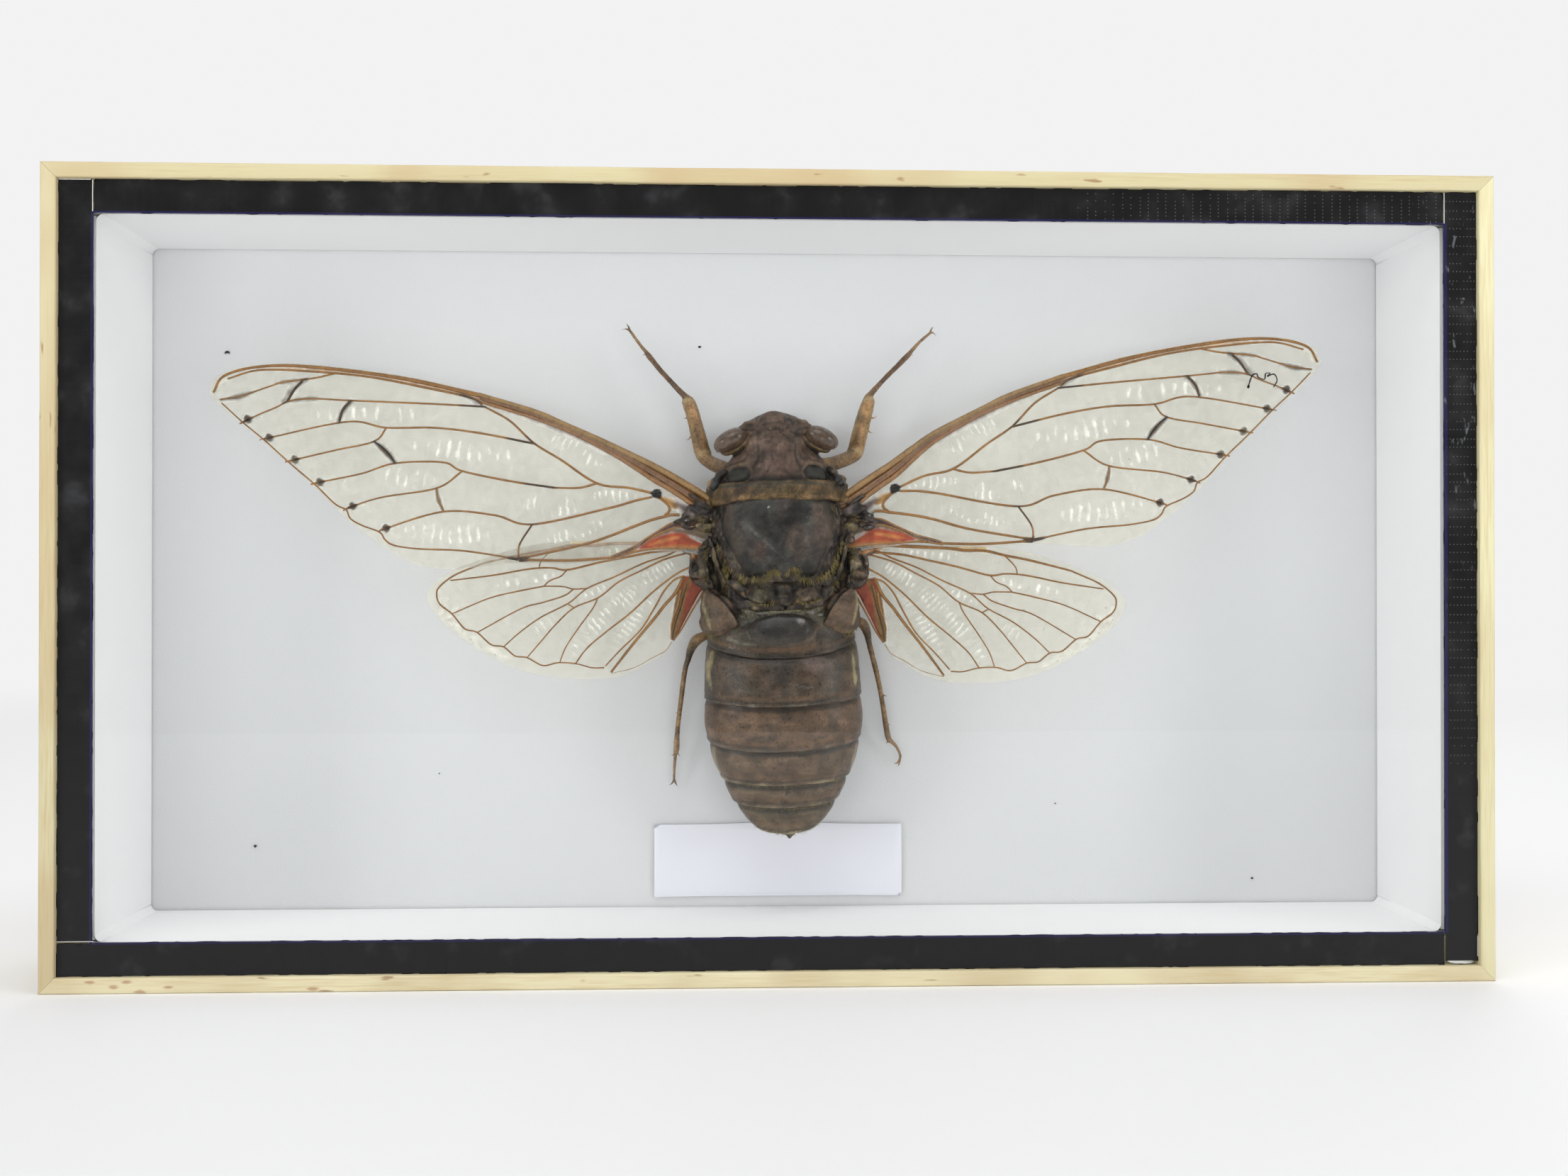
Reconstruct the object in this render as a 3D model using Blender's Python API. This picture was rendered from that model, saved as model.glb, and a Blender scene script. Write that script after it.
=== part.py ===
"""Framed cicada specimen.

A shallow wooden box with a glass front stands on its long edge. A spread cicada is fixed to the white
board inside it, above a small blank card. Metres, +Z up. X runs across the front and Y into the depth,
with the front at -Y. The origin is the middle of the bottom.
"""

import math

import bmesh
import bpy
from mathutils import Matrix, Vector
from mathutils.geometry import delaunay_2d_cdt

MM = 0.001

# Driving dimensions of the box
FRAME_WIDTH = 0.240
FRAME_HEIGHT = 0.135
FRAME_DEPTH = 0.040
GAP = 0.0003
RAIL_THICKNESS = 0.0068
LIP_WIDTH = 0.0026
POCKET_DEPTH = 0.0038

# The tape lies on the rim of the glass, a little behind the front of the wood
TAPE_RECESS = 0.0008
TAPE_THICKNESS = 0.0004
TAPE_SIDE_WIDTH = 0.0051
TAPE_LEVEL_WIDTH = 0.0053
TAPE_SLACK = 0.00015

GLASS_THICKNESS = 0.002
LINING_THICKNESS = 0.0006
BOARD_FRONT = 0.0112
BACK_PANEL_THICKNESS = 0.003

# The card lies on the board under the tip of the abdomen
CARD_WIDTH = 0.0453
CARD_HEIGHT = 0.0131
CARD_THICKNESS = 0.0004
CARD_MIDDLE_X = 0.0009
CARD_MIDDLE_Z = 0.0162

# Planes worked out from the sizes above
FRONT = -FRAME_DEPTH / 2
BACK = FRAME_DEPTH / 2
HALF_WIDTH = FRAME_WIDTH / 2
MIDDLE_Z = FRAME_HEIGHT / 2
SHELF = FRONT + POCKET_DEPTH
GLASS_FRONT = FRONT + TAPE_RECESS + TAPE_THICKNESS + GAP
GLASS_BACK = GLASS_FRONT + GLASS_THICKNESS
PANEL_FRONT = BACK - BACK_PANEL_THICKNESS

# The insect, in millimetres. Body places are across, back from the front of the head, and up
# from the plane of the wings towards the glass.
HEAD_FRONT = (-0.19, 0.0, 96.70)
BODY_LEAN = 1.76
WING_PLATE = 0.5
RIDGE_LIMIT = 0.9
WING_STEP = 7.0
RING_SIDES = 20
LEG_SIDES = 6
LUMP_SEGMENTS = 12
LUMP_RINGS = 8
SPINE_SIDES = 4
PLAN_MERGE = 0.12
SMOOTH_ANGLE = 40

# One line for each cross-section of the body:
# distance from the front of the head, half width, height above and below the wings' plane, and how
# far the middle of the back reaches past the sides towards the tail
BODY_SECTIONS = [
    (0.0, 1.8, 1.5, 3.5, 0.0),
    (0.8, 3.9, 3.2, 5.5, 0.0),
    (2.0, 5.9, 4.6, 7.0, 0.0),
    (3.8, 6.2, 5.4, 8.0, 0.0),
    (6.0, 6.9, 5.9, 8.4, 0.0),
    (8.2, 8.2, 6.4, 8.7, 0.0),
    (12.3, 10.5, 7.6, 9.6, 0.3),
    (12.8, 11.4, 8.3, 9.8, 0.3),
    (15.0, 12.3, 8.8, 10.1, 0.3),
    (15.5, 11.6, 8.2, 10.2, 0.3),
    (20.5, 12.2, 8.7, 10.4, 0.0),
    (26.0, 12.1, 8.3, 10.4, 0.0),
    (30.0, 11.6, 6.9, 10.3, 0.0),
    (33.2, 12.0, 6.5, 10.2, 0.5),
    (36.5, 12.8, 7.8, 10.0, 2.0),
    (40.0, 13.3, 9.0, 9.9, 3.0),
    (40.5, 13.0, 8.5, 9.9, 3.0),
    (45.0, 13.6, 9.3, 9.9, 2.0),
    (49.6, 13.8, 9.3, 9.7, 1.3),
    (50.0, 13.5, 8.8, 9.7, 1.3),
    (54.0, 13.9, 8.8, 9.3, 1.8),
    (57.0, 13.5, 8.2, 8.9, 2.2),
    (57.4, 13.0, 7.7, 8.9, 2.2),
    (61.0, 12.4, 7.0, 8.0, 1.7),
    (63.8, 11.2, 6.1, 7.2, 1.3),
    (64.2, 10.6, 5.7, 7.1, 1.3),
    (67.8, 9.3, 4.8, 6.0, 0.6),
    (68.2, 8.7, 4.4, 5.9, 0.6),
    (72.0, 6.6, 3.2, 4.2, 0.4),
    (73.4, 5.2, 2.6, 3.4, 0.4),
    (74.0, 2.0, 1.4, 2.0, 0.3),
    (75.0, 0.8, 0.8, 1.0, 0.0),
]

# The shield over the middle of the thorax, with the same columns
SHIELD_SECTIONS = [
    (15.7, 9.4, 8.9, 0.0, 0.0),
    (17.4, 10.5, 9.9, 0.0, 0.0),
    (20.3, 10.9, 10.3, 0.0, 0.0),
    (24.0, 10.0, 10.1, 0.0, 0.0),
    (27.8, 8.2, 9.1, 0.0, 0.0),
    (29.8, 4.6, 7.6, 0.0, 0.0),
]

# Round forms on the body: middle, half sizes along the same directions, and turn in the wings' plane
BODY_LUMPS = {
    "eye_left": ((-8.0, 5.0, 2.8), (3.1, 2.0, 2.6), -27.0),
    "eye_right": ((8.0, 5.0, 2.8), (3.1, 2.0, 2.6), 27.0),
    "timbal_cover_left": ((-10.9, 35.0, 2.4), (3.4, 4.6, 4.6), 14.0),
    "timbal_cover_right": ((10.9, 35.4, 2.4), (3.4, 4.6, 4.6), -14.0),
    "cruciform_ridge": ((0.2, 31.8, 5.4), (5.2, 1.9, 2.2), 0.0),
}

# Legs, from the body out: across, back, up and half thickness
LEGS = {
    "foreleg_left": [
        (-8.0, 9.6, -4.0, 1.5), (-11.2, 7.8, -4.0, 1.3), (-12.7, 6.2, -4.0, 1.3), (-13.8, 2.4, -3.2, 1.3),
        (-14.9, -2.3, -2.5, 1.15), (-15.7, -3.6, -2.6, 0.75), (-17.6, -5.9, -3.0, 0.6),
        (-20.2, -9.0, -3.6, 0.55), (-22.1, -11.6, -4.2, 0.6), (-23.4, -13.4, -5.0, 0.35),
        (-25.3, -16.3, -6.5, 0.3),
    ],
    "foreleg_right": [
        (8.0, 8.6, -4.0, 1.5), (12.8, 8.2, -4.0, 1.3), (14.4, 7.0, -4.0, 1.3), (15.6, 2.6, -3.2, 1.35),
        (16.9, -1.7, -2.5, 1.2), (17.3, -3.1, -2.6, 0.75), (19.0, -5.0, -3.0, 0.6),
        (21.2, -7.2, -3.6, 0.55), (24.7, -10.5, -4.2, 0.6), (26.7, -12.7, -5.0, 0.35),
        (29.0, -14.6, -6.5, 0.3),
    ],
    "hind_leg_left": [
        (-9.0, 36.5, -6.0, 0.9), (-14.8, 39.7, -6.0, 0.9), (-16.3, 42.0, -6.0, 0.75),
        (-17.3, 45.2, -6.5, 0.6), (-18.3, 51.3, -7.3, 0.55), (-19.0, 56.0, -8.0, 0.5),
        (-19.3, 59.8, -8.6, 0.6), (-19.7, 61.7, -8.9, 0.35), (-19.9, 65.0, -9.4, 0.3),
    ],
    "hind_leg_right": [
        (9.0, 35.5, -6.0, 0.9), (14.9, 37.7, -6.0, 0.9), (15.9, 39.8, -6.0, 0.75),
        (16.2, 41.9, -6.3, 0.65), (17.2, 46.0, -6.8, 0.6), (18.2, 51.4, -7.3, 0.55),
        (19.3, 58.9, -8.6, 0.55), (20.7, 60.1, -8.9, 0.4), (21.6, 62.5, -9.4, 0.3),
    ],
}

# Spines on the legs, from root to point: across, back, up
SPINE_WIDTH = 0.45
SPINES = [
    ((-14.6, 3.3, -3.4), (-16.4, 3.9, -3.5)),
    ((-15.0, -0.3, -2.8), (-16.6, 0.0, -3.0)),
    ((16.6, 3.0, -3.4), (18.4, 4.0, -3.5)),
    ((17.2, 0.8, -2.9), (18.7, 0.9, -3.0)),
    ((-18.2, 52.0, -7.3), (-19.4, 52.6, -7.3)),
    ((-18.9, 57.2, -8.2), (-20.1, 57.9, -8.3)),
    ((18.0, 50.2, -7.2), (19.3, 50.9, -7.3)),
    ((18.7, 55.3, -8.0), (20.0, 56.2, -8.0)),
]

# Wings, in millimetres from the hinge: outwards along the wing and forwards to the head.
# Both sides share one drawing; the right one is swept a little differently.
FORE_OUTLINE = [
    (-5.0, 2.2), (0.5, 5.4), (10.0, 10.4), (21.0, 15.4), (36.8, 20.9), (50.2, 23.9), (65.6, 25.7),
    (74.7, 25.7), (79.5, 24.8), (82.4, 23.2), (83.3, 20.6), (81.3, 18.2), (74.0, 12.1), (65.6, 4.7),
    (59.7, -1.2), (53.0, -6.2), (48.8, -8.6), (44.5, -9.7), (39.9, -9.8), (31.1, -8.8), (21.0, -8.8),
    (13.1, -8.1), (9.6, -6.8), (2.1, -6.8), (-5.0, -6.8),
]
HIND_OUTLINE = [
    (-6.0, 3.4), (4.0, 3.8), (20.1, 4.1), (28.2, 3.0), (35.4, 0.9), (41.2, -1.5), (44.3, -4.1),
    (44.6, -6.4), (42.8, -9.4), (38.6, -13.1), (33.0, -16.6), (27.3, -18.9), (21.7, -19.9),
    (16.7, -20.2), (10.6, -19.6), (5.2, -17.0), (2.4, -14.9), (-1.7, -7.4), (-3.6, -4.4), (-6.0, -3.6),
]

# Veins: width at the root, width at the tip, and the line they follow
FORE_VEINS = {
    "costal_bar": (3.6, 1.4, [(-4.0, 1.6), (5.3, 6.3), (14.7, 11.7), (25.7, 16.6), (36.8, 20.2)]),
    "costa": (1.4, 0.7, [(36.8, 20.2), (50.2, 23.3), (65.6, 25.2), (74.7, 25.2), (80.8, 23.6), (82.6, 20.8)]),
    "media": (0.8, 0.7, [(5.4, 3.6), (16.3, 5.2), (22.6, 9.3), (27.3, 12.2), (31.4, 16.0), (35.8, 18.5)]),
    "radial_sector": (0.7, 0.7, [(35.8, 18.5), (46.0, 19.0), (59.2, 19.5), (70.0, 19.2), (76.8, 16.2)]),
    "apical": (0.7, 0.7, [(61.3, 24.4), (69.0, 23.2), (74.0, 21.7), (81.6, 19.8)]),
    "cross_radial": (0.9, 0.9, [(67.3, 22.9), (68.7, 21.4), (70.0, 19.2)]),
    "cross_medial": (0.9, 0.9, [(59.0, 19.5), (60.4, 17.8), (61.0, 15.8)]),
    "media_1": (0.7, 0.7, [(27.3, 12.1), (36.7, 13.9), (44.6, 14.8), (52.9, 14.8), (59.6, 15.8), (73.1, 13.0)]),
    "media_2": (0.7, 0.7, [(52.9, 14.7), (55.0, 12.4), (61.5, 10.9), (68.7, 9.2)]),
    "cross_outer": (1.4, 1.4, [(54.9, 12.3), (53.0, 10.8), (51.4, 8.7)]),
    "media_stem": (0.8, 0.7, [(16.3, 5.2), (19.4, 4.4), (23.7, 4.4)]),
    "media_3": (0.8, 0.7, [(23.7, 4.4), (39.8, 7.3), (43.1, 8.8), (51.4, 8.6), (57.2, 6.8), (64.4, 5.3)]),
    "media_4": (0.7, 0.7, [(39.8, 7.2), (44.2, 4.3), (53.6, 2.7), (58.8, 1.1)]),
    "cross_inner": (1.0, 1.0, [(44.2, 4.3), (43.9, 2.4), (43.0, 0.2)]),
    "cubitus": (0.8, 0.7, [(5.4, 3.2), (14.7, 0.6), (27.6, -2.0), (34.2, -0.4), (43.0, 0.2), (53.0, -2.7)]),
    "cubitus_fork": (0.7, 0.7, [(27.6, -2.0), (29.8, -5.5), (30.0, -8.0)]),
    "anal_1": (1.2, 0.7, [(-2.0, 0.2), (3.3, -0.8), (19.4, -5.7), (29.9, -8.0)]),
    "anal_2": (1.2, 0.7, [(-2.0, -0.4), (6.8, -4.7), (13.1, -7.6), (21.0, -8.3), (29.9, -8.2)]),
    "ambient": (0.7, 0.7, [
        (30.0, -8.1), (38.0, -6.9), (47.4, -6.3), (52.5, -4.8), (59.5, 0.2), (65.2, 5.4), (74.0, 13.2),
        (81.3, 19.0),
    ]),
}
HIND_VEINS = {
    "costa": (1.0, 0.8, [(-5.0, 3.0), (4.3, 3.3), (12.5, 3.4), (19.6, 3.4), (27.5, 1.9), (34.7, 0.3)]),
    "ambient": (0.7, 0.7, [
        (34.7, 0.3), (39.8, -1.8), (43.0, -5.1), (40.4, -8.8), (36.1, -12.1), (31.4, -14.6), (27.3, -16.6),
        (21.6, -17.4), (13.7, -18.3),
    ]),
    "radius": (0.8, 0.7, [(-3.0, 2.4), (4.4, 2.3), (11.2, 0.9), (20.1, -0.9), (33.3, -1.9), (40.7, -2.8)]),
    "cross_fore": (0.7, 0.7, [(25.0, -0.8), (24.3, 1.5), (22.9, 2.6)]),
    "cross_mid": (0.7, 0.7, [(20.1, -1.0), (22.3, -2.8), (24.3, -4.0)]),
    "cross_hind": (0.7, 0.7, [(16.6, -4.2), (19.1, -4.4), (24.3, -3.9)]),
    "media_1": (0.7, 0.7, [(24.3, -4.0), (33.8, -5.9), (40.3, -8.6)]),
    "media_2": (0.7, 0.7, [(19.1, -4.3), (22.4, -6.0), (30.3, -9.0), (36.1, -12.0)]),
    "media_3": (0.8, 0.7, [(-3.0, 2.0), (6.2, 0.3), (16.6, -4.3), (20.2, -6.8), (26.0, -9.9), (31.4, -14.5)]),
    "cubitus_1": (0.8, 0.7, [(-3.0, 1.4), (7.0, -1.3), (14.7, -6.2), (19.6, -7.8), (27.3, -16.4)]),
    "cubitus_2": (0.7, 0.7, [(14.7, -6.2), (17.9, -10.9), (21.5, -17.3)]),
    "anal_1": (0.8, 0.7, [(-3.0, 0.4), (3.1, -3.4), (11.5, -10.6), (18.6, -17.5)]),
    "anal_2": (0.8, 0.7, [(-1.0, -1.8), (3.5, -5.1), (7.2, -12.1), (13.7, -18.2)]),
    "anal_3": (1.3, 0.9, [(-3.0, -1.0), (3.2, -7.9), (12.5, -19.0)]),
}

# Hinge of each wing in the row's own X, Y and Z, and how far the wing is swept forwards, in degrees
WINGS = {
    "forewing_left": (FORE_OUTLINE, FORE_VEINS, -1, (-15.0, -1.5, 79.0), 0.0),
    "forewing_right": (FORE_OUTLINE, FORE_VEINS, 1, (15.3, -1.5, 80.8), 3.2),
    "hindwing_left": (HIND_OUTLINE, HIND_VEINS, -1, (-16.5, 0.7, 70.0), 0.0),
    "hindwing_right": (HIND_OUTLINE, HIND_VEINS, 1, (18.1, 0.7, 69.6), -1.5),
}


def clear_objects():
    """Remove the objects that the file opened with."""
    for obj in list(bpy.data.objects):
        bpy.data.objects.remove(obj, do_unlink=True)


def finish(name, colour, roughness, metallic=0.0, alpha=1.0):
    """A plain Principled material."""
    material = bpy.data.materials.new(name)
    material.use_nodes = True
    shader = material.node_tree.nodes["Principled BSDF"]
    shader.inputs["Base Color"].default_value = (*colour, 1.0)
    shader.inputs["Roughness"].default_value = roughness
    shader.inputs["Metallic"].default_value = metallic
    shader.inputs["Alpha"].default_value = alpha
    material.diffuse_color = (*colour, alpha)
    return material


def add_object(name, mesh_data, material=None, smooth=False):
    """A new object from a bmesh, with its faces pointing out."""
    bmesh.ops.recalc_face_normals(mesh_data, faces=mesh_data.faces)
    mesh = bpy.data.meshes.new(name)
    mesh_data.to_mesh(mesh)
    mesh_data.free()
    if smooth:
        mesh.shade_smooth()
        mesh.set_sharp_from_angle(angle=math.radians(SMOOTH_ANGLE))
    obj = bpy.data.objects.new(name, mesh)
    bpy.context.scene.collection.objects.link(obj)
    if material:
        mesh.materials.append(material)
    return obj


def add_slab(name, low, high, material):
    """A flat piece between its lowest and highest corners."""
    size = [b - a for a, b in zip(low, high)]
    middle = [(a + b) / 2 for a, b in zip(low, high)]
    slab = bmesh.new()
    bmesh.ops.create_cube(slab, size=1.0)
    bmesh.ops.transform(slab, matrix=Matrix.Diagonal((*size, 1.0)), verts=slab.verts)
    obj = add_object(name, slab, material)
    obj.location = middle
    return obj


def add_rail(name, length, place, material):
    """One mitred rail with its rabbet; place turns along, inwards and depth into a point."""
    profile = [
        (0.0, FRONT), (LIP_WIDTH, FRONT), (LIP_WIDTH, SHELF), (RAIL_THICKNESS, SHELF),
        (RAIL_THICKNESS, BACK), (0.0, BACK),
    ]
    half_gap = GAP / math.sqrt(2)
    rail = bmesh.new()
    ends = []
    for side in (-1, 1):
        loop = [rail.verts.new(place(side * (length / 2 - inwards - half_gap), inwards, depth))
                for inwards, depth in profile]
        rail.faces.new(loop)
        ends.append(loop)
    count = len(profile)
    for i in range(count):
        j = (i + 1) % count
        rail.faces.new((ends[0][i], ends[0][j], ends[1][j], ends[1][i]))
    return add_object(name, rail, material)


def build_rails(material):
    """The four wooden rails of the box."""
    add_rail("rail_bottom", FRAME_WIDTH, lambda s, u, y: (s, y, u), material)
    add_rail("rail_top", FRAME_WIDTH, lambda s, u, y: (s, y, FRAME_HEIGHT - u), material)
    add_rail("rail_left", FRAME_HEIGHT, lambda s, u, y: (u - HALF_WIDTH, y, MIDDLE_Z + s), material)
    add_rail("rail_right", FRAME_HEIGHT, lambda s, u, y: (HALF_WIDTH - u, y, MIDDLE_Z + s), material)


def build_glass(material):
    """The pane, which lies on the shelf of the rabbet."""
    edge = LIP_WIDTH + GAP
    add_slab("glass_pane", (edge - HALF_WIDTH, GLASS_FRONT, edge),
             (HALF_WIDTH - edge, GLASS_BACK, FRAME_HEIGHT - edge), material)


def build_tape(material):
    """Four strips on the rim of the glass, laid like the blades of a pinwheel."""
    front = FRONT + TAPE_RECESS
    back = front + TAPE_THICKNESS
    edge_x = HALF_WIDTH - LIP_WIDTH - TAPE_SLACK
    low = LIP_WIDTH + TAPE_SLACK
    high = FRAME_HEIGHT - low
    inner_x = edge_x - TAPE_SIDE_WIDTH
    inner_low = low + TAPE_LEVEL_WIDTH
    inner_high = high - TAPE_LEVEL_WIDTH
    strips = {
        "tape_left": (-edge_x, inner_low + GAP, -inner_x, high),
        "tape_right": (inner_x, low, edge_x, high),
        "tape_top": (-inner_x + GAP, inner_high, inner_x - GAP, high),
        "tape_bottom": (-edge_x, low, inner_x - GAP, inner_low),
    }
    for name, (x0, z0, x1, z1) in strips.items():
        add_slab(name, (x0, front, z0), (x1, back, z1), material)


def build_lining(material):
    """White card on the inner sides of the rails, from the glass to the board."""
    front = GLASS_BACK + GAP
    back = BOARD_FRONT - GAP
    outer_x = HALF_WIDTH - RAIL_THICKNESS - GAP
    inner_x = outer_x - LINING_THICKNESS
    low = RAIL_THICKNESS + GAP
    inner_low = low + LINING_THICKNESS
    high = FRAME_HEIGHT - low
    inner_high = FRAME_HEIGHT - inner_low
    cards = {
        "lining_bottom": (-outer_x, low, outer_x, inner_low),
        "lining_top": (-outer_x, inner_high, outer_x, high),
        "lining_left": (-outer_x, inner_low + GAP, -inner_x, inner_high - GAP),
        "lining_right": (inner_x, inner_low + GAP, outer_x, inner_high - GAP),
    }
    for name, (x0, z0, x1, z1) in cards.items():
        add_slab(name, (x0, front, z0), (x1, back, z1), material)


def build_back(board_material, panel_material):
    """The mounting board, and the panel that closes the box behind it."""
    edge = RAIL_THICKNESS + GAP
    x = HALF_WIDTH - edge
    z = FRAME_HEIGHT - edge
    add_slab("mounting_board", (-x, BOARD_FRONT, edge), (x, PANEL_FRONT - GAP, z), board_material)
    add_slab("back_panel", (-x, PANEL_FRONT, edge), (x, BACK, z), panel_material)


def build_card(material):
    """The small blank card on the board."""
    back = BOARD_FRONT - GAP
    low = (CARD_MIDDLE_X - CARD_WIDTH / 2, back - CARD_THICKNESS, CARD_MIDDLE_Z - CARD_HEIGHT / 2)
    high = (CARD_MIDDLE_X + CARD_WIDTH / 2, back, CARD_MIDDLE_Z + CARD_HEIGHT / 2)
    add_slab("label_card", low, high, material)


def body_point(across, back, up):
    """A place on the body, given in millimetres, in the body's own frame in metres."""
    return Vector((across, -up, -back)) * MM


def wing_point(outwards, forwards, up, side):
    """A place on a wing, given in millimetres, in the wing's own frame in metres."""
    return Vector((side * outwards, -up, forwards)) * MM


def lofted(sections, sides=RING_SIDES):
    """A closed form through the body's cross-sections."""
    form = bmesh.new()
    rings = []
    for back, half_width, above, below, bow in sections:
        ring = []
        for i in range(sides):
            angle = 2 * math.pi * i / sides
            across, up = half_width * math.cos(angle), math.sin(angle)
            reach = bow * max(up, 0.0)
            ring.append(form.verts.new(body_point(across, back + reach, up * (above if up > 0 else below))))
        rings.append(ring)
    form.faces.new(rings[0])
    form.faces.new(rings[-1])
    for near, far in zip(rings, rings[1:]):
        for i in range(sides):
            j = (i + 1) % sides
            form.faces.new((near[i], near[j], far[j], far[i]))
    return form


def lump(middle, half_sizes, turn):
    """A rounded lump on the body, turned in the plane of the wings."""
    form = bmesh.new()
    bmesh.ops.create_uvsphere(form, u_segments=LUMP_SEGMENTS, v_segments=LUMP_RINGS, radius=1.0)
    across, back, up = half_sizes
    grow = Matrix.Diagonal((across * MM, up * MM, back * MM, 1.0))
    turned = Matrix.Rotation(math.radians(turn), 4, "Y")
    bmesh.ops.transform(form, matrix=Matrix.Translation(body_point(*middle)) @ turned @ grow, verts=form.verts)
    return form


def tube(stations, sides=LEG_SIDES):
    """A closed limb through stations of place and half thickness."""
    points = [body_point(*station[:3]) for station in stations]
    form = bmesh.new()
    rings = []
    for i, station in enumerate(stations):
        ahead = points[min(i + 1, len(points) - 1)] - points[max(i - 1, 0)]
        across = ahead.cross(Vector((0.0, 1.0, 0.0))).normalized()
        up = across.cross(ahead).normalized()
        radius = station[3] * MM
        ring = [form.verts.new(points[i] + radius * (math.cos(a) * across + math.sin(a) * up))
                for a in (2 * math.pi * k / sides for k in range(sides))]
        rings.append(ring)
    form.faces.new(rings[0])
    form.faces.new(rings[-1])
    for near, far in zip(rings, rings[1:]):
        for i in range(sides):
            j = (i + 1) % sides
            form.faces.new((near[i], near[j], far[j], far[i]))
    return form


def spine(root, point):
    """A short thorn on a leg."""
    start, end = body_point(*root), body_point(*point)
    form = bmesh.new()
    length = (end - start).length
    bmesh.ops.create_cone(form, cap_ends=True, segments=SPINE_SIDES, radius1=SPINE_WIDTH * MM, radius2=0.0,
                          depth=length)
    turned = (end - start).to_track_quat("Z", "Y").to_matrix().to_4x4()
    bmesh.ops.transform(form, matrix=Matrix.Translation((start + end) / 2) @ turned, verts=form.verts)
    return form


def smooth_line(points, step, closed=False):
    """Points about one step apart on a Catmull-Rom curve through the given points."""
    knots = [Vector(p) for p in points]
    count = len(knots)
    spans = count if closed else count - 1
    line = []
    for i in range(spans):
        p0 = knots[i - 1] if closed or i > 0 else 2 * knots[0] - knots[1]
        p1 = knots[i]
        p2 = knots[(i + 1) % count]
        p3 = knots[(i + 2) % count] if closed or i + 2 < count else 2 * knots[-1] - knots[-2]
        pieces = max(1, round((p2 - p1).length / step))
        for k in range(pieces):
            t = k / pieces
            line.append(0.5 * (2 * p1 + (p2 - p0) * t + (2 * p0 - 5 * p1 + 4 * p2 - p3) * t ** 2
                               + (3 * p1 - p0 - 3 * p2 + p3) * t ** 3))
    if not closed:
        line.append(knots[-1])
    return line


def inside(point, polygon):
    """Whether a point lies inside a closed polygon."""
    found = False
    for a, b in zip(polygon, polygon[1:] + polygon[:1]):
        if (a.y > point.y) != (b.y > point.y):
            if point.x < a.x + (b.x - a.x) * (point.y - a.y) / (b.y - a.y):
                found = not found
    return found


def vein_segments(veins):
    """Short straight pieces of all veins: two ends and the half width at each."""
    segments = []
    for root_width, tip_width, points in veins.values():
        line = smooth_line(points, WING_STEP)
        last = len(line) - 1
        halves = [(root_width + (tip_width - root_width) * i / last) / 2 for i in range(last + 1)]
        segments += [(line[i], line[i + 1], halves[i], halves[i + 1]) for i in range(last)]
    return segments


def ridge_height(point, segments):
    """Half thickness of the wing at a point: the plate, or the vein that passes there."""
    plate = WING_PLATE / 2
    height = plate
    for start, end, half_start, half_end in segments:
        along = end - start
        t = max(0.0, min(1.0, (point - start).dot(along) / along.length_squared))
        half = half_start + (half_end - half_start) * t
        near = 1 - (point - start - along * t).length / half
        if near > 0:
            height = max(height, plate + (min(half, RIDGE_LIMIT) - plate / 2) * near)
    return height


def wing_plan(outline, segments):
    """Triangles of the wing seen flat, with edges along the veins and both their sides."""
    points = list(outline)
    edges = [(i, (i + 1) % len(outline)) for i in range(len(outline))]
    for start, end, half_start, half_end in segments:
        along = (end - start).normalized()
        side = Vector((-along.y, along.x))
        for offset in (-1, 0, 1):
            points += [start + side * half_start * offset, end + side * half_end * offset]
            edges.append((len(points) - 2, len(points) - 1))
    verts, _, faces, *_ = delaunay_2d_cdt(points, edges, [], 0, PLAN_MERGE)
    kept = [face for face in faces
            if inside(sum((verts[i] for i in face), Vector((0.0, 0.0))) / len(face), outline)]
    return verts, kept


def wing(outline_points, veins, side):
    """A closed wing: a thin plate with its veins raised on both faces."""
    outline = smooth_line(outline_points, WING_STEP, closed=True)
    segments = vein_segments(veins)
    verts, faces = wing_plan(outline, segments)
    form = bmesh.new()
    used = sorted({i for face in faces for i in face})
    heights = {i: ridge_height(verts[i], segments) for i in used}
    upper = {i: form.verts.new(wing_point(*verts[i], heights[i], side)) for i in used}
    lower = {i: form.verts.new(wing_point(*verts[i], -heights[i], side)) for i in used}
    border = set()
    for face in faces:
        form.faces.new([upper[i] for i in face])
        form.faces.new([lower[i] for i in reversed(face)])
        for a, b in zip(face, face[1:] + face[:1]):
            if (b, a) in border:
                border.remove((b, a))
            else:
                border.add((a, b))
    for a, b in sorted(border):
        form.faces.new((upper[b], upper[a], lower[a], lower[b]))
    return form


def hide_limb(limb, limbs):
    """Keep a limb as a guide that the body's union reads."""
    bpy.context.scene.collection.objects.unlink(limb)
    limbs.objects.link(limb)
    limb.hide_render = True
    limb.display_type = "WIRE"


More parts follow.
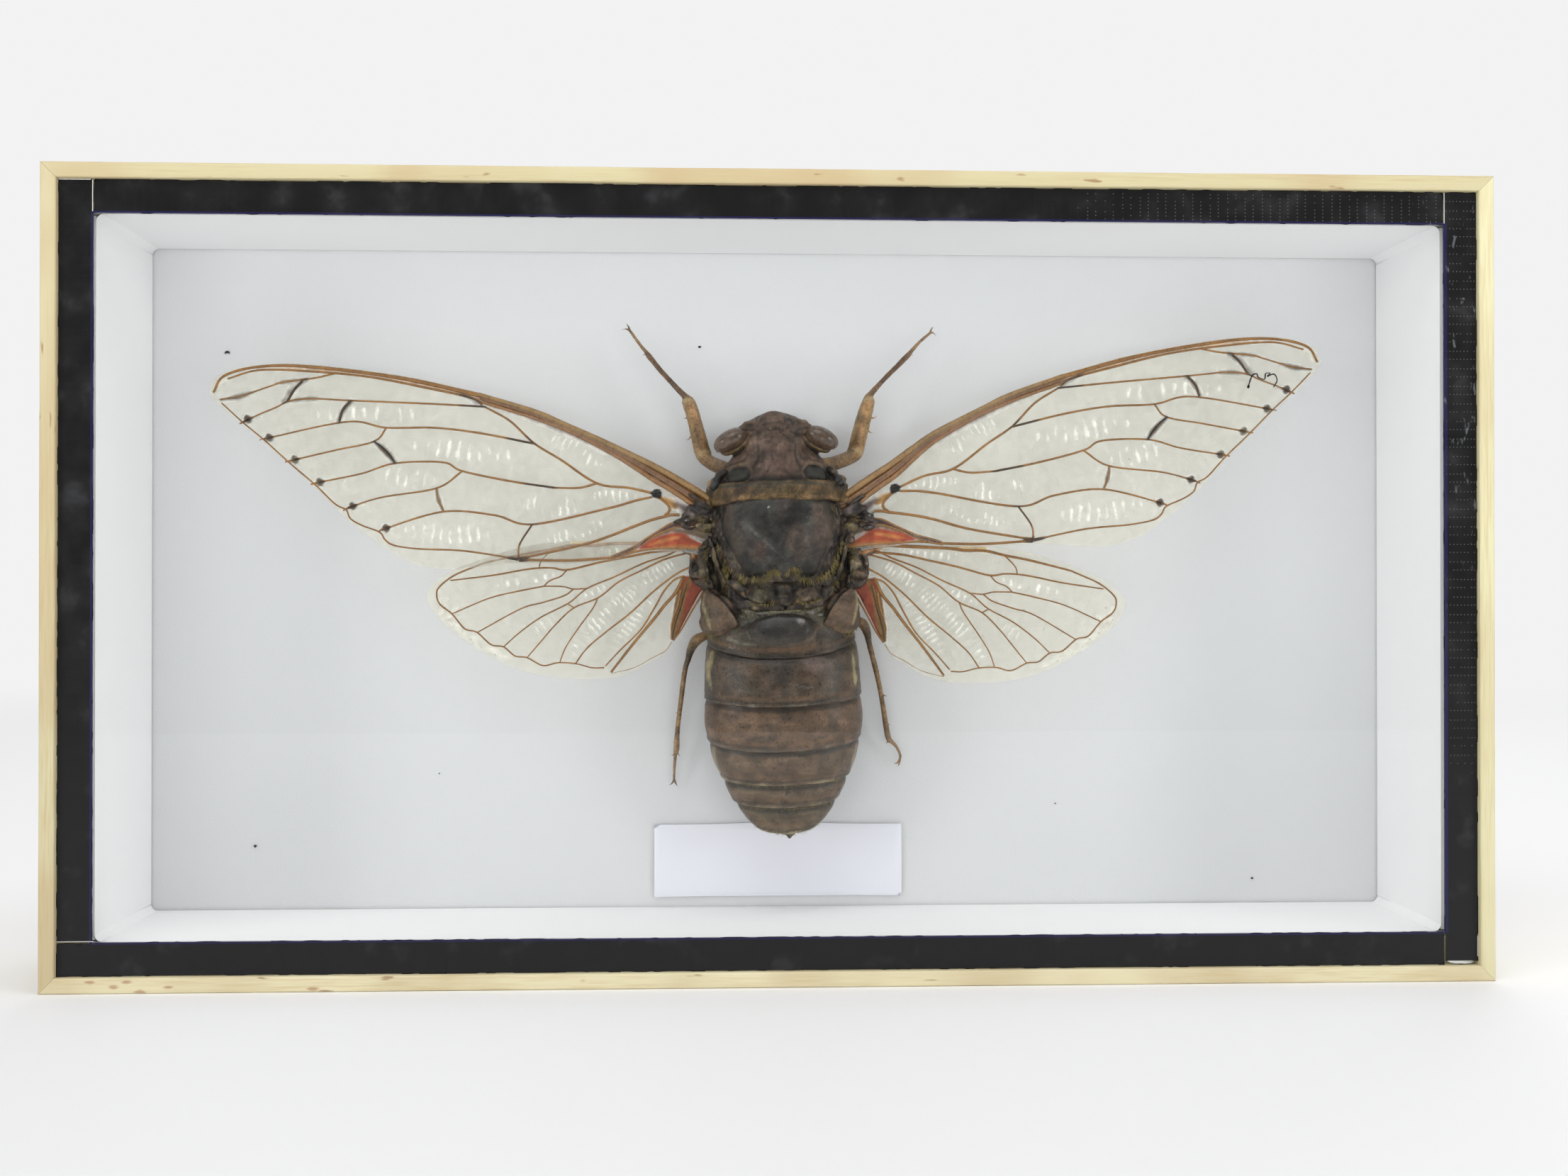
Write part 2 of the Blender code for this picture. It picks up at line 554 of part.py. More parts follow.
def build_cicada(material):
    """The insect as one solid: the body, with its lumps, legs and wings fused to it."""
    axis = bpy.data.objects.new("cicada_axis", None)
    axis.location = Vector(HEAD_FRONT) * MM
    axis.rotation_euler.y = -math.radians(BODY_LEAN)
    bpy.context.scene.collection.objects.link(axis)
    limbs = bpy.data.collections.new("cicada_limbs")
    bpy.context.scene.collection.children.link(limbs)

    forms = {"thorax_shield": lofted(SHIELD_SECTIONS)}
    forms.update({name: lump(*place) for name, place in BODY_LUMPS.items()})
    forms.update({name: tube(stations) for name, stations in LEGS.items()})
    forms.update({f"spine_{i}": spine(*ends) for i, ends in enumerate(SPINES)})
    for name, form in forms.items():
        limb = add_object(name, form, smooth=True)
        limb.parent = axis
        hide_limb(limb, limbs)
    for name, (outline, veins, side, hinge, sweep) in WINGS.items():
        limb = add_object(name, wing(outline, veins, side))
        limb.location = Vector(hinge) * MM
        limb.rotation_euler.y = -side * math.radians(sweep)
        hide_limb(limb, limbs)

    body = add_object("cicada", lofted(BODY_SECTIONS), material, smooth=True)
    body.parent = axis
    union = body.modifiers.new("fuse_limbs", "BOOLEAN")
    union.operation = "UNION"
    union.operand_type = "COLLECTION"
    union.collection = limbs
    union.solver = "EXACT"


def main():
    """Build every piece of the framed specimen."""
    clear_objects()
    wood = finish("pale_pine", (0.74, 0.62, 0.38), 0.55)
    tape = finish("black_tape", (0.012, 0.012, 0.013), 0.30)
    glass = finish("clear_glass", (0.95, 0.97, 0.97), 0.03, alpha=0.15)
    card = finish("white_card", (0.82, 0.83, 0.85), 0.80)
    board = finish("cool_white_board", (0.66, 0.68, 0.73), 0.85)
    hardboard = finish("brown_hardboard", (0.33, 0.22, 0.13), 0.75)
    shell = finish("brown_insect_shell", (0.10, 0.062, 0.042), 0.45)
    build_rails(wood)
    build_glass(glass)
    build_tape(tape)
    build_lining(card)
    build_back(board, hardboard)
    build_card(card)
    build_cicada(shell)


main()
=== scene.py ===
"""Looks of the framed cicada specimen.

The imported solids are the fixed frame. The box is dressed in pale pine, embossed tape, glass and white
card, and the insect is modelled in full: its shell plate by plate, its legs, hairs and veined wings.
The box is in metres. The insect is modelled in millimetres, in a frame of its own, and then placed.
"""

import logging
import math
from collections.abc import Callable, Sequence
from dataclasses import dataclass, field, replace
from enum import Enum

import bpy
import numpy as np
from mathutils import Matrix, Vector
from mathutils.geometry import delaunay_2d_cdt


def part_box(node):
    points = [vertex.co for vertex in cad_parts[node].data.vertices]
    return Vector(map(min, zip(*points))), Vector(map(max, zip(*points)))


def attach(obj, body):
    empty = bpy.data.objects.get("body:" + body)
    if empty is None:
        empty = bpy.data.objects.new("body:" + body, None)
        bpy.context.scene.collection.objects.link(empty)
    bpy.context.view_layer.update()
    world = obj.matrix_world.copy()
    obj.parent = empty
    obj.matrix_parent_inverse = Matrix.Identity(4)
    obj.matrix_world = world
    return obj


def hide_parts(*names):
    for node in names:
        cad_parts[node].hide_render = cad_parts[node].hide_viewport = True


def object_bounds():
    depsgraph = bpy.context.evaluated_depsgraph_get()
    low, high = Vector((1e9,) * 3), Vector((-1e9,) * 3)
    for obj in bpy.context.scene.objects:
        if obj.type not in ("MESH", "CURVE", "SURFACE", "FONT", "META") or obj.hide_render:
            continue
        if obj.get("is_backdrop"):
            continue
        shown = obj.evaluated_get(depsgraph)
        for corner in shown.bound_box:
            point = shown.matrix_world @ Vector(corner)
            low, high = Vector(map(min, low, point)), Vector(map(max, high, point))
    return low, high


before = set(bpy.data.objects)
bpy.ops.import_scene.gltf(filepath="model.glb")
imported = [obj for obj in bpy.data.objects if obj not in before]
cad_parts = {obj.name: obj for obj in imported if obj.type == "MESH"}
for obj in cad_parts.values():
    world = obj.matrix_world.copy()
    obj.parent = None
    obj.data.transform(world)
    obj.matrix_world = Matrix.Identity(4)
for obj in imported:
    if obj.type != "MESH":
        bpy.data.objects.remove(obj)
log = logging.getLogger("cicada_box")

Points = np.ndarray
Colour = tuple[float, float, float]
Place = tuple[float, float, float]
Spot = tuple[float, float]

MM = 0.001
ROOT = "root"


# Numbers and lines

def eased(low: float, high: float, values: Points) -> Points:
    """Zero below low, one above high, and a smooth rise between."""
    share = np.clip((values - low) / (high - low), 0.0, 1.0)
    return share * share * (3.0 - 2.0 * share)


def line_through(points: Sequence, step: float, closed: bool = False) -> Points:
    """Points on a smooth curve through the given ones.

    Args:
        points: the knots, each with any number of values.
        step: about how far apart the points on the curve lie.
        closed: whether the curve returns to its start.

    Returns:
        The curve's points, one a row.
    """
    knots = np.asarray(points, float)
    if closed:
        padded = np.vstack([knots[-1:], knots, knots[:2]])
    else:
        padded = np.vstack([2 * knots[:1] - knots[1:2], knots, 2 * knots[-1:] - knots[-2:-1]])
    line = []
    for p0, p1, p2, p3 in zip(padded, padded[1:], padded[2:], padded[3:]):
        pieces = max(1, round(float(np.linalg.norm(p2 - p1)) / step))
        t = np.arange(pieces)[:, None] / pieces
        line.append(0.5 * (2 * p1 + (p2 - p0) * t + (2 * p0 - 5 * p1 + 4 * p2 - p3) * t ** 2
                           + (3 * p1 - p0 - 3 * p2 + p3) * t ** 3))
    if not closed:
        line.append(knots[-1:])
    return np.vstack(line)


def nearest(points: Points, line: Points) -> tuple[Points, Points]:
    """How far each point is from a line, and the share of the line's length at which it is nearest.

    Args:
        points: the points, one a row.
        line: the line's corners, one a row.

    Returns:
        The distances and the shares.
    """
    best = np.full(len(points), np.inf)
    share = np.zeros(len(points))
    spans = len(line) - 1
    for i in range(spans):
        along = line[i + 1] - line[i]
        t = np.clip((points - line[i]) @ along / max(float(along @ along), 1e-12), 0.0, 1.0)
        gap = np.linalg.norm(points - line[i] - t[:, None] * along, axis=1)
        closer = gap < best
        best[closer] = gap[closer]
        share[closer] = (i + t[closer]) / spans
    return best, share


def inside(points: Points, outline: Points) -> Points:
    """Which points of a plane lie within a closed outline."""
    x, y = points.T
    found = np.zeros(len(points), bool)
    for a, b in zip(outline, np.roll(outline, -1, axis=0)):
        rise = b[1] - a[1] or 1.0
        found ^= ((a[1] > y) != (b[1] > y)) & (x < a[0] + (b[0] - a[0]) * (y - a[1]) / rise)
    return found


def lattice(cells: Points, seed: int) -> Points:
    """A repeatable number from 0 to 1 for each whole-number cell."""
    x, y, z = cells.astype(np.int64).T
    mixed = (x * 374761393 + y * 668265263 + z * 1440662683 + seed * 974634777) & 0xFFFFFFFF
    mixed = ((mixed ^ (mixed >> 13)) * 1274126177) & 0xFFFFFFFF
    return ((mixed ^ (mixed >> 16)) & 0xFFFF) / 0xFFFF


def cloudy(points: Points, size: float, octaves: int = 3, seed: int = 0) -> Points:
    """Soft noise between about -1 and 1.

    Args:
        points: places in a plane or in space, one a row.
        size: how large the largest blotches are.
        octaves: how many finer layers are added.
        seed: chooses the pattern.

    Returns:
        One value for each point.
    """
    spots = np.zeros((len(points), 3))
    spots[:, :points.shape[1]] = points
    total, weight, weights = np.zeros(len(points)), 1.0, 0.0
    for octave in range(octaves):
        scaled = spots / size * 2 ** octave + 37.3 * seed
        cell = np.floor(scaled)
        part = scaled - cell
        part = part * part * (3 - 2 * part)
        value = np.zeros(len(points))
        for corner in np.ndindex(2, 2, 2):
            corner = np.array(corner)
            share = np.prod(np.where(corner, part, 1 - part), axis=1)
            value += share * lattice(cell + corner, seed + octave)
        total += weight * (2 * value - 1)
        weights += weight
        weight *= 0.55
    return total / weights


# Making meshes

def only(obj: bpy.types.Object) -> None:
    """Select this object alone and make it the active one."""
    bpy.ops.object.select_all(action="DESELECT")
    bpy.context.view_layer.objects.active = obj
    obj.select_set(True)


def named(name: str) -> bpy.types.Object:
    """Name the object that was just added, and its data."""
    obj = bpy.context.object
    obj.name = name
    obj.data.name = name
    return obj


def read_points(obj: bpy.types.Object) -> Points:
    """The places of a mesh's points, one a row."""
    flat = np.zeros(len(obj.data.vertices) * 3)
    obj.data.vertices.foreach_get("co", flat)
    return flat.reshape(-1, 3)


def write_points(obj: bpy.types.Object, points: Points) -> None:
    """Move a mesh's points to the given places."""
    obj.data.vertices.foreach_set("co", points.astype(np.float32).ravel())
    obj.data.update()


def read_normals(obj: bpy.types.Object) -> Points:
    """The outward direction at each point of a mesh."""
    flat = np.zeros(len(obj.data.vertices) * 3)
    obj.data.vertex_normals.foreach_get("vector", flat)
    return flat.reshape(-1, 3)


def mend(obj: bpy.types.Object, merge: float = 1e-4) -> None:
    """Merge a mesh's doubled points, close its holes and turn its faces outwards."""
    only(obj)
    bpy.ops.object.mode_set(mode="EDIT")
    bpy.ops.mesh.select_all(action="SELECT")
    bpy.ops.mesh.remove_doubles(threshold=merge)
    bpy.ops.mesh.fill_holes(sides=0)
    bpy.ops.mesh.select_all(action="SELECT")
    bpy.ops.mesh.normals_make_consistent(inside=False)
    bpy.ops.object.mode_set(mode="OBJECT")


def applied(obj: bpy.types.Object, kind: str, **settings: object) -> None:
    """Give an object a modifier and apply it."""
    only(obj)
    modifier = obj.modifiers.new(kind.lower(), kind)
    for key, value in settings.items():
        setattr(modifier, key, value)
    bpy.ops.object.modifier_apply(modifier=modifier.name)


def joined(name: str, parts: Sequence[bpy.types.Object]) -> bpy.types.Object:
    """Join several meshes into one object."""
    only(parts[0])
    for part in parts:
        part.select_set(True)
    bpy.ops.object.join()
    return named(name)


def smoothed(obj: bpy.types.Object, degrees: float = 30.0) -> None:
    """Shade a mesh smooth, but for its edges that are sharper than an angle."""
    only(obj)
    bpy.ops.object.shade_smooth_by_angle(angle=math.radians(degrees))


def raw_mesh(name: str, points: Points, faces: Sequence) -> bpy.types.Object:
    """An object from places and faces worked out in code."""
    mesh = bpy.data.meshes.new(name)
    mesh.from_pydata(points.tolist(), [], faces)
    obj = bpy.data.objects.new(name, mesh)
    bpy.context.scene.collection.objects.link(obj)
    only(obj)
    return obj


def shaped_grid(name: str, columns: int, rows: int, place: Callable[[Points, Points], Points],
                ) -> bpy.types.Object:
    """A flat grid whose points are moved, as by sculpting, to their places.

    Args:
        name: the object's name.
        columns: faces along the grid's first direction.
        rows: faces along its second direction.
        place: turns the two shares, from 0 to 1, into places.

    Returns:
        The object, with its seams merged and its holes closed.
    """
    bpy.ops.object.select_all(action="DESELECT")
    bpy.ops.mesh.primitive_grid_add(x_subdivisions=columns, y_subdivisions=rows, size=2.0)
    obj = named(name)
    flat = read_points(obj)
    write_points(obj, place((flat[:, 0] + 1) / 2, (flat[:, 1] + 1) / 2))
    mend(obj)
    return obj


def box_piece(name: str, low: Sequence[float], high: Sequence[float]) -> bpy.types.Object:
    """A cube stretched between its lowest and highest corners."""
    bpy.ops.object.select_all(action="DESELECT")
    bpy.ops.mesh.primitive_cube_add(size=1.0)
    obj = named(name)
    low, high = np.asarray(low, float), np.asarray(high, float)
    write_points(obj, (low + high) / 2 + read_points(obj) * (high - low))
    return obj


def tubes(name: str, runs: Sequence[tuple[Points, Points]], roundness: int = 2) -> bpy.types.Object:
    """Round tubes with closed ends.

    Args:
        name: the object's name.
        runs: for each tube its points, one a row, and its radius at each.
        roundness: the bevel resolution of the curve.

    Returns:
        One mesh object that holds all the tubes.
    """
    curve = bpy.data.curves.new(name, "CURVE")
    curve.dimensions = "3D"
    curve.bevel_depth = 1.0
    curve.bevel_resolution = roundness
    curve.use_fill_caps = True
    for points, radii in runs:
        spline = curve.splines.new("POLY")
        spline.points.add(len(points) - 1)
        spline.points.foreach_set("co", np.hstack([points, np.ones((len(points), 1))]).ravel())
        spline.points.foreach_set("radius", np.asarray(radii, float))
    obj = bpy.data.objects.new(name, curve)
    bpy.context.scene.collection.objects.link(obj)
    only(obj)
    bpy.ops.object.convert(target="MESH")
    return named(name)


def hairs(name: str, roots: Points, tips: Points, width: float) -> bpy.types.Object:
    """Fine hairs, each a bent three-sided spike.

    Args:
        name: the object's name.
        roots: where each hair starts.
        tips: where each hair ends.
        width: how thick a hair is at its root.

    Returns:
        One mesh object that holds all the hairs.
    """
    along = tips - roots
    side = np.cross(along, (0.3, 1.0, 0.2))
    side /= np.linalg.norm(side, axis=1, keepdims=True)
    other = np.cross(along, side)
    other /= np.linalg.norm(other, axis=1, keepdims=True)
    middle = roots + along * 0.55 + other * np.linalg.norm(along, axis=1, keepdims=True) * 0.08
    points, faces = [], []
    for at, size in ((roots, 0.5), (middle, 0.36)):
        for k in range(3):
            turn = 2 * math.pi * k / 3
            points.append(at + width * size * (math.cos(turn) * side + math.sin(turn) * other))
    points.append(tips)
    stacked = np.stack(points, axis=1).reshape(-1, 3)
    pattern = [(0, 2, 1), (3, 4, 6), (4, 5, 6), (5, 3, 6)]
    pattern += [(0, 1, 4, 3), (1, 2, 5, 4), (2, 0, 3, 5)]
    for i in range(len(roots)):
        faces += [tuple(7 * i + k for k in face) for face in pattern]
    return raw_mesh(name, stacked, faces)


# Finishes

class NodeSheet:
    """A material's nodes, each added with its values and links in one call."""

    def __init__(self, name: str) -> None:
        """Start an empty material."""
        self.material = bpy.data.materials.new(name)
        self.material.use_nodes = True
        self.tree = self.material.node_tree
        self.tree.nodes.clear()

    def add(self, kind: str, values: dict | None = None, **settings: object) -> bpy.types.Node:
        """Add a node.

        Args:
            kind: the node's type without its ShaderNode prefix.
            values: numbers or linked sockets for its inputs, by name or place.
            settings: the node's own properties.

        Returns:
            The new node.
        """
        node = self.tree.nodes.new("ShaderNode" + kind)
        for key, value in settings.items():
            setattr(node, key, value)
        for key, value in (values or {}).items():
            if isinstance(value, bpy.types.NodeSocket):
                self.tree.links.new(value, node.inputs[key])
            else:
                node.inputs[key].default_value = value
        return node

    def coords(self, stretch: Place = (1.0, 1.0, 1.0)) -> bpy.types.NodeSocket:
        """The object's own coordinates, stretched."""
        source = self.add("TexCoord").outputs["Object"]
        return self.add("Mapping", {"Vector": source, "Scale": stretch}).outputs[0]

    def noise(self, scale: float, detail: float = 3.0, stretch: Place = (1.0, 1.0, 1.0),
              ) -> bpy.types.NodeSocket:
        """Cloudy noise on the object's coordinates."""
        values = {"Vector": self.coords(stretch), "Scale": scale, "Detail": detail}
        return self.add("TexNoise", values).outputs["Fac"]

    def span(self, value: bpy.types.NodeSocket, low: float, high: float, start: float = 0.0,
             end: float = 1.0) -> bpy.types.NodeSocket:
        """Turn the range low to high into start to end."""
        values = {0: value, 1: low, 2: high, 3: start, 4: end}
        return self.add("MapRange", values, interpolation_type="SMOOTHSTEP").outputs[0]

    def mix(self, share: object, first: object, second: object, blend: str = "MIX",
            ) -> bpy.types.NodeSocket:
        """Mix two colours."""
        values = {0: share, 6: opaque(first), 7: opaque(second)}
        return self.add("Mix", values, data_type="RGBA", blend_type=blend).outputs[2]

    def calc(self, operation: str, first: object, second: object) -> bpy.types.NodeSocket:
        """One value worked out from two."""
        return self.add("Math", {0: first, 1: second}, operation=operation).outputs[0]

    def bump(self, height: bpy.types.NodeSocket, distance: float, strength: float = 1.0,
             ) -> bpy.types.NodeSocket:
        """A bumped normal."""
        values = {"Height": height, "Distance": distance, "Strength": strength}
        return self.add("Bump", values).outputs[0]

    def rim_share(self, base: float, normal: bpy.types.NodeSocket | None = None) -> bpy.types.NodeSocket:
        """How much a thin sheet reflects: its base share straight on, and all light at a grazing angle."""
        layer = self.add("LayerWeight", {"Blend": 0.5} | ({"Normal": normal} if normal else {}))
        rise = self.calc("POWER", layer.outputs["Facing"], 5.0)
        return self.span(rise, 0.0, 1.0, base, 1.0)

    def tint(self) -> bpy.types.Node:
        """The colour and cover painted on the piece's points."""
        return self.add("Attribute", attribute_name="tint", attribute_type="GEOMETRY")

    def close(self, shader: bpy.types.Node) -> bpy.types.Material:
        """Link the shader to the output and hand over the material."""
        self.add("OutputMaterial", {"Surface": shader.outputs[0]})
        return self.material


def opaque(colour: object) -> object:
    """A colour with its fourth value, or a socket as it is."""
    return (*colour, 1.0) if isinstance(colour, tuple) else colour


class Grain(Enum):
    """The direction of a rail's or strip's length, as the stretch of its pattern."""

    LEVEL = (0.045, 1.0, 1.0)
    UPRIGHT = (1.0, 1.0, 0.045)


@dataclass(frozen=True)
class PineFinish:
    """Pale sanded pine with fine grain and small brown flecks."""

    name: str
    grain: Grain
    pale: Colour
    deep: Colour
    blushing: float = 0.5
    marks: Sequence[Spot] = ()
    fleck: Colour = (0.3, 0.18, 0.09)
    blush: Colour = (0.5, 0.385, 0.215)
    mark_tint: Colour = (0.4, 0.225, 0.125)

    def material(self) -> bpy.types.Material:
        """Build the material."""
        sheet = NodeSheet(f"pine_painted_light_{self.name}")
        stretch = self.grain.value
        streaks = sheet.noise(2600.0, 4.0, stretch)
        bands = sheet.noise(420.0, 3.0, stretch)
        patches = sheet.noise(38.0, 2.0)
        colour = sheet.mix(sheet.span(streaks, 0.35, 0.75), self.pale, self.deep)
        colour = sheet.mix(sheet.span(bands, 0.3, 0.62), self.pale, colour)
        colour = sheet.mix(sheet.span(patches, 0.42, 0.66, 0.0, self.blushing), colour, self.blush)
        short = tuple(min(1.0, s * 5.0) for s in stretch)
        flecks = sheet.span(sheet.noise(640.0, 2.0, short), 0.69, 0.76, 0.0, 0.8)
        colour = sheet.mix(flecks, colour, self.fleck)
        for across, up in self.marks:
            middle = (across * MM, -0.02, up * MM)
            away = sheet.add("VectorMath", {0: sheet.coords(), 1: middle}, operation="SUBTRACT").outputs[0]
            spot = sheet.add("VectorMath", {0: away, 1: (1.0, 0.1, 2.6)}, operation="MULTIPLY").outputs[0]
            size = sheet.add("VectorMath", {0: spot}, operation="LENGTH").outputs["Value"]
            ragged = sheet.calc("ADD", size, sheet.span(streaks, 0.3, 0.7, -0.0004, 0.0004))
            colour = sheet.mix(sheet.span(ragged, 0.0004, 0.0011, 0.75, 0.0), colour, self.mark_tint)
        normal = sheet.bump(streaks, 0.00006, 0.6)
        shader = sheet.add("BsdfPrincipled", {
            "Base Color": colour, "Roughness": sheet.span(streaks, 0.3, 0.8, 0.48, 0.68), "Normal": normal,
            "Specular IOR Level": 0.35})
        return sheet.close(shader)


@dataclass(frozen=True)
class TapeFinish:
    """Black plastic tape with a soft gloss and rubbed patches."""

    name: str = "black_embossed_tape"
    colour: Colour = (0.006, 0.006, 0.0065)
    rubbed: Colour = (0.06, 0.062, 0.068)
    scuffed: Colour = (0.17, 0.185, 0.2)

    def material(self) -> bpy.types.Material:
        """Build the material."""
        sheet = NodeSheet(self.name)
        smears = sheet.noise(170.0, 5.0)
        fine = sheet.noise(2400.0, 3.0)
        parts = sheet.add("SeparateXYZ", {0: sheet.coords()}).outputs
        corner = sheet.calc("MULTIPLY", sheet.span(parts["X"], 0.092, 0.112),
                            sheet.span(parts["Z"], 0.045, 0.1))
        scuffs = sheet.calc("MULTIPLY", sheet.span(sheet.noise(420.0, 5.0, (1.6, 1.0, 0.7)), 0.6, 0.68),
                            corner)
        colour = sheet.mix(sheet.span(smears, 0.55, 0.8, 0.0, 0.35), self.colour, self.rubbed)
        shader = sheet.add("BsdfPrincipled", {
            "Base Color": sheet.mix(sheet.span(scuffs, 0.0, 1.0, 0.0, 0.5), colour, self.scuffed),
            "Roughness": sheet.span(smears, 0.35, 0.7, 0.3, 0.5), "Specular IOR Level": 0.32,
            "Normal": sheet.bump(fine, 0.00002, 0.3)})
        return sheet.close(shader)


@dataclass(frozen=True)
class GlassFinish:
    """Clear thin glass: seen through, with a faint reflection."""

    clear: Colour = (0.985, 0.992, 0.99)
    shine: float = 0.01

    def material(self) -> bpy.types.Material:
        """Build the material."""
        sheet = NodeSheet("clear_glass")
        film = sheet.noise(60.0, 3.0)
        shine = sheet.add("BsdfGlossy", {"Color": (1.0, 1.0, 1.0, 1.0),
                                         "Roughness": sheet.span(film, 0.3, 0.8, 0.0, 0.03)})
        through = sheet.add("BsdfTransparent", {"Color": opaque(self.clear)})
        return sheet.close(sheet.add("MixShader", {0: sheet.rim_share(self.shine), 1: through.outputs[0],
                                                   2: shine.outputs[0]}))


@dataclass(frozen=True)
class CardFinish:
    """Matt card or paper with a faint tooth and cloudy tone."""

    name: str
    colour: Colour
    shade: Colour
    tooth: float = 0.00004

    def material(self) -> bpy.types.Material:
        """Build the material."""
        sheet = NodeSheet(self.name)
        clouds = sheet.noise(22.0, 3.0)
        fibres = sheet.noise(2600.0, 4.0)
        colour = sheet.mix(sheet.span(clouds, 0.35, 0.7, 0.0, 0.6), self.colour, self.shade)
        colour = sheet.mix(sheet.span(fibres, 0.3, 0.8, 0.0, 0.25), colour, self.shade)
        shader = sheet.add("BsdfPrincipled", {
            "Base Color": colour, "Roughness": 0.82, "Normal": sheet.bump(fibres, self.tooth),
            "Specular IOR Level": 0.2})
        return sheet.close(shader)


@dataclass(frozen=True)
class HardboardFinish:
    """Brown pressed fibre board."""

    light: Colour = (0.36, 0.23, 0.125)
    dark: Colour = (0.17, 0.095, 0.05)

    def material(self) -> bpy.types.Material:
        """Build the material."""
        sheet = NodeSheet("brown_hardboard")
        fibres = sheet.noise(1500.0, 6.0, (1.0, 1.0, 0.35))
        clouds = sheet.noise(35.0, 3.0)
        colour = sheet.mix(sheet.span(fibres, 0.3, 0.75), self.light, self.dark)
        colour = sheet.mix(sheet.span(clouds, 0.4, 0.7, 0.0, 0.4), colour, self.dark)
        shader = sheet.add("BsdfPrincipled", {
            "Base Color": colour, "Roughness": 0.78, "Normal": sheet.bump(fibres, 0.0001, 0.8)})
        return sheet.close(shader)


@dataclass(frozen=True)
class ShellFinish:
    """Insect shell in the painted colours, mottled, with a fine wrinkled surface."""

    name: str
    roughness: float = 0.42
    mottle: float = 0.55
    wrinkle: float = 0.00007
    sheen: float = 0.3

    def material(self) -> bpy.types.Material:
        """Build the material."""
        sheet = NodeSheet(self.name)
        tint = sheet.tint().outputs["Color"]
        broad = sheet.span(sheet.noise(420.0, 4.0), 0.32, 0.68, 1.0 - self.mottle, 1.0 + self.mottle)
        fine = sheet.noise(2400.0, 4.0)
        grey = sheet.span(fine, 0.3, 0.7, 1.0 - self.mottle * 0.6, 1.0 + self.mottle * 0.6)
        shade = sheet.calc("MULTIPLY", broad, grey)
        tone = sheet.add("CombineXYZ", {0: shade, 1: shade, 2: shade}).outputs[0]
        colour = sheet.mix(1.0, tint, tone, "MULTIPLY")
        shader = sheet.add("BsdfPrincipled", {
            "Base Color": colour, "Normal": sheet.bump(fine, self.wrinkle), "Specular IOR Level": self.sheen,
            "Roughness": sheet.span(fine, 0.3, 0.7, self.roughness - 0.08, self.roughness + 0.14)})
        return sheet.close(shader)


@dataclass(frozen=True)
class EyeFinish:
    """Glossy red-brown eye with finely faceted bands."""

    dark: Colour = (0.058, 0.036, 0.022)
    light: Colour = (0.105, 0.065, 0.042)

    def material(self) -> bpy.types.Material:
        """Build the material."""
        sheet = NodeSheet("glossy_eye")
        bands = sheet.noise(1100.0, 3.0, (1.0, 1.0, 0.6))
        facets = sheet.add("TexVoronoi", {"Vector": sheet.coords(), "Scale": 6500.0}).outputs["Distance"]
        shader = sheet.add("BsdfPrincipled", {
            "Base Color": sheet.mix(sheet.span(bands, 0.38, 0.68), self.dark, self.light), "Roughness": 0.24,
            "Normal": sheet.bump(facets, 0.00002, 0.5), "Coat Weight": 0.35, "Coat Roughness": 0.08})
        return sheet.close(shader)


@dataclass(frozen=True)
class MembraneFinish:
    """Glassy wing skin: clear where nothing is painted, stained or given painted highlights where it is."""

    clear: Colour = (0.995, 0.982, 0.93)
    shine: float = 0.023

    def material(self) -> bpy.types.Material:
        """Build the material."""
        sheet = NodeSheet("wing_membrane")
        tint = sheet.tint()
        fine = sheet.noise(1300.0, 3.0)
        normal = sheet.bump(fine, 0.00004, 0.6)
        through = sheet.add("BsdfTransparent", {"Color": opaque(self.clear)})
        shine = sheet.add("BsdfGlossy", {"Color": (1.0, 1.0, 1.0, 1.0), "Roughness": 0.12, "Normal": normal})
        film = sheet.add("MixShader", {0: sheet.rim_share(self.shine, normal), 1: through.outputs[0],
                                       2: shine.outputs[0]})
        grain = sheet.span(sheet.noise(900.0, 4.0), 0.3, 0.7, 0.75, 1.3)
        tone = sheet.add("CombineXYZ", {0: grain, 1: grain, 2: grain}).outputs[0]
        painted = sheet.add("BsdfPrincipled", {
            "Base Color": sheet.mix(0.8, tint.outputs["Color"], tone, "MULTIPLY"), "Roughness": 0.42,
            "Normal": normal, "Specular IOR Level": 0.35})
        cover = tint.outputs["Alpha"]
        return sheet.close(sheet.add("MixShader", {0: cover, 1: film.outputs[0], 2: painted.outputs[0]}))


# Marks on surfaces

@dataclass(frozen=True)
class Stroke:
    """A mark on a surface, in millimetres: a groove, a ridge, a swelling or a painted band or patch."""

    line: Sequence[Spot]
    width: float
    height: float = 0.0
    tint: Colour | None = None
    strength: float = 1.0
    filled: bool = False
    ragged: float = 0.0


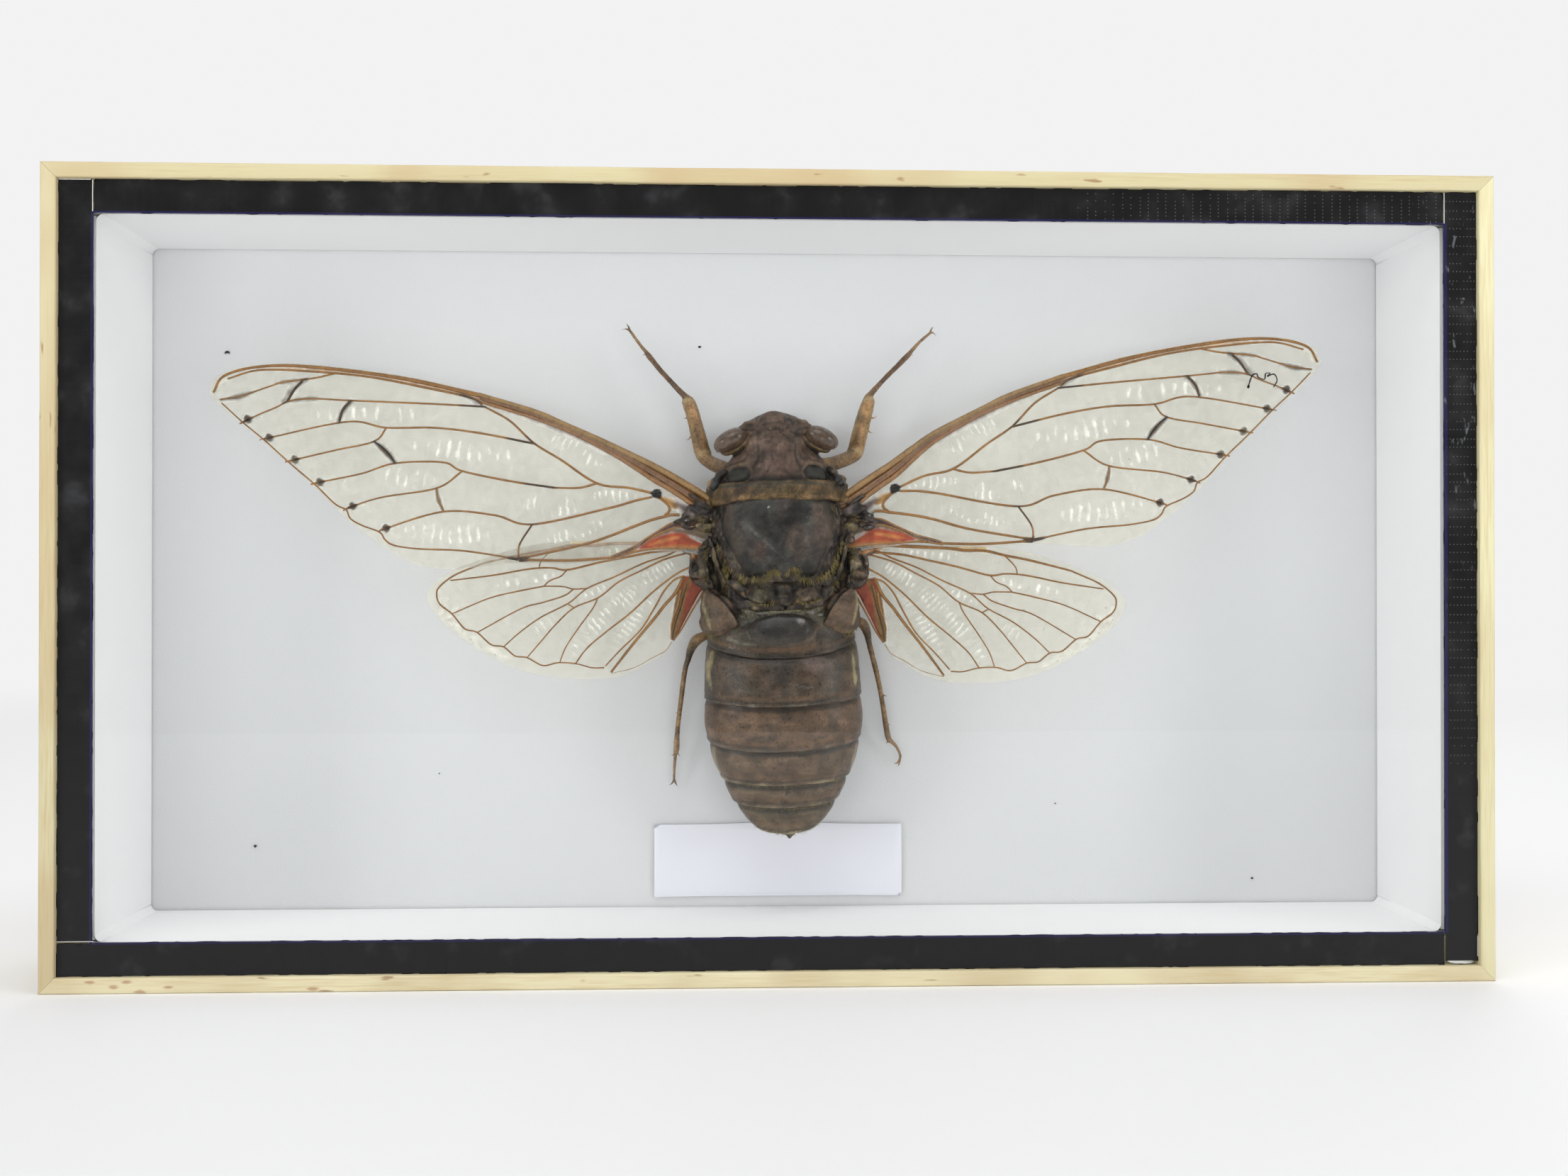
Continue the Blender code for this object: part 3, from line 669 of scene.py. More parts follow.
class Skin:
    """The surface of a piece while it is carved and painted, before it is put in its place."""

    def __init__(self, obj: bpy.types.Object, plan: Points, base: Colour, cover: float = 1.0) -> None:
        """Take the surface up.

        Args:
            obj: the piece, in millimetres, in the insect's or the wing's frame.
            plan: where each of its points is on the drawing.
            base: its colour before anything is painted.
            cover: how dense the colour is, from 0 for clear to 1.
        """
        self.obj = obj
        self.plan = plan
        self.points = read_points(obj)
        self.height = np.zeros(len(plan))
        self.colour = np.tile(np.array(base, float), (len(plan), 1))
        self.cover = np.full(len(plan), cover)

    def mark(self, strokes: Sequence[Stroke], reach: Points | float = 1.0) -> None:
        """Carve and paint strokes where reach is above zero."""
        for stroke in strokes:
            line = np.asarray(stroke.line, float)
            if len(line) > 2:
                line = line_through(line, max(0.4, stroke.width / 2), closed=stroke.filled)
            margin = stroke.width * 1.5 + 0.5
            low, high = line.min(axis=0) - margin, line.max(axis=0) + margin
            near = np.flatnonzero(((self.plan > low) & (self.plan < high)).all(axis=1))
            if not len(near):
                continue
            spots = self.plan[near]
            if stroke.filled:
                edge = np.vstack([line, line[:1]])
                gap, _ = nearest(spots, edge)
                gap = np.where(inside(spots, line), -gap, gap)
            else:
                gap, share = nearest(spots, line)
                gap = gap - stroke.width / 2 * (0.55 + 0.45 * np.sin(np.pi * np.clip(share, 0.04, 0.96)))
            gap = gap + stroke.ragged * cloudy(spots, 1.6, 3, 5)
            soft = max(0.12, stroke.width * (0.5 if stroke.filled else 0.35))
            mask = (1.0 - eased(-soft, soft, gap)) * (reach[near] if isinstance(reach, np.ndarray) else reach)
            self.height[near] += stroke.height * mask
            if stroke.tint is not None:
                share = (mask * stroke.strength)[:, None]
                self.colour[near] = self.colour[near] * (1 - share) + np.array(stroke.tint) * share
                self.cover[near] = np.maximum(self.cover[near], share[:, 0])

    def roughen(self, size: float, height: float, seed: int = 0, octaves: int = 3, shade: float = 0.0,
                squeeze: Place = (1.0, 1.0, 1.0)) -> None:
        """Add a soft unevenness, with painted shade in its hollows and painted light on its bumps.

        Args:
            size: how large the largest bumps are.
            height: how high they are.
            seed: chooses the pattern.
            octaves: how many finer layers are added.
            shade: how strong the painted shade in the hollows and the painted light on the bumps are.
            squeeze: how much shorter the bumps are in each direction.
        """
        bumps = cloudy(self.points * squeeze, size, octaves, seed)
        self.height += height * bumps
        # Painted shade and light: darker in the hollows, lighter on the bumps.
        self.colour *= 1.0 + shade * np.clip(1.6 * bumps, -1.0, 1.0)[:, None]

    def vary(self, size: float, tint: Colour, strength: float, seed: int = 0, low: float = 0.05) -> None:
        """Blend another colour in, in cloudy patches."""
        share = (eased(low, low + 0.35, cloudy(self.points, size, 4, seed)) * strength)[:, None]
        self.colour = self.colour * (1 - share) + np.array(tint) * share

    def settle(self, place: Matrix, material: bpy.types.Material) -> bpy.types.Object:
        """Move the surface by what was carved, paint it, and put the piece in its place.

        Args:
            place: turns the drawing's millimetres into the row's metres.
            material: the finish.

        Returns:
            The finished piece.
        """
        mesh = self.obj.data
        write_points(self.obj, self.points + read_normals(self.obj) * self.height[:, None])
        layer = mesh.color_attributes.new("tint", "FLOAT_COLOR", "POINT")
        painted = np.hstack([np.clip(self.colour, 0.0, 1.0), self.cover[:, None]])
        layer.data.foreach_set("color", painted.astype(np.float32).ravel())
        mesh.transform(place)
        if place.is_negative:
            mesh.flip_normals()
        mesh.shade_smooth()
        mesh.materials.clear()
        mesh.materials.append(material)
        return self.obj


def hand_over(piece: bpy.types.Object, slot: str, *nodes: str) -> None:
    """Let a piece ride on the box and stand for its nodes."""
    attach(piece, ROOT)
    if nodes:
        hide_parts(*nodes)
    log.info("%s: %d faces", piece.name, len(piece.data.polygons))


# The box

@dataclass
class PineBox:
    """The wooden rails, mitred and lightly rounded."""

    thickness: float = 0.0068
    lip: float = 0.0026
    pocket: float = 0.0038
    mitre_gap: float = 0.000015
    edge: float = 0.00035
    wear: float = 0.00006
    spare: float = 0.001
    cut_step: float = 0.004

    def build(self) -> None:
        """Build and dress the four rails."""
        low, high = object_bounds()
        # The rails' colours differ as painted light and shade: lighter on the bottom and right rails, darker
        # on the top and left ones.
        finishes = (PineFinish("top", Grain.LEVEL, (0.57, 0.51, 0.31), (0.49, 0.4, 0.22), 0.85),
                    PineFinish("bottom", Grain.LEVEL, (0.72, 0.66, 0.44), (0.62, 0.52, 0.31), 0.5,
                               ((-105.8, 2), (-107.9, 1.1), (-99.1, 1), (-103.6, 0.4), (-76, 0.6),
                                (-111.6, 1.9))),
                    PineFinish("left", Grain.UPRIGHT, (0.6, 0.54, 0.34), (0.52, 0.43, 0.23), 0.6),
                    PineFinish("right", Grain.UPRIGHT, (0.7, 0.66, 0.42), (0.6, 0.52, 0.29), 0.4))
        for finish in finishes:
            rail = self.rail(finish.name, finish.grain is Grain.LEVEL, Vector(low), Vector(high))
            rail.data.materials.append(finish.material())
            hand_over(rail, "pine", f"rail_{finish.name}")

    def rail(self, name: str, level: bool, low: Vector, high: Vector) -> bpy.types.Object:
        """One rail: a bar with a rabbet, cut at its mitres and rounded along its edges.

        Args:
            name: which side of the box it is.
            level: whether it lies across.
            low: the box's lowest corner.
            high: the box's highest corner.

        Returns:
            The rail.
        """
        inwards = {"top": (0, 0, -1), "bottom": (0, 0, 1), "left": (1, 0, 0), "right": (-1, 0, 0)}[name]
        axis = 2 if level else 0
        first, last = list(low), list(high)
        rebate_first, rebate_last = list(low), list(high)
        rebate_first[1], rebate_last[1] = low[1] - self.spare, low[1] + self.pocket
        if inwards[axis] > 0:
            last[axis] = first[axis] + self.thickness
            rebate_first[axis], rebate_last[axis] = low[axis] + self.lip, last[axis] + self.spare
        else:
            first[axis] = last[axis] - self.thickness
            rebate_first[axis], rebate_last[axis] = first[axis] - self.spare, high[axis] - self.lip
        for spot, way in ((first, -1), (last, 1), (rebate_first, -2), (rebate_last, 2)):
            spot[0 if level else 2] += way * self.spare
        rail = box_piece(f"pine_rail_{name}", first, last)
        cutter = box_piece("rebate", rebate_first, rebate_last)
        applied(rail, "BOOLEAN", object=cutter, operation="DIFFERENCE", solver="EXACT")
        bpy.data.objects.remove(cutter)
        applied(rail, "BEVEL", width=self.edge, segments=3, limit_method="ANGLE",
                angle_limit=math.radians(40), use_clamp_overlap=True)
        self.cut_mitres(rail, Vector(inwards), low, high)
        self.divide(rail, 0 if level else 2)
        points = read_points(rail)
        wear = np.stack([cloudy(points, 0.006, 2, seed) for seed in (3, 4, 5)], axis=1) * self.wear
        wear[:, 1] = np.maximum(wear[:, 1], 0.0) * (points[:, 1] < low[1] + 0.002)
        middle = (np.array(low) + np.array(high)) / 2
        inward = -np.sign(points - middle) * np.abs(wear)
        inward[:, 1] = wear[:, 1]
        write_points(rail, points + inward)
        smoothed(rail)
        return rail

    def cut_mitres(self, rail: bpy.types.Object, inwards: Vector, low: Vector, high: Vector) -> None:
        """Cut both ends of a rail at 45 degrees."""
        along = Vector((1, 0, 0)) if inwards.z else Vector((0, 0, 1))
        corner = Vector([b if s < 0 else a for a, b, s in zip(low, high, inwards)])
        for sign in (-1, 1):
            end = corner.copy()
            axis = 0 if along.x else 2
            end[axis] = high[axis] if sign > 0 else low[axis]
            normal = (along * sign + inwards).normalized()
            only(rail)
            bpy.ops.object.mode_set(mode="EDIT")
            bpy.ops.mesh.select_all(action="SELECT")
            bpy.ops.mesh.bisect(plane_co=end - normal * self.mitre_gap, plane_no=normal, use_fill=True,
                                clear_outer=True)
            bpy.ops.object.mode_set(mode="OBJECT")

    def divide(self, rail: bpy.types.Object, axis: int) -> None:
        """Cut a rail across at short distances, so that its long faces can be uneven."""
        low, high = (read_points(rail)[:, axis].min(), read_points(rail)[:, axis].max())
        normal = [0.0, 0.0, 0.0]
        normal[axis] = 1.0
        only(rail)
        bpy.ops.object.mode_set(mode="EDIT")
        for i in range(1, int((high - low) / self.cut_step)):
            at = [0.0, 0.0, 0.0]
            at[axis] = low + i * self.cut_step
            bpy.ops.mesh.select_all(action="SELECT")
            bpy.ops.mesh.bisect(plane_co=at, plane_no=normal)
        bpy.ops.object.mode_set(mode="OBJECT")


@dataclass
class TapeRim:
    """The black tape on the rim of the glass, embossed with rows of dots across its width."""

    row_steps: Spot = (0.00135, 0.0016)
    dot_step: float = 0.0006
    dot_radius: float = 0.00012
    dot_height: float = 0.00009
    pressed_flat: float = 0.35
    mesh_step: float = 0.0004
    wave: float = 0.00002
    front_room: float = 0.00012
    cut_short: float = 0.0005
    overlap: float = 0.00035
    paper: float = 0.00012
    paper_length: float = 0.0052
    paper_depth: float = 0.00006
    edge_widths: tuple[float, float, float] = (0.0002, 0.00028, 0.00045)
    edge_overlap: float = 0.0001
    edge_depth: float = 0.00007
    core: float = 0.6
    faces_across: int = 8
    end_margin: float = 0.0004
    missing: float = 0.12

    def build(self) -> None:
        """Build and dress the four strips."""
        plain = TapeFinish().material()
        bright = TapeFinish("worn_tape_dots", (0.07, 0.072, 0.075), (0.15, 0.155, 0.16)).material()
        for name in ("top", "bottom", "left", "right"):
            hand_over(self.strip(name, plain, bright), "tape", f"tape_{name}")
        self.paper_edges()

    def reach(self, name: str) -> tuple[Points, Points]:
        """The two corners of a strip, which covers the edges of the card walls."""
        low, high = (np.array(v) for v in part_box(f"tape_{name}"))
        if name != "left":
            sideways = -self.overlap if name == "right" else 0.0
            low[0] += self.overlap if name == "top" else sideways
        if name != "right":
            high[0] += self.overlap if name == "left" else -self.overlap
        if name == "right":
            low[2] += self.cut_short
        return low, high

    def paper_edges(self) -> None:
        """White slivers of the tape's paper at the joints, the widest under the right strip's cut end."""
        low, high = self.reach("left")
        right_low, right_high = self.reach("right")
        front, half, length = low[1] + self.paper_depth, self.paper / 2, self.paper_length
        slivers = [
            ((low[0], high[2] - half), (high[0] - 0.0003, high[2] + half)),
            ((high[0] - half, high[2] - length), (high[0] + half, high[2])),
            ((low[0], low[2] - half), (high[0] + 0.0004, low[2] + half)),
            ((right_low[0] - half, right_high[2] - length), (right_low[0] + half, right_high[2])),
            ((right_high[0] - half, right_low[2] + 0.0008), (right_high[0] + half, right_low[2] + 0.0042)),
        ]
        back = front + self.paper
        parts = [box_piece("sliver", (a[0], front, a[1]), (b[0], back, b[1])) for a, b in slivers]

        def crescent(u: Points, v: Points) -> Points:
            """A sliver that is widest in its middle."""
            x = right_low[0] + 0.0002 + u * (right_high[0] - right_low[0] - 0.0006)
            z = right_low[2] - v * 0.00052 * np.sin(np.pi * u) ** 0.7 - 0.00003
            return np.stack([x, np.full_like(x, front), z], axis=1)

        end = shaped_grid("end", 24, 2, crescent)
        applied(end, "SOLIDIFY", thickness=0.0001, offset=-1.0)
        edges = joined("tape_paper_edges", parts + [end])
        self.inner_edges()
        paper = CardFinish("white_tape_paper", (0.62, 0.62, 0.59), (0.5, 0.5, 0.46), 0.00001)
        edges.data.materials.append(paper.material())
        hand_over(edges, "tape")

    def inner_edges(self) -> None:
        """The deep blue cut edges of the strips along the opening."""
        left, right = self.reach("left")[1][0], self.reach("right")[0][0]
        bottom, top = self.reach("bottom")[1][2], self.reach("top")[0][2]
        over, back = self.edge_overlap, self.reach("top")[1][1]
        front = self.reach("top")[0][1] + self.edge_depth
        level, at_left, at_right = self.edge_widths
        rims = [((left, top - over), (right, top + level)), ((left, bottom - level), (right, bottom + over)),
                ((left - at_left, bottom), (left + over, top)),
                ((right - over, bottom), (right + at_right, top))]
        parts = [box_piece("edge", (low[0], front, low[1]), (high[0], back, high[1])) for low, high in rims]
        edges = joined("tape_cut_edges", parts)
        finish = TapeFinish("deep_blue_tape_edge", (0.011, 0.01, 0.05), (0.03, 0.03, 0.09))
        edges.data.materials.append(finish.material())
        hand_over(edges, "tape")

    def strip(self, name: str, plain: bpy.types.Material, bright: bpy.types.Material) -> bpy.types.Object:
        """One strip, with its dots and its slightly uneven face."""
        low, high = self.reach(name)
        along, across = (0, 2) if name in ("top", "bottom") else (2, 0)
        length, width = high[along] - low[along], high[across] - low[across]

        def place(u: Points, v: Points) -> Points:
            """A point of the strip's front face."""
            spots = np.zeros((len(u), 3))
            spots[:, along] = low[along] + u * length
            spots[:, across] = low[across] + v * width
            spots[:, 1] = low[1] + self.front_room + np.abs(cloudy(spots, 0.004, 2, 11)) * self.wave
            return spots

        face = shaped_grid("face", int(length / self.mesh_step), self.faces_across, place)
        applied(face, "SOLIDIFY", thickness=float(high[1] - low[1]) * self.core, offset=-1.0)
        points = read_points(face)
        points[:, 1] -= max(0.0, points[:, 1].max() - high[1])
        write_points(face, points)
        dots = self.dots(low, high, along, across, place)
        face.data.materials.append(plain)
        for material in (plain, bright):
            dots.data.materials.append(material)
        strip = joined(f"embossed_tape_{name}", [face, dots])
        smoothed(strip, 35.0)
        return strip

    def dots(self, low: Points, high: Points, along: int, across: int,
             place: Callable[[Points, Points], Points]) -> bpy.types.Object:
        """The embossed dots of one strip: low mounds, pressed flat except towards the upper right."""
        length, width = high[along] - low[along], high[across] - low[across]
        spots, at, i = [], self.row_steps[0] / 2, 0
        while at < length - self.end_margin:
            count = int(width / self.dot_step)
            for k in range(count):
                spots.append((at / length, (k + 0.6) * self.dot_step / width))
            at += self.row_steps[i % 2]
            i += 1
        shares = np.array(spots)
        shares = shares[lattice(np.round(np.hstack([shares * 1e4, shares[:, :1]])), 7) > self.missing]
        centres = place(shares[:, 0], np.clip(shares[:, 1], 0.07, 0.93))
        fresh = eased(0.03, 0.08, centres[:, 0]) * eased(0.02, 0.06, centres[:, 2])
        rises = self.dot_height * (self.pressed_flat + (1 - self.pressed_flat) * fresh)
        rises = rises * (0.75 + 0.5 * cloudy(centres, 0.006, 2, 12))
        points, faces = [], []
        rings = ((1.0, 0.0), (0.6, 0.75))
        sides = 6
        for size, rise in rings:
            for k in range(sides):
                turn = 2 * math.pi * k / sides
                shift = np.zeros_like(centres)
                shift[:, along] = math.cos(turn) * size * self.dot_radius
                shift[:, across] = math.sin(turn) * size * self.dot_radius
                shift[:, 1] = 0.00001 - rise * rises
                points.append(centres + shift)
        points.append(centres - np.outer(rises, (0, 1, 0)))
        stacked = np.stack(points, axis=1).reshape(-1, 3)
        count = len(points)
        for i in range(len(centres)):
            base = count * i
            for k in range(sides):
                j = (k + 1) % sides
                faces.append((base + k, base + j, base + sides + j, base + sides + k))
                faces.append((base + sides + k, base + sides + j, base + 2 * sides))
            faces.append(tuple(base + k for k in reversed(range(sides))))
        obj = raw_mesh("dots", stacked, faces)
        worn = np.repeat((fresh * (1.0 - 0.5 * lattice(np.round(centres * 1e5), 8)) > 0.3).astype(np.int32),
                         2 * sides + 1)
        obj.data.polygons.foreach_set("material_index", worn)
        mend(obj, 1e-7)
        return obj


@dataclass
class Inside:
    """What lies behind the wood: glass, card walls, board, back and the blank label."""

    label_curl: float = 0.00018
    label_thickness: float = 0.00022
    fold: float = 0.0012

    def build(self) -> None:
        """Dress the flat pieces and build the label and the dust."""
        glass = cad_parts["glass_pane"]
        self.dress("glass_pane", GlassFinish().material())
        glass.visible_shadow = False
        lining = CardFinish("white_card_lining", (0.935, 0.932, 0.935), (0.955, 0.95, 0.955)).material()
        for name in ("lining_top", "lining_bottom", "lining_left", "lining_right"):
            self.dress(name, lining)
        board = CardFinish("cool_white_board", (0.67, 0.672, 0.682), (0.64, 0.645, 0.66), 0.00006)
        self.dress("mounting_board", board.material())
        self.dress("back_panel", HardboardFinish().material())
        self.folds(lining)
        self.label()
        self.dust()

    def dress(self, node: str, material: bpy.types.Material) -> None:
        """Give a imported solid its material."""
        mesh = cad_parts[node].data
        mesh.materials.clear()
        mesh.materials.append(material)
        log.info("%s: dressed", node)

    def folds(self, material: bpy.types.Material) -> None:
        """The soft folds of the lining where its walls meet."""
        low, high = (np.array(v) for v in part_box("lining_left"))
        far = np.array(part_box("lining_right")[0])
        floor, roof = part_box("lining_bottom")[1].z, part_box("lining_top")[0].z
        parts = []
        for x, z in ((high[0], floor), (high[0], roof), (far[0], floor), (far[0], roof)):
            inwards = np.array((1 if x < 0 else -1, 1 if z == floor else -1))
            middle = np.array((x, z)) + self.fold * inwards

            def place(u: Points, v: Points, middle: Points = middle, x: float = x, z: float = z) -> Points:
                """A hollow quarter round, tangent to both walls."""
                turn = np.pi / 2 * v
                out = np.sign(x - middle[0]) * np.cos(turn), np.sign(z - middle[1]) * np.sin(turn)
                return np.stack([middle[0] + out[0] * self.fold, low[1] + u * (high[1] - low[1]),
                                 middle[1] + out[1] * self.fold], axis=1)

            part = shaped_grid("fold", 4, 12, place)
            applied(part, "SOLIDIFY", thickness=0.00002, offset=0.0)
            parts.append(part)
        folds = joined("lining_folds", parts)
        smoothed(folds)
        folds.data.materials.append(material)
        hand_over(folds, "lining")

    def label(self) -> None:
        """The blank card, a little curled."""
        low, high = (np.array(v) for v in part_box("label_card"))

        def place(u: Points, v: Points) -> Points:
            """A gently curled sheet in front of the board."""
            curl = self.label_curl * (2 * u - 1) ** 4 * (0.4 + 0.6 * v)
            return np.stack([low[0] + u * (high[0] - low[0]), high[1] - self.label_thickness - curl,
                             low[2] + v * (high[2] - low[2])], axis=1)

        label = shaped_grid("blank_label", 60, 20, place)
        applied(label, "SOLIDIFY", thickness=self.label_thickness, offset=-1.0)
        smoothed(label)
        paper = CardFinish("blank_white_label", (0.77, 0.77, 0.83), (0.75, 0.75, 0.81), 0.00002)
        label.data.materials.append(paper.material())
        hand_over(label, "card", "label_card")

    def dust(self) -> None:
        """Crumbs that have settled on the board."""
        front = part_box("mounting_board")[0].y
        crumbs = {
            (-0.099, 0.1087): (0.00022, 0.0009), (-0.0135, 0.1101): (0.0002, 0.0004),
            (-0.0938, 0.0192): (0.0003, 0.0004), (0.0888, 0.0122): (0.0002, 0.0003),
            (-0.0608, 0.0322): (0.00012, 0.0002), (0.0521, 0.0262): (0.00012, 0.0002),
        }
        runs = []
        for i, ((x, z), (radius, length)) in enumerate(crumbs.items()):
            t = np.linspace(-1.0, 1.0, 7)[:, None]
            sag = 0.5 if i % 2 else -0.4
            bend = np.hstack([t * length * 0.5, np.zeros_like(t), (t ** 2) * length * sag])
            points = np.array([x, front - radius, z]) + bend
            runs.append((points, radius * np.sqrt(1.02 - t[:, 0] ** 2)))
        crumb = tubes("dust_crumbs", runs)
        skin = Skin(crumb, read_points(crumb)[:, [0, 2]], (0.03, 0.03, 0.028))
        skin.height = cloudy(skin.points, 0.0002, 2, 3) * 0.00005
        skin.settle(Matrix.Identity(4), ShellFinish("dark_dust", 0.8).material())
        hand_over(crumb, "board")


# The insect's colours

UMBER: Colour = (0.07, 0.048, 0.036)
RUSSET: Colour = (0.098, 0.063, 0.047)
DIM_BROWN: Colour = (0.05, 0.04, 0.032)
CHARCOAL: Colour = (0.033, 0.03, 0.026)
PITCH: Colour = (0.008, 0.0075, 0.007)
OLIVE_BLACK: Colour = (0.026, 0.028, 0.022)
TAN: Colour = (0.16, 0.1, 0.05)
CREAM: Colour = (0.33, 0.28, 0.17)
AMBER: Colour = (0.38, 0.19, 0.05)
VEIN_BROWN: Colour = (0.23, 0.112, 0.036)
VEIN_DARK: Colour = (0.045, 0.03, 0.02)
RED: Colour = (0.3, 0.057, 0.028)
DEEP_RED: Colour = (0.2, 0.044, 0.022)
HAZE: Colour = (0.95, 0.95, 0.9)

Section = tuple[float, float, float, float, float]
HEAD_FRONT = (-0.19, 0.0, 96.7)
BODY_LEAN = 1.76


def body_place() -> Matrix:
    """Turns the insect's own millimetres into the row's metres."""
    turn = Matrix.Rotation(-math.radians(BODY_LEAN), 4, "Y")
    return Matrix.Translation(Vector(HEAD_FRONT) * MM) @ turn @ Matrix.Scale(MM, 4)


def on_body(across: Points, back: Points, up: Points) -> Points:
    """Places on the body, in its own millimetres: across, back from the head, and up to the glass."""
    return np.stack([across, -np.asarray(up), -np.asarray(back)], axis=1)


def body_plan(obj: bpy.types.Object) -> Points:
    """Where each point of a piece is, across and back."""
    return read_points(obj)[:, [0, 2]] * (1.0, -1.0)


@dataclass
class Plate:
    """A closed part of the shell, lofted through cross-sections of the body.

    Each section has the distance from the front of the head, the half width, the heights above and
    below the wings' plane, and how far the middle of the back reaches past the sides.
    """

    name: str
    sections: Sequence[Section]
    sides: int = 220
    step: float = 0.28
    square: float = 1.0
    rear_edge: Sequence[Spot] = ()

    def shape(self) -> bpy.types.Object:
        """The bare loft, in the body's millimetres."""
        profile = line_through(self.sections, self.step)
        rows = len(profile) - 1
        first, last = self.sections[0][0], self.sections[-1][0]

        def place(u: Points, v: Points) -> Points:
            """A point of the loft from its share around and its share along."""
            back, half, above, below, bow = profile[np.rint(v * rows).astype(int)].T
            turn = 2 * np.pi * u
            cos, sin = np.cos(turn), np.sin(turn)
            across = half * np.sign(cos) * np.abs(cos) ** self.square
            up = np.where(sin > 0, above, below) * np.sign(sin) * np.abs(sin) ** self.square
            back = back + bow * np.maximum(sin, 0.0)
            if self.rear_edge:
                share = (profile[np.rint(v * rows).astype(int), 0] - first) / (last - first)
                marks = np.array(self.rear_edge)
                reach = np.interp(across, marks[:, 0], marks[:, 1])
                back = back + reach * eased(0.45, 1.0, share) * np.maximum(sin, 0.0) ** 0.5
            return on_body(across, back, up)

        return shaped_grid(self.name, self.sides, rows, place)


@dataclass
class Coat:
    """What is carved and painted on a part of the shell."""

    base: Colour
    strokes: Sequence[Stroke]
    grain: float = 0.05
    shade: float = 0.3
    fine: float = 0.6
    finish: ShellFinish = ShellFinish("brown_shell")
    patches: Sequence[tuple[float, Colour, float, int]] = ()

    def dress(self, obj: bpy.types.Object) -> None:
        """Carve and paint a piece, and put it on the body."""
        skin = Skin(obj, body_plan(obj), self.base)
        for size, tint, strength, seed in self.patches:
            skin.vary(size, tint, strength, seed)
        reach = eased(-1.5, 1.0, -skin.points[:, 1])
        skin.mark(self.strokes, reach)
        skin.roughen(1.7, self.grain, 2, shade=self.shade)
        skin.roughen(self.fine, self.grain * 0.6, 17, 2, self.shade)
        skin.settle(body_place(), self.finish.material())
        hand_over(obj, "insect", "cicada")


def ball(name: str, middle: Place, half_sizes: Place, turn: float = 0.0, fine: int = 32,
         ) -> bpy.types.Object:
    """A round lump on the body.

    Args:
        name: the object's name.
        middle: its middle, across, back and up.
        half_sizes: its half sizes in the same directions.
        turn: degrees by which it is turned in the plane of the wings.
        fine: how many rings it has.

    Returns:
        The lump, in the body's millimetres.
    """
    bpy.ops.object.select_all(action="DESELECT")
    bpy.ops.mesh.primitive_uv_sphere_add(segments=fine * 3 // 2, ring_count=fine, radius=1.0)
    obj = named(name)
    across, back, up = half_sizes
    place = Matrix.Translation((middle[0], -middle[2], -middle[1]))
    turned = place @ Matrix.Rotation(math.radians(turn), 4, "Y")
    obj.data.transform(turned @ Matrix.Diagonal((across, up, back, 1.0)))
    return obj


def fused(name: str, parts: Sequence[bpy.types.Object], voxel: float, smooth: int = 4) -> bpy.types.Object:
    """Several lumps grown together into one closed skin."""
    obj = joined(name, parts)
    applied(obj, "REMESH", mode="VOXEL", voxel_size=voxel, adaptivity=0.0)
    if smooth:
        applied(obj, "SMOOTH", factor=0.5, iterations=smooth)
    return obj


def mirrored(strokes: Sequence[Stroke]) -> list[Stroke]:
    """The strokes and their images on the other side of the body."""
    return [*strokes, *(replace(stroke, line=[(-x, y) for x, y in stroke.line]) for stroke in strokes)]


def ring(middle: Spot, radii: Spot, turn: float = 0.0, count: int = 14) -> list[Spot]:
    """An ellipse as a closed line."""
    angles = np.linspace(0.0, 2 * np.pi, count, endpoint=False)
    x, y = radii[0] * np.cos(angles), radii[1] * np.sin(angles)
    c, s = math.cos(math.radians(turn)), math.sin(math.radians(turn))
    return [(middle[0] + float(a * c - b * s), middle[1] + float(a * s + b * c)) for a, b in zip(x, y)]


def groove(line: Sequence[Spot], width: float, depth: float, strength: float, ragged: float = 0) -> Stroke:
    """A dark groove."""
    return Stroke(line, width, -depth, PITCH, strength, ragged=ragged)


def stain(line: Sequence[Spot], width: float, tint: Colour, strength: float, ragged: float = 0) -> Stroke:
    """A flat painted band."""
    return Stroke(line, width, 0.0, tint, strength, ragged=ragged)


def blotch(middle: Spot, radii: Spot, edge: float, tint: Colour, strength: float, ragged: float = 0,
           height: float = 0, turn: float = 0) -> Stroke:
    """A filled oval, soft or ragged along its edge."""
    return Stroke(ring(middle, radii, turn), edge, height, tint, strength, True, ragged)


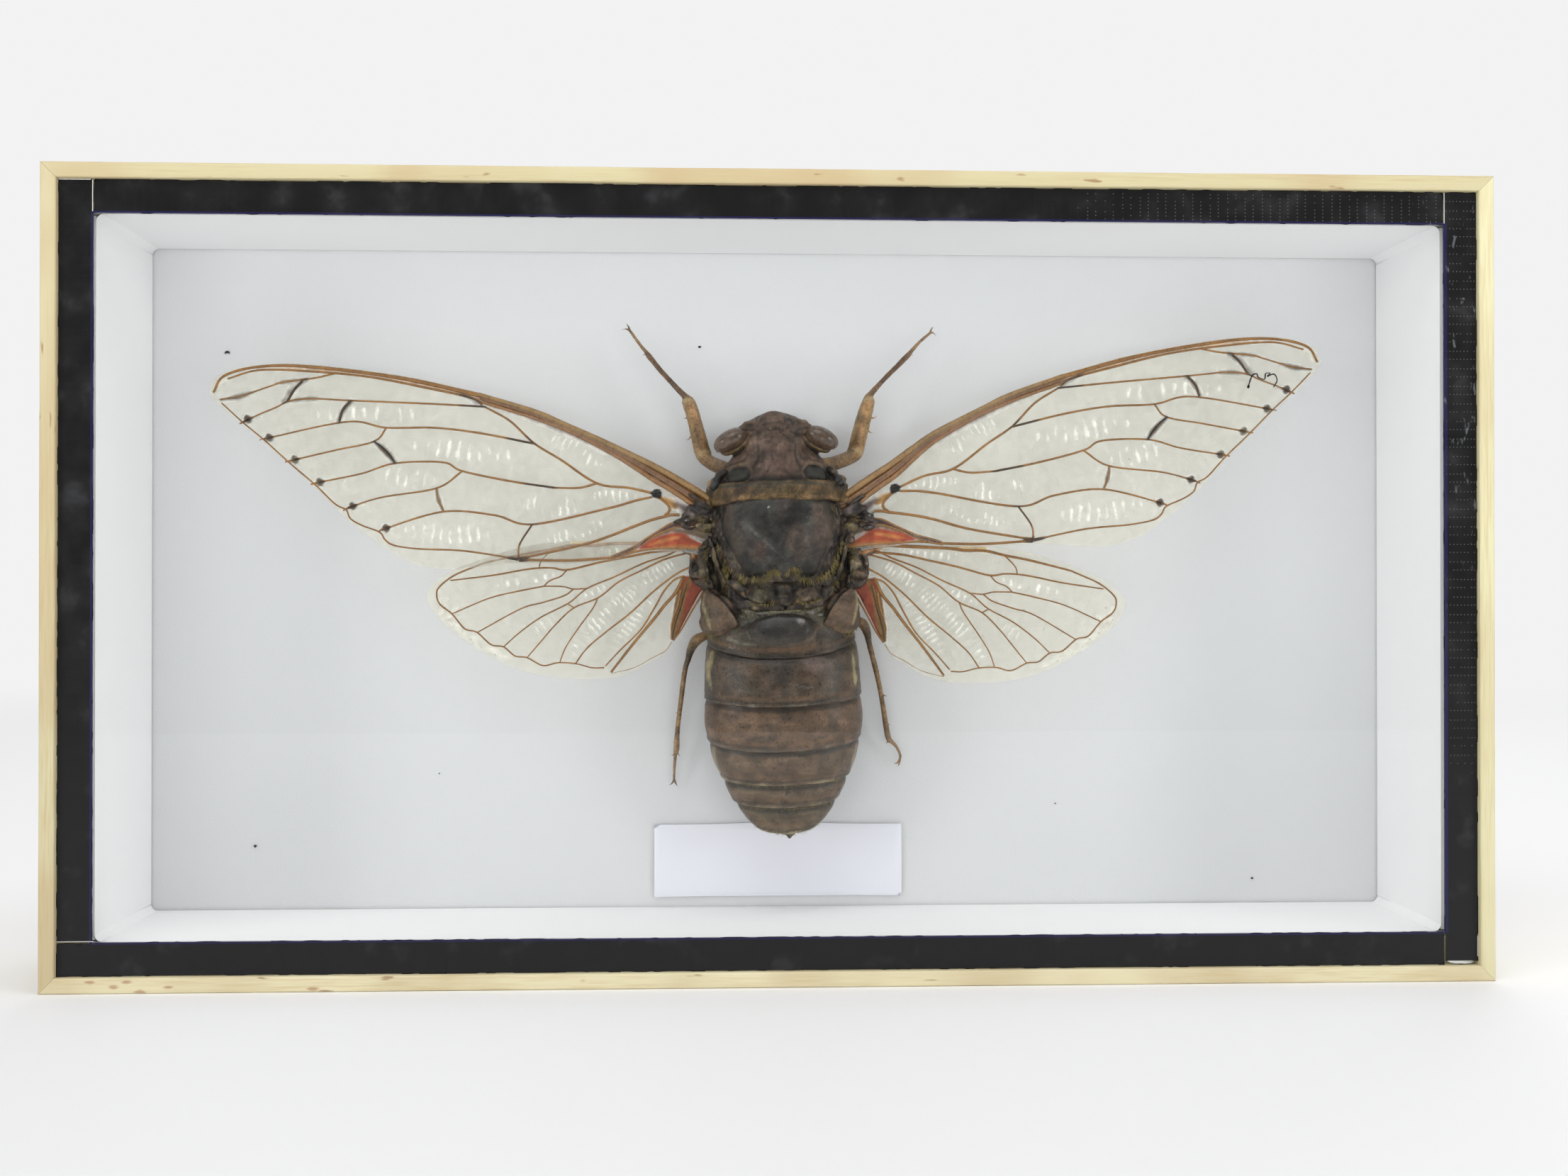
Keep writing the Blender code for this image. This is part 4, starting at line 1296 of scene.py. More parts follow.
@dataclass
class Head:
    """The head: a broad domed front, side lobes, large oval eyes and three small ones."""

    sections: Sequence[Section] = (
        (-0.3, 0.4, 0.3, 0.6, 0), (-0.1, 1.7, 1.4, 3, 0), (0.8, 3.9, 3.2, 5.5, 0),
        (2, 5.9, 4.6, 7, 0), (3.8, 6.2, 5.4, 8, 0), (6, 6.9, 5.8, 8.4, 0),
        (8.4, 8.4, 5.9, 8.6, 0), (9.2, 8, 4, 7, 0), (9.6, 3, 1, 2, 0))
    eye_size: Place = (3.25, 1.85, 2.6)
    eye_turn: float = 27.0

    def build(self) -> None:
        """Build the head and its eyes."""
        lumps = [Plate("head_hull", self.sections, 120, 0.5).shape(),
                 ball("front", (-0.3, 1.8, 3.2), (2.7, 2, 2.2)),
                 ball("ledge", (0.1, 3.4, 3.6), (5.6, 1.6, 1.7)),
                 ball("crown", (0.1, 5, 4.2), (4.4, 2.4, 1.5))]
        for side in (-1, 1):
            for middle, half_sizes in (((3.7, 2.5, 3.6), (1.1, 1.1, 1.1)), ((4.9, 2.5, 3.6), (1, 0.95, 1)),
                                       ((5.8, 3, 3.4), (0.8, 0.8, 0.9))):
                lumps.append(ball("lobe", (side * middle[0], middle[1], middle[2]), half_sizes, 0.0, 16))
            lumps.append(ball("cheek", (side * 7.3, 5.9, 2.0), (2.3, 0.8, 1.8), side * 27))
            lumps.append(ball("rim", (side * 7.6, 4.8, 2.2), (3.45, 2.05, 2), side * 27))
        head = fused("cicada_head", lumps, 0.24, 3)
        Coat((0.079, 0.052, 0.037), self.strokes(), 0.11, 0.4, finish=ShellFinish("head_shell", mottle=0.3),
             patches=((5.0, RUSSET, 0.7, 3), (2.2, DIM_BROWN, 0.4, 8))).dress(head)
        self.eyes()

    def strokes(self) -> list[Stroke]:
        """The head's grooves, ridges and colours."""
        half = [
            groove([(5.6, 4.2), (6.6, 5.5), (8.4, 6.5), (10.4, 7.1)], 0.55, 0.25, 0.85),
            Stroke([(5.2, 4.9), (6.6, 6.2), (8.4, 7.1), (10.2, 7.6)], 0.65, 0.2, (0.17, 0.115, 0.045), 0.75,
                   ragged=0.2),
            groove([(5.6, 6), (7.4, 7.4), (9.8, 8.3)], 0.5, 0.2, 0.8),
            groove([(2.6, 3.8), (3.9, 4.1), (5.2, 5)], 0.4, 0.16, 0.45),
            groove([(2.3, 1.2), (2.8, 2), (3.2, 2.9)], 0.35, 0.16, 0.45),
            groove([(3.2, 1.3), (4.2, 2.2), (5.6, 2.4)], 0.3, 0.12, 0.45),
            blotch((4.6, 5), (1, 0.7), 0.9, (0.115, 0.078, 0.058), 0.6, 0.4),
            stain([(3.6, 1.9), (4.9, 1.8), (6, 2.6)], 0.45, (0.13, 0.085, 0.05), 0.6, 0.2),
            groove([(3.8, 3.3), (5.2, 3.2), (6.1, 3.4)], 0.35, 0.2, 0.6),
            groove([(0.6, 3.9), (1.9, 4.6), (2.6, 5.6)], 0.3, 0.14, 0.5),
        ]
        return mirrored(half) + [
            groove([(-2.4, 2.5), (-0.2, 2.2), (2.4, 2.5)], 0.4, 0.14, 0.5),
            Stroke([(-1.8, 2.9), (-0.9, 3.4), (0.2, 3.1), (1, 3.5), (2.2, 3)], 0.5, 0.16, PITCH, 0.6,
                   ragged=0.2),
            blotch((0, 0.9), (2, 0.8), 0.8, (0.13, 0.088, 0.058), 0.6, 0.4),
        ]

    def eyes(self) -> None:
        """Two large eyes, and three small ones between them."""
        parts = []
        for side in (-1, 1):
            across = 7.95 if side > 0 else -7.85
            parts.append(ball("eye", (across, 4.75, 3.1), self.eye_size, side * self.eye_turn, 48))
        for across, back in ((-0.9, 3.15), (0.35, 2.75), (1.5, 3.1)):
            parts.append(ball("ocellus", (across, back, 5.25), (0.32, 0.32, 0.32), 0.0, 12))
        eyes = joined("cicada_eyes", parts)
        eyes.data.transform(body_place())
        eyes.data.shade_smooth()
        eyes.data.materials.append(EyeFinish().material())
        hand_over(eyes, "insect", "cicada")


@dataclass
class Thorax:
    """The pronotum with its collar, the mesonotum, and the rough parts behind and beside them.

    Each side form has its middle, its half sizes and its turn, for the right side of the body.
    """

    pronotum: Sequence[Section] = (
        (4.6, 2, 3.2, 4, 0), (4.7, 4.6, 5, 6, 0), (5.2, 5.6, 5.75, 7, -0.4),
        (7, 7, 6.3, 8.4, -0.4), (9.4, 8.6, 6.9, 9, -0.3), (11.4, 9.9, 7.4, 9.3, 0),
        (12.9, 10.9, 7.7, 9.6, 0), (14, 10.6, 7.4, 9.6, 0), (14.6, 9, 6, 9, 0),
        (14.9, 3, 2, 3, 0))
    collar: Sequence[Section] = (
        (12.2, 9.6, 6.6, 8, 0), (12.35, 11, 7.9, 9.5, 0), (12.9, 11.6, 8.5, 9.8, 0.1),
        (14, 12.2, 8.9, 10, 0.2), (15.2, 12.4, 9, 10.1, 0.2), (15.6, 12.2, 8.8, 10, 0.2),
        (15.65, 11.4, 8, 9.5, 0.2), (15.3, 10.4, 7.2, 9, 0.2))
    mesonotum: Sequence[Section] = (
        (14.8, 8.5, 7, 4, 0), (15, 10.2, 8.4, 6, 0), (17, 10.8, 9.5, 7, 0),
        (20.3, 11.1, 10.25, 7.5, 0), (24, 10.3, 10.1, 7.5, 0), (27, 8.9, 9.35, 7, 0),
        (28.6, 7.9, 8.5, 6.5, 0), (29.1, 7.4, 7.9, 6, 0), (29.2, 6, 6.6, 5, 0),
        (29, 3, 3, 3, 0))
    collar_edge: Sequence[Spot] = (
        (-12.4, 1), (-10.4, 0.7), (-7.6, -0.1), (-3.8, -0.3), (-0.6, 0.15), (0.7, -0.3), (1.8, 0.1), (5.1, 0),
        (9, 0.1), (12.4, 1))
    mesonotum_edge: Sequence[Spot] = (
        (-8, -0.4), (-5.5, 0), (-2.6, 0.2), (-1, -0.8), (0.5, 0.1), (2.3, -0.8), (3.8, 0.2), (6.4, 0.3),
        (8, -0.3))
    side_forms: Sequence[tuple[Place, Place, float]] = (
        ((13.4, 18.6, 0.5), (3.7, 3.3, 0.9), 0), ((12.6, 24.2, -0.2), (3.3, 4.6, 0.9), 0),
        ((13, 28.4, -0.4), (3, 3.2, 0.9), 0), ((9.7, 10.7, 2.4), (1.3, 0.8, 1.7), 40),
        ((10.8, 12.5, 2.2), (1.3, 1.3, 2), 30), ((11.2, 13.8, 1.2), (1.2, 1.5, 2), 12),
        ((11.9, 12.1, 2.2), (0.4, 0.4, 0.8), 0), ((12.2, 13.3, 1.9), (0.4, 0.5, 0.8), 0),
        ((11.4, 15.6, 0.8), (1.4, 1.2, 2), 0), ((13.4, 17.6, 2.2), (2.5, 1, 1.5), -8),
        ((13.6, 16.2, 2), (2.5, 0.5, 1.2), -35), ((16, 18.6, 2), (0.9, 0.6, 0.9), 0),
        ((16.9, 19.5, 1.7), (1.7, 0.5, 0.8), 12), ((14.8, 19.3, 2), (1.3, 0.35, 0.9), 20),
        ((12.9, 20.6, 1.8), (1.7, 1.2, 1.2), -20), ((15.9, 20.7, 1.8), (1.2, 0.5, 0.9), -8),
        ((12.2, 22.6, 1.6), (1.3, 0.9, 1.2), 0), ((13, 24.8, 0.7), (1.7, 1.1, 1.4), 0),
        ((15.6, 24.8, 0.2), (1.6, 0.7, 0.9), -5), ((13.3, 27, 0.9), (1.2, 1.3, 1.3), 0),
        ((15.3, 26.4, 0.2), (0.5, 1.7, 0.8), -10), ((14, 29, 0.6), (1.6, 0.9, 1), 15),
        ((11.3, 24.6, 3.2), (0.6, 3.4, 2), 17), ((10.2, 28.4, 3.4), (0.6, 2.4, 1.8), 25),
        ((12.3, 28.6, 2), (0.5, 2.6, 1.4), 12), ((12.9, 18.9, 0.8), (1.5, 1.5, 0.9), 0),
        ((12.2, 30.3, -0.5), (1.5, 1.7, 0.9), 0))

    def build(self) -> None:
        """Build the plates and the rough parts."""
        self.sides_and_roots()
        pronotum = Plate("cicada_pronotum", self.pronotum).shape()
        Coat((0.076, 0.047, 0.033), self.pronotum_strokes(), 0.12, 0.35,
             finish=ShellFinish("head_shell", mottle=0.3),
             patches=((4.5, RUSSET, 0.7, 4), (2.4, DIM_BROWN, 0.4, 12))).dress(pronotum)
        collar = Plate("cicada_collar", self.collar, rear_edge=self.collar_edge).shape()
        Coat((0.104, 0.064, 0.028), self.collar_strokes(),
             patches=((3.0, (0.075, 0.045, 0.025), 0.7, 5),)).dress(collar)
        mesonotum = Plate("cicada_mesonotum", self.mesonotum, rear_edge=self.mesonotum_edge).shape()
        Coat(CHARCOAL, self.mesonotum_strokes(), 0.045,
             finish=ShellFinish("dark_shield_shell", 0.36, 0.35, 0.00004),
             patches=((6.0, (0.05, 0.036, 0.03), 0.75, 6), (3.0, OLIVE_BLACK, 0.6, 9))).dress(mesonotum)
        self.scutellum()

    def pronotum_strokes(self) -> list[Stroke]:
        """Fissures and blotches of the pronotum."""
        half = [
            groove([(3.4, 5.5), (3.3, 8.2), (4.3, 10.4), (4.6, 12.4)], 0.35, 0.22, 0.55),
            groove([(4.9, 6.6), (6, 8.3), (8.8, 9)], 0.35, 0.22, 0.55),
            blotch((5.6, 8.4), (1.6, 1.3), 1.2, (0.115, 0.076, 0.056), 0.6, 0.6),
            blotch((6.9, 11), (2.7, 1.9), 0.45, (0.115, 0.075, 0.045), 0.75, 0.25, height=0.1, turn=8),
            blotch((6.9, 11), (2.35, 1.55), 0.35, PITCH, 0.9, 0.15, height=-0.4, turn=8),
            blotch((6.9, 11), (1.95, 1.25), 0.7, (0.022, 0.021, 0.017), 0.9, 0.45, height=0.5, turn=8),
            blotch((9.3, 12.4), (1.5, 0.8), 0.6, PITCH, 0.8, 0.3, height=-0.1, turn=-30),
            Stroke([(8.6, 9.4), (9.9, 11), (10.7, 12.6)], 0.5, 0.15, (0.13, 0.08, 0.04), 0.7, ragged=0.2),
            groove([(0.7, 6.2), (0.9, 8.5), (1.6, 10.6), (3, 12.2)], 0.35, 0.2, 0.5),
            groove([(2, 6.6), (2.6, 8.4), (2.2, 10)], 0.3, 0.12, 0.4),
        ]
        return mirrored(half) + [
            groove([(-9.5, 12.7), (-4, 12.1), (1, 12), (5.7, 12.2), (9.5, 13)], 1.2, 0.45, 0.9),
            Stroke([(0.2, 6), (0.1, 9), (0.2, 11.6)], 0.4, -0.12, UMBER, 0.5),
            blotch((0.2, 8.6), (2.6, 2.4), 1.6, (0.098, 0.058, 0.046), 0.4, 0.5),
        ]

    def collar_strokes(self) -> list[Stroke]:
        """Edges and tone of the collar."""
        return [
            Stroke([(-11, 15.6), (-7.6, 15.2), (-3.8, 15), (0.2, 15.1), (5.1, 15.2), (9, 15.4), (11.4, 15.8)],
                   0.5, 0.1, (0.16, 0.095, 0.04), 0.8),
            Stroke([(-11, 13), (-6, 12.8), (0, 12.6), (6, 12.8), (11, 13.6)], 0.8, -0.12, OLIVE_BLACK, 0.75,
                   ragged=0.3),
            groove([(0.3, 12.6), (0.4, 14), (0.5, 15.8)], 0.35, 0.14, 0.5),
            stain([(-3.5, 14), (0.4, 13.7), (3.5, 14.2)], 2.8, (0.042, 0.029, 0.013), 0.85, 0.6),
            *mirrored([
                Stroke([(11.4, 12.4), (11.8, 13.6), (11.4, 14.6)], 0.9, 0.1, OLIVE_BLACK, 0.8, ragged=0.3),
                Stroke([(10.6, 15.8), (11.8, 15.2), (12.4, 14.2)], 0.7, 0.12, (0.19, 0.12, 0.045), 0.8)]),
        ]

    def mesonotum_strokes(self) -> list[Stroke]:
        """Rim, scratch and blotches of the mesonotum."""
        rim = [(10, 17), (10.6, 20.2), (10.2, 22.8), (9.2, 25.4), (8, 27.4), (7.2, 28.8)]
        half = [
            Stroke([(x + 0.1, y) for x, y in rim], 0.34, 0.16, (0.19, 0.15, 0.075), 0.95, ragged=0.08),
            groove([(x - 0.5, y) for x, y in rim], 0.35, 0.14, 0.6),
            blotch((3.4, 18.6), (1.8, 2.6), 1.2, PITCH, 0.55, 0.8, turn=10),
            groove([(6.8, 29), (4.6, 28.8), (2.6, 28.2)], 0.7, 0.1, 0.8),
        ]
        return mirrored(half) + [
            Stroke([(-7.7, 18.4), (-3.6, 21.9), (1.4, 26.7)], 0.34, -0.03, (0.095, 0.088, 0.085), 0.55,
                   ragged=0.25),
            stain([(-7.4, 19.2), (-5, 20.6)], 0.9, (0.06, 0.062, 0.062), 0.5, 0.4),
            blotch((7.3, 20.5), (2, 4), 1.6, (0.088, 0.062, 0.046), 0.75, 0.8, turn=-8),
            blotch((-7.2, 22.5), (1.6, 3.4), 1.6, (0.06, 0.045, 0.034), 0.7, 0.8, turn=8),
            blotch((0.6, 20.6), (2.4, 3.4), 1.4, PITCH, 0.55, 0.8),
            blotch((-1.9, 16.9), (0.12, 0.12), 0.1, (0.7, 0.7, 0.66), 1.0),
            blotch((-3.8, 24.3), (1.3, 1.9), 1.0, (0.07, 0.042, 0.03), 0.6, 0.5, turn=20),
            blotch((3.2, 23.2), (2.2, 3), 1.0, UMBER, 0.6, 0.7, turn=-10),
        ]

    def sides_and_roots(self) -> None:
        """The dark body under the plates, with the knobs that carry wings and legs."""
        lumps = [Plate("thorax_hull", (
            (8, 4, 3, 4, 0), (8.6, 7.5, 5.4, 8, 0), (12.5, 10.6, 7, 9.8, 0),
            (20.5, 11.8, 8.6, 10.3, 0), (26, 11.6, 7.8, 10.3, 0), (30, 10.9, 6.2, 10.2, 0),
            (36, 11.6, 5.6, 10, 0), (38, 8, 4, 8, 0)), 120, 0.6).shape()]
        for side in (-1, 1):
            for middle, half_sizes, turn in self.side_forms:
                forwards = 1.0 if side < 0 and middle[0] > 12.3 else 0.0
                place = (side * middle[0], middle[1] - forwards, middle[2])
                lumps.append(ball("side_form", place, half_sizes, side * turn, 16))
        body = fused("cicada_thorax_sides", lumps, 0.25, 1)
        tissue = (0.105, 0.078, 0.036)
        plum = (0.07, 0.055, 0.053)
        half = [
            blotch((11, 12.7), (1.6, 1.5), 0.5, (0.016, 0.017, 0.015), 1.0, 0.25, height=-0.1, turn=30),
            Stroke([(10, 10), (11.6, 11.4), (12.4, 13.6)], 0.6, 0.1, (0.14, 0.085, 0.04), 0.8, ragged=0.2),
            Stroke([(11.2, 16.4), (12.2, 15.6), (14.2, 14.4)], 0.8, 0.1, (0.15, 0.09, 0.04), 0.8, ragged=0.2),
            stain([(11.6, 17.6), (13.4, 17.5), (15.6, 17.3)], 1.6, plum, 0.9, 0.3),
            groove([(11.6, 16.9), (13.4, 16.4), (15, 15.6)], 0.45, 0.25, 0.95),
            groove([(11.8, 19.1), (14.2, 18.8), (16, 19.6)], 0.5, 0.2, 0.9, 0.15),
            Stroke([(13.6, 19.2), (15.4, 19.7)], 0.45, 0.1, (0.17, 0.115, 0.05), 0.8, ragged=0.2),
            stain([(12, 20.2), (13.6, 20.8), (13, 22)], 1.1, tissue, 0.75, 0.5),
            blotch((14.6, 21.3), (0.7, 0.6), 0.3, PITCH, 1.0, 0.2, height=-0.5),
            stain([(15.2, 20.6), (16.8, 20.2), (18.2, 20)], 0.7, plum, 0.9, 0.2),
            groove([(11.5, 23.4), (13.4, 23.9), (15.4, 23.6)], 0.6, 0.35, 1.0, 0.2),
            Stroke([(14.2, 25), (16.6, 24.6)], 0.8, 0.1, (0.2, 0.095, 0.035), 0.8, ragged=0.3),
            blotch((13.3, 27), (0.9, 0.9), 0.5, (0.13, 0.1, 0.06), 0.75, 0.5, height=0.1),
            groove([(12.2, 25.2), (11.8, 27.4), (12.4, 29.6)], 0.6, 0.35, 1.0, 0.2),
            groove([(10.9, 22), (10.6, 25.2), (9.3, 28), (8.6, 29.6)], 0.55, 0.4, 1.0),
            Stroke([(11.6, 22.8), (11.2, 25.6), (10.2, 28.4)], 0.5, 0.1, tissue, 0.7, ragged=0.3),
            stain([(13.6, 28.6), (15.2, 29.6)], 1.0, (0.085, 0.05, 0.03), 0.8, 0.3),
            # Three small pale dots: painted highlights on the knobs.
            *[blotch(spot, (0.1, 0.1), 0.1, (0.7, 0.7, 0.72), 1.0, height=0.05)
              for spot in ((16.2, 18.5), (16, 20.5), (12.1, 24.7))],
        ]
        Coat((0.042, 0.03, 0.023), mirrored(half), 0.26, 0.65, 0.75,
             ShellFinish("rough_dark_shell", 0.38, 0.6, 0.00012, 0.45),
             ((1.9, tissue, 0.6, 14), (1.5, PITCH, 0.7, 15))).dress(body)

    def scutellum(self) -> None:
        """The cross-shaped ridge and the rough lobes between the shield and the abdomen."""
        lumps = [
            ball("bed", (0.3, 31.6, 4.2), (8.6, 2.9, 2.7)),
            ball("left_lobe", (-3.5, 32.2, 5.6), (2.3, 1.7, 1.7)),
            ball("right_lobe", (4.7, 32, 5.7), (2.2, 1.6, 1.7)),
            ball("cross", (0.7, 31, 6.4), (2.6, 1.1, 1.6)),
            ball("cross_stem", (0.7, 33.2, 5.6), (1, 1.9, 1.5)),
            ball("left_arm", (-7.2, 30.4, 5.4), (2.2, 1, 1.4), 25),
            ball("right_arm", (7.9, 30, 5.4), (2, 1, 1.4), -25),
        ]
        ridge = fused("cicada_scutellum", lumps, 0.24, 2)
        strokes = [
            blotch((-3.5, 32.3), (2, 1.3), 0.7, (0.06, 0.052, 0.03), 0.8, 0.4),
            blotch((4.7, 32.1), (2, 1.3), 0.7, (0.085, 0.06, 0.04), 0.8, 0.4),
            groove([(-9.7, 30.4), (-6.2, 33), (-3.4, 34.1), (0.3, 34.6), (3.6, 34.4), (7, 33.8), (9.1, 32.2)],
                   0.9, 0.4, 1.0),
            groove([(-1.2, 30.6), (-0.9, 33)], 0.7, 0.4, 0.9),
            groove([(2.3, 30.6), (2.2, 33.2)], 0.7, 0.4, 0.9),
            groove([(-6.2, 31.2), (-5.9, 32.6)], 0.5, 0.3, 0.9),
            groove([(7.2, 30.8), (7.2, 32.8)], 0.5, 0.3, 0.9),
        ]
        Coat((0.036, 0.029, 0.022), strokes, 0.17, 0.5,
             finish=ShellFinish("rough_ridge_shell", 0.5, 0.6, 0.0001),
             patches=((1.5, TAN, 0.45, 21), (2.0, PITCH, 0.6, 22))).dress(ridge)


@dataclass
class Abdomen:
    """Overlapping rings from the waist to the tail, with the timbal covers on the first.

    The hull has the distance from the front of the head, the half width and the heights above and
    below. Each edge says where a ring ends, and how far its middle reaches past its sides.
    """

    hull: Sequence[tuple[float, float, float, float]] = (
        (33, 9, 5.6, 9), (36.5, 11.8, 7.6, 10), (40, 13.25, 8.9, 9.9), (45, 13.65, 9.35, 9.9),
        (49.6, 13.85, 9.3, 9.7), (54, 13.95, 8.8, 9.3), (57, 13.55, 8.2, 8.9), (61, 12.5, 7.1, 8),
        (63.8, 11.25, 6.1, 7.2), (67.8, 9.35, 4.8, 6), (71, 7.1, 3.5, 4.6), (73.4, 4.4, 2.5, 3.4),
        (75.2, 0.9, 0.7, 0.9))
    cover_tilt: float = 0.45
    edges: Sequence[Spot] = ((35.2, 0), (39.6, 3.3), (49.6, 1.6), (56.8, 2.2), (63.6, 1.4), (67.6, 1.4),
                             (72.4, 1.4))

    def size_at(self, back: float) -> tuple[float, float, float]:
        """Half width and heights of the smooth hull."""
        table = np.array(self.hull)
        return tuple(float(np.interp(back, table[:, 0], table[:, k])) for k in (1, 2, 3))

    def edge_line(self, i: int, shift: float = 0.0) -> list[Spot]:
        """The rear edge of a ring, seen from above."""
        back, bow = self.edges[i]
        half = self.size_at(back)[0]
        angles = np.linspace(0.02, np.pi - 0.02, 15)
        return [(float(half * math.cos(a)), float(back + shift + bow * math.sin(a))) for a in angles]

    def ring_sections(self, i: int) -> list[Section]:
        """Cross-sections of one ring, from under the ring before it to its own turned-in rear edge."""
        (start, bow_start), (end, bow_end) = self.edges[i - 1], self.edges[i]
        steps = [(start - 1.6, -3.2), (start - 1.4, -1.2), (start - 0.2, -0.5), (start + 0.8, -0.14)]
        steps += [(start + (end - start) * t, 0.02) for t in (0.35, 0.6, 0.8)]
        steps += [(end - 0.7, -0.02), (end - 0.25, 0.06), (end, 0.02), (end + 0.12, -0.2),
                  (end + 0.05, -0.6), (end - 0.4, -1.2), (end - 0.9, -3.0)]
        sections = []
        for back, grow in steps:
            sizes = [max(size + grow, 0.5) for size in self.size_at(back)]
            share = min(max((back - start) / (end - start), 0.0), 1.0)
            bow = bow_start + (bow_end - bow_start) * share
            sections.append((back, *sizes, bow))
        return sections

    def build(self) -> None:
        """Build the rings and the covers."""
        waist = fused("cicada_waist", [
            ball("waist", (0.2, 35.8, 3), (9, 2.4, 3.9)),
            ball("waist_left", (-5, 35.2, 4.2), (2.6, 1, 2.3), 20),
            ball("waist_right", (5.2, 35.2, 4.2), (2.6, 1, 2.3), -20)], 0.25, 2)
        Coat((0.048, 0.04, 0.024), [
            groove([(-9.4, 33.4), (-5.4, 33.9), (-0.6, 34.2), (5, 33.9), (9.2, 33.2)], 0.8, 0.4, 1.0),
            # The two grey strokes, left and right of the olive one, are painted highlights on the shiny
            # waist.
            Stroke([(-4.8, 35), (-3.6, 35.2)], 0.35, 0.1, (0.2, 0.2, 0.19), 0.6, ragged=0.35),
            Stroke([(-2, 34.9), (0.8, 34.7), (3.4, 34.9)], 0.5, 0.05, (0.085, 0.07, 0.03), 0.7, ragged=0.4),
            Stroke([(4.6, 35.2), (6, 35.4)], 0.4, 0.1, (0.16, 0.15, 0.13), 0.5, ragged=0.35),
        ], 0.08, finish=ShellFinish("shiny_waist_shell", 0.24, 0.4, 0.00004, 0.5)).dress(waist)
        tones = [(0.036, 0.028, 0.019), (0.062, 0.043, 0.028), (0.116, 0.072, 0.043), (0.102, 0.067, 0.04),
                 (0.098, 0.067, 0.04), (0.09, 0.065, 0.038)]
        shell = ShellFinish("abdomen_shell", 0.34, 0.28, 0.00005, 0.42).material()
        rings = []
        for i in range(1, len(self.edges)):
            part = Plate(f"ring_{i}", self.ring_sections(i), 200, 0.34, 0.94).shape()
            skin = Skin(part, body_plan(part), tones[i - 1])
            skin.vary(3.4, (0.105, 0.062, 0.038), 0.5, 30 + i)
            skin.vary(2.6, (0.044, 0.036, 0.025), 0.6, 40 + i)
            skin.mark(self.ring_strokes(i), eased(-6.0, -2.0, -skin.points[:, 1]))
            skin.roughen(2.6, 0.1, 50 + i, 4, 0.3)
            skin.roughen(1.3, 0.05, 80 + i, 3, 0.35, (0.3, 1, 1.6))
            rings.append(skin.settle(body_place(), shell))
        tail = fused("tail", [ball("tail", (0.3, 72.6, 0.2), (3.7, 1.5, 1.7)),
                              ball("tip", (0.4, 73.8, 0.3), (1.1, 0.9, 0.8)),
                              ball("point", (0.4, 74.6, 0.3), (0.4, 0.5, 0.4))], 0.15, 3)
        skin = Skin(tail, body_plan(tail), (0.05, 0.036, 0.024))
        skin.mark([stain([(-2.6, 73.4), (-0.8, 74)], 0.4, TAN, 0.6, 0.3),
                   stain([(3, 73.3), (1.4, 74)], 0.4, TAN, 0.6, 0.3)])
        skin.roughen(0.7, 0.08, 62, shade=0.4)
        rings.append(skin.settle(body_place(), shell))
        abdomen = joined("cicada_abdomen", rings)
        hand_over(abdomen, "insect", "cicada")
        self.covers()

    def ring_strokes(self, i: int) -> list[Stroke]:
        """Pale and dark lines along the edges of a ring, and its blotches; the dark line behind the ring
        before is a painted shadow.
        """
        # Painted shadow in the gap under the rear edge of the ring before.
        dark = groove(self.edge_line(i - 1, 0.5), 1.1, 0.12, 0.75)
        grey = (0.15, 0.145, 0.115)
        pale = {2: (0.15, grey, 0.55), 3: (0.12, grey, 0.35), 4: (0.12, CREAM, 0.5), 5: (0.12, CREAM, 0.55),
                6: (0.3, CREAM, 0.7), 1: (0.3, PITCH, 0.6)}[i]
        strokes = [dark, Stroke(self.edge_line(i, -1.3), 0.8, 0.05, (0.115, 0.062, 0.03), 0.5, ragged=0.5),
                   groove(self.edge_line(i, -0.55), 0.35, 0.08, 0.5, 0.3),
                   stain(self.edge_line(i, -0.05), pale[0], pale[1], pale[2], 0.4)]
        if i == 1:
            olive, glint = (0.042, 0.037, 0.022), (0.17, 0.17, 0.15)
            strokes += [
                Stroke([(-9.6, 35.2), (-7.5, 34.4), (-3.4, 34.6), (-4.4, 36.2), (-6.6, 37.6), (-8.8, 38.2)],
                       0.8, 0.0, olive, 0.9, True, 0.3),
                Stroke([(8.9, 35), (6.8, 34.2), (4, 34.6), (5, 36), (6.4, 37.2), (8, 38)], 0.8, 0.0, olive,
                       0.9, True, 0.3),
                # Painted highlights on the olive sides of the waist.
                blotch((-5.9, 34.9), (0.9, 0.35), 0.5, glint, 0.85, 0.35, height=0.05, turn=8),
                blotch((4.7, 34.9), (0.8, 0.35), 0.5, glint, 0.75, 0.35, height=0.05, turn=-8),
                blotch((-0.1, 37.9), (5.3, 2.4), 1.8, (0.024, 0.02, 0.018), 0.9, 0.3, height=1.0),
                groove([(-7.2, 38.1), (-5.4, 36.8), (-3, 35.6), (0.3, 34.9), (3.2, 35.2), (4.8, 36),
                        (6.5, 37.6)], 0.55, 0.35, 0.9),
                # A painted highlight on the dark dome.
                blotch((3, 37), (0.6, 0.35), 0.4, (0.27, 0.255, 0.24), 0.7, 0.5, turn=25),
                blotch((-2.6, 37.4), (1.2, 0.5), 0.6, (0.055, 0.052, 0.048), 0.6, 0.4, turn=-20),
                stain([(-9.4, 39.4), (-7, 40.2), (-4.4, 40.6)], 0.6, (0.16, 0.145, 0.1), 0.6, 0.5),
            ]
        if i == 2:
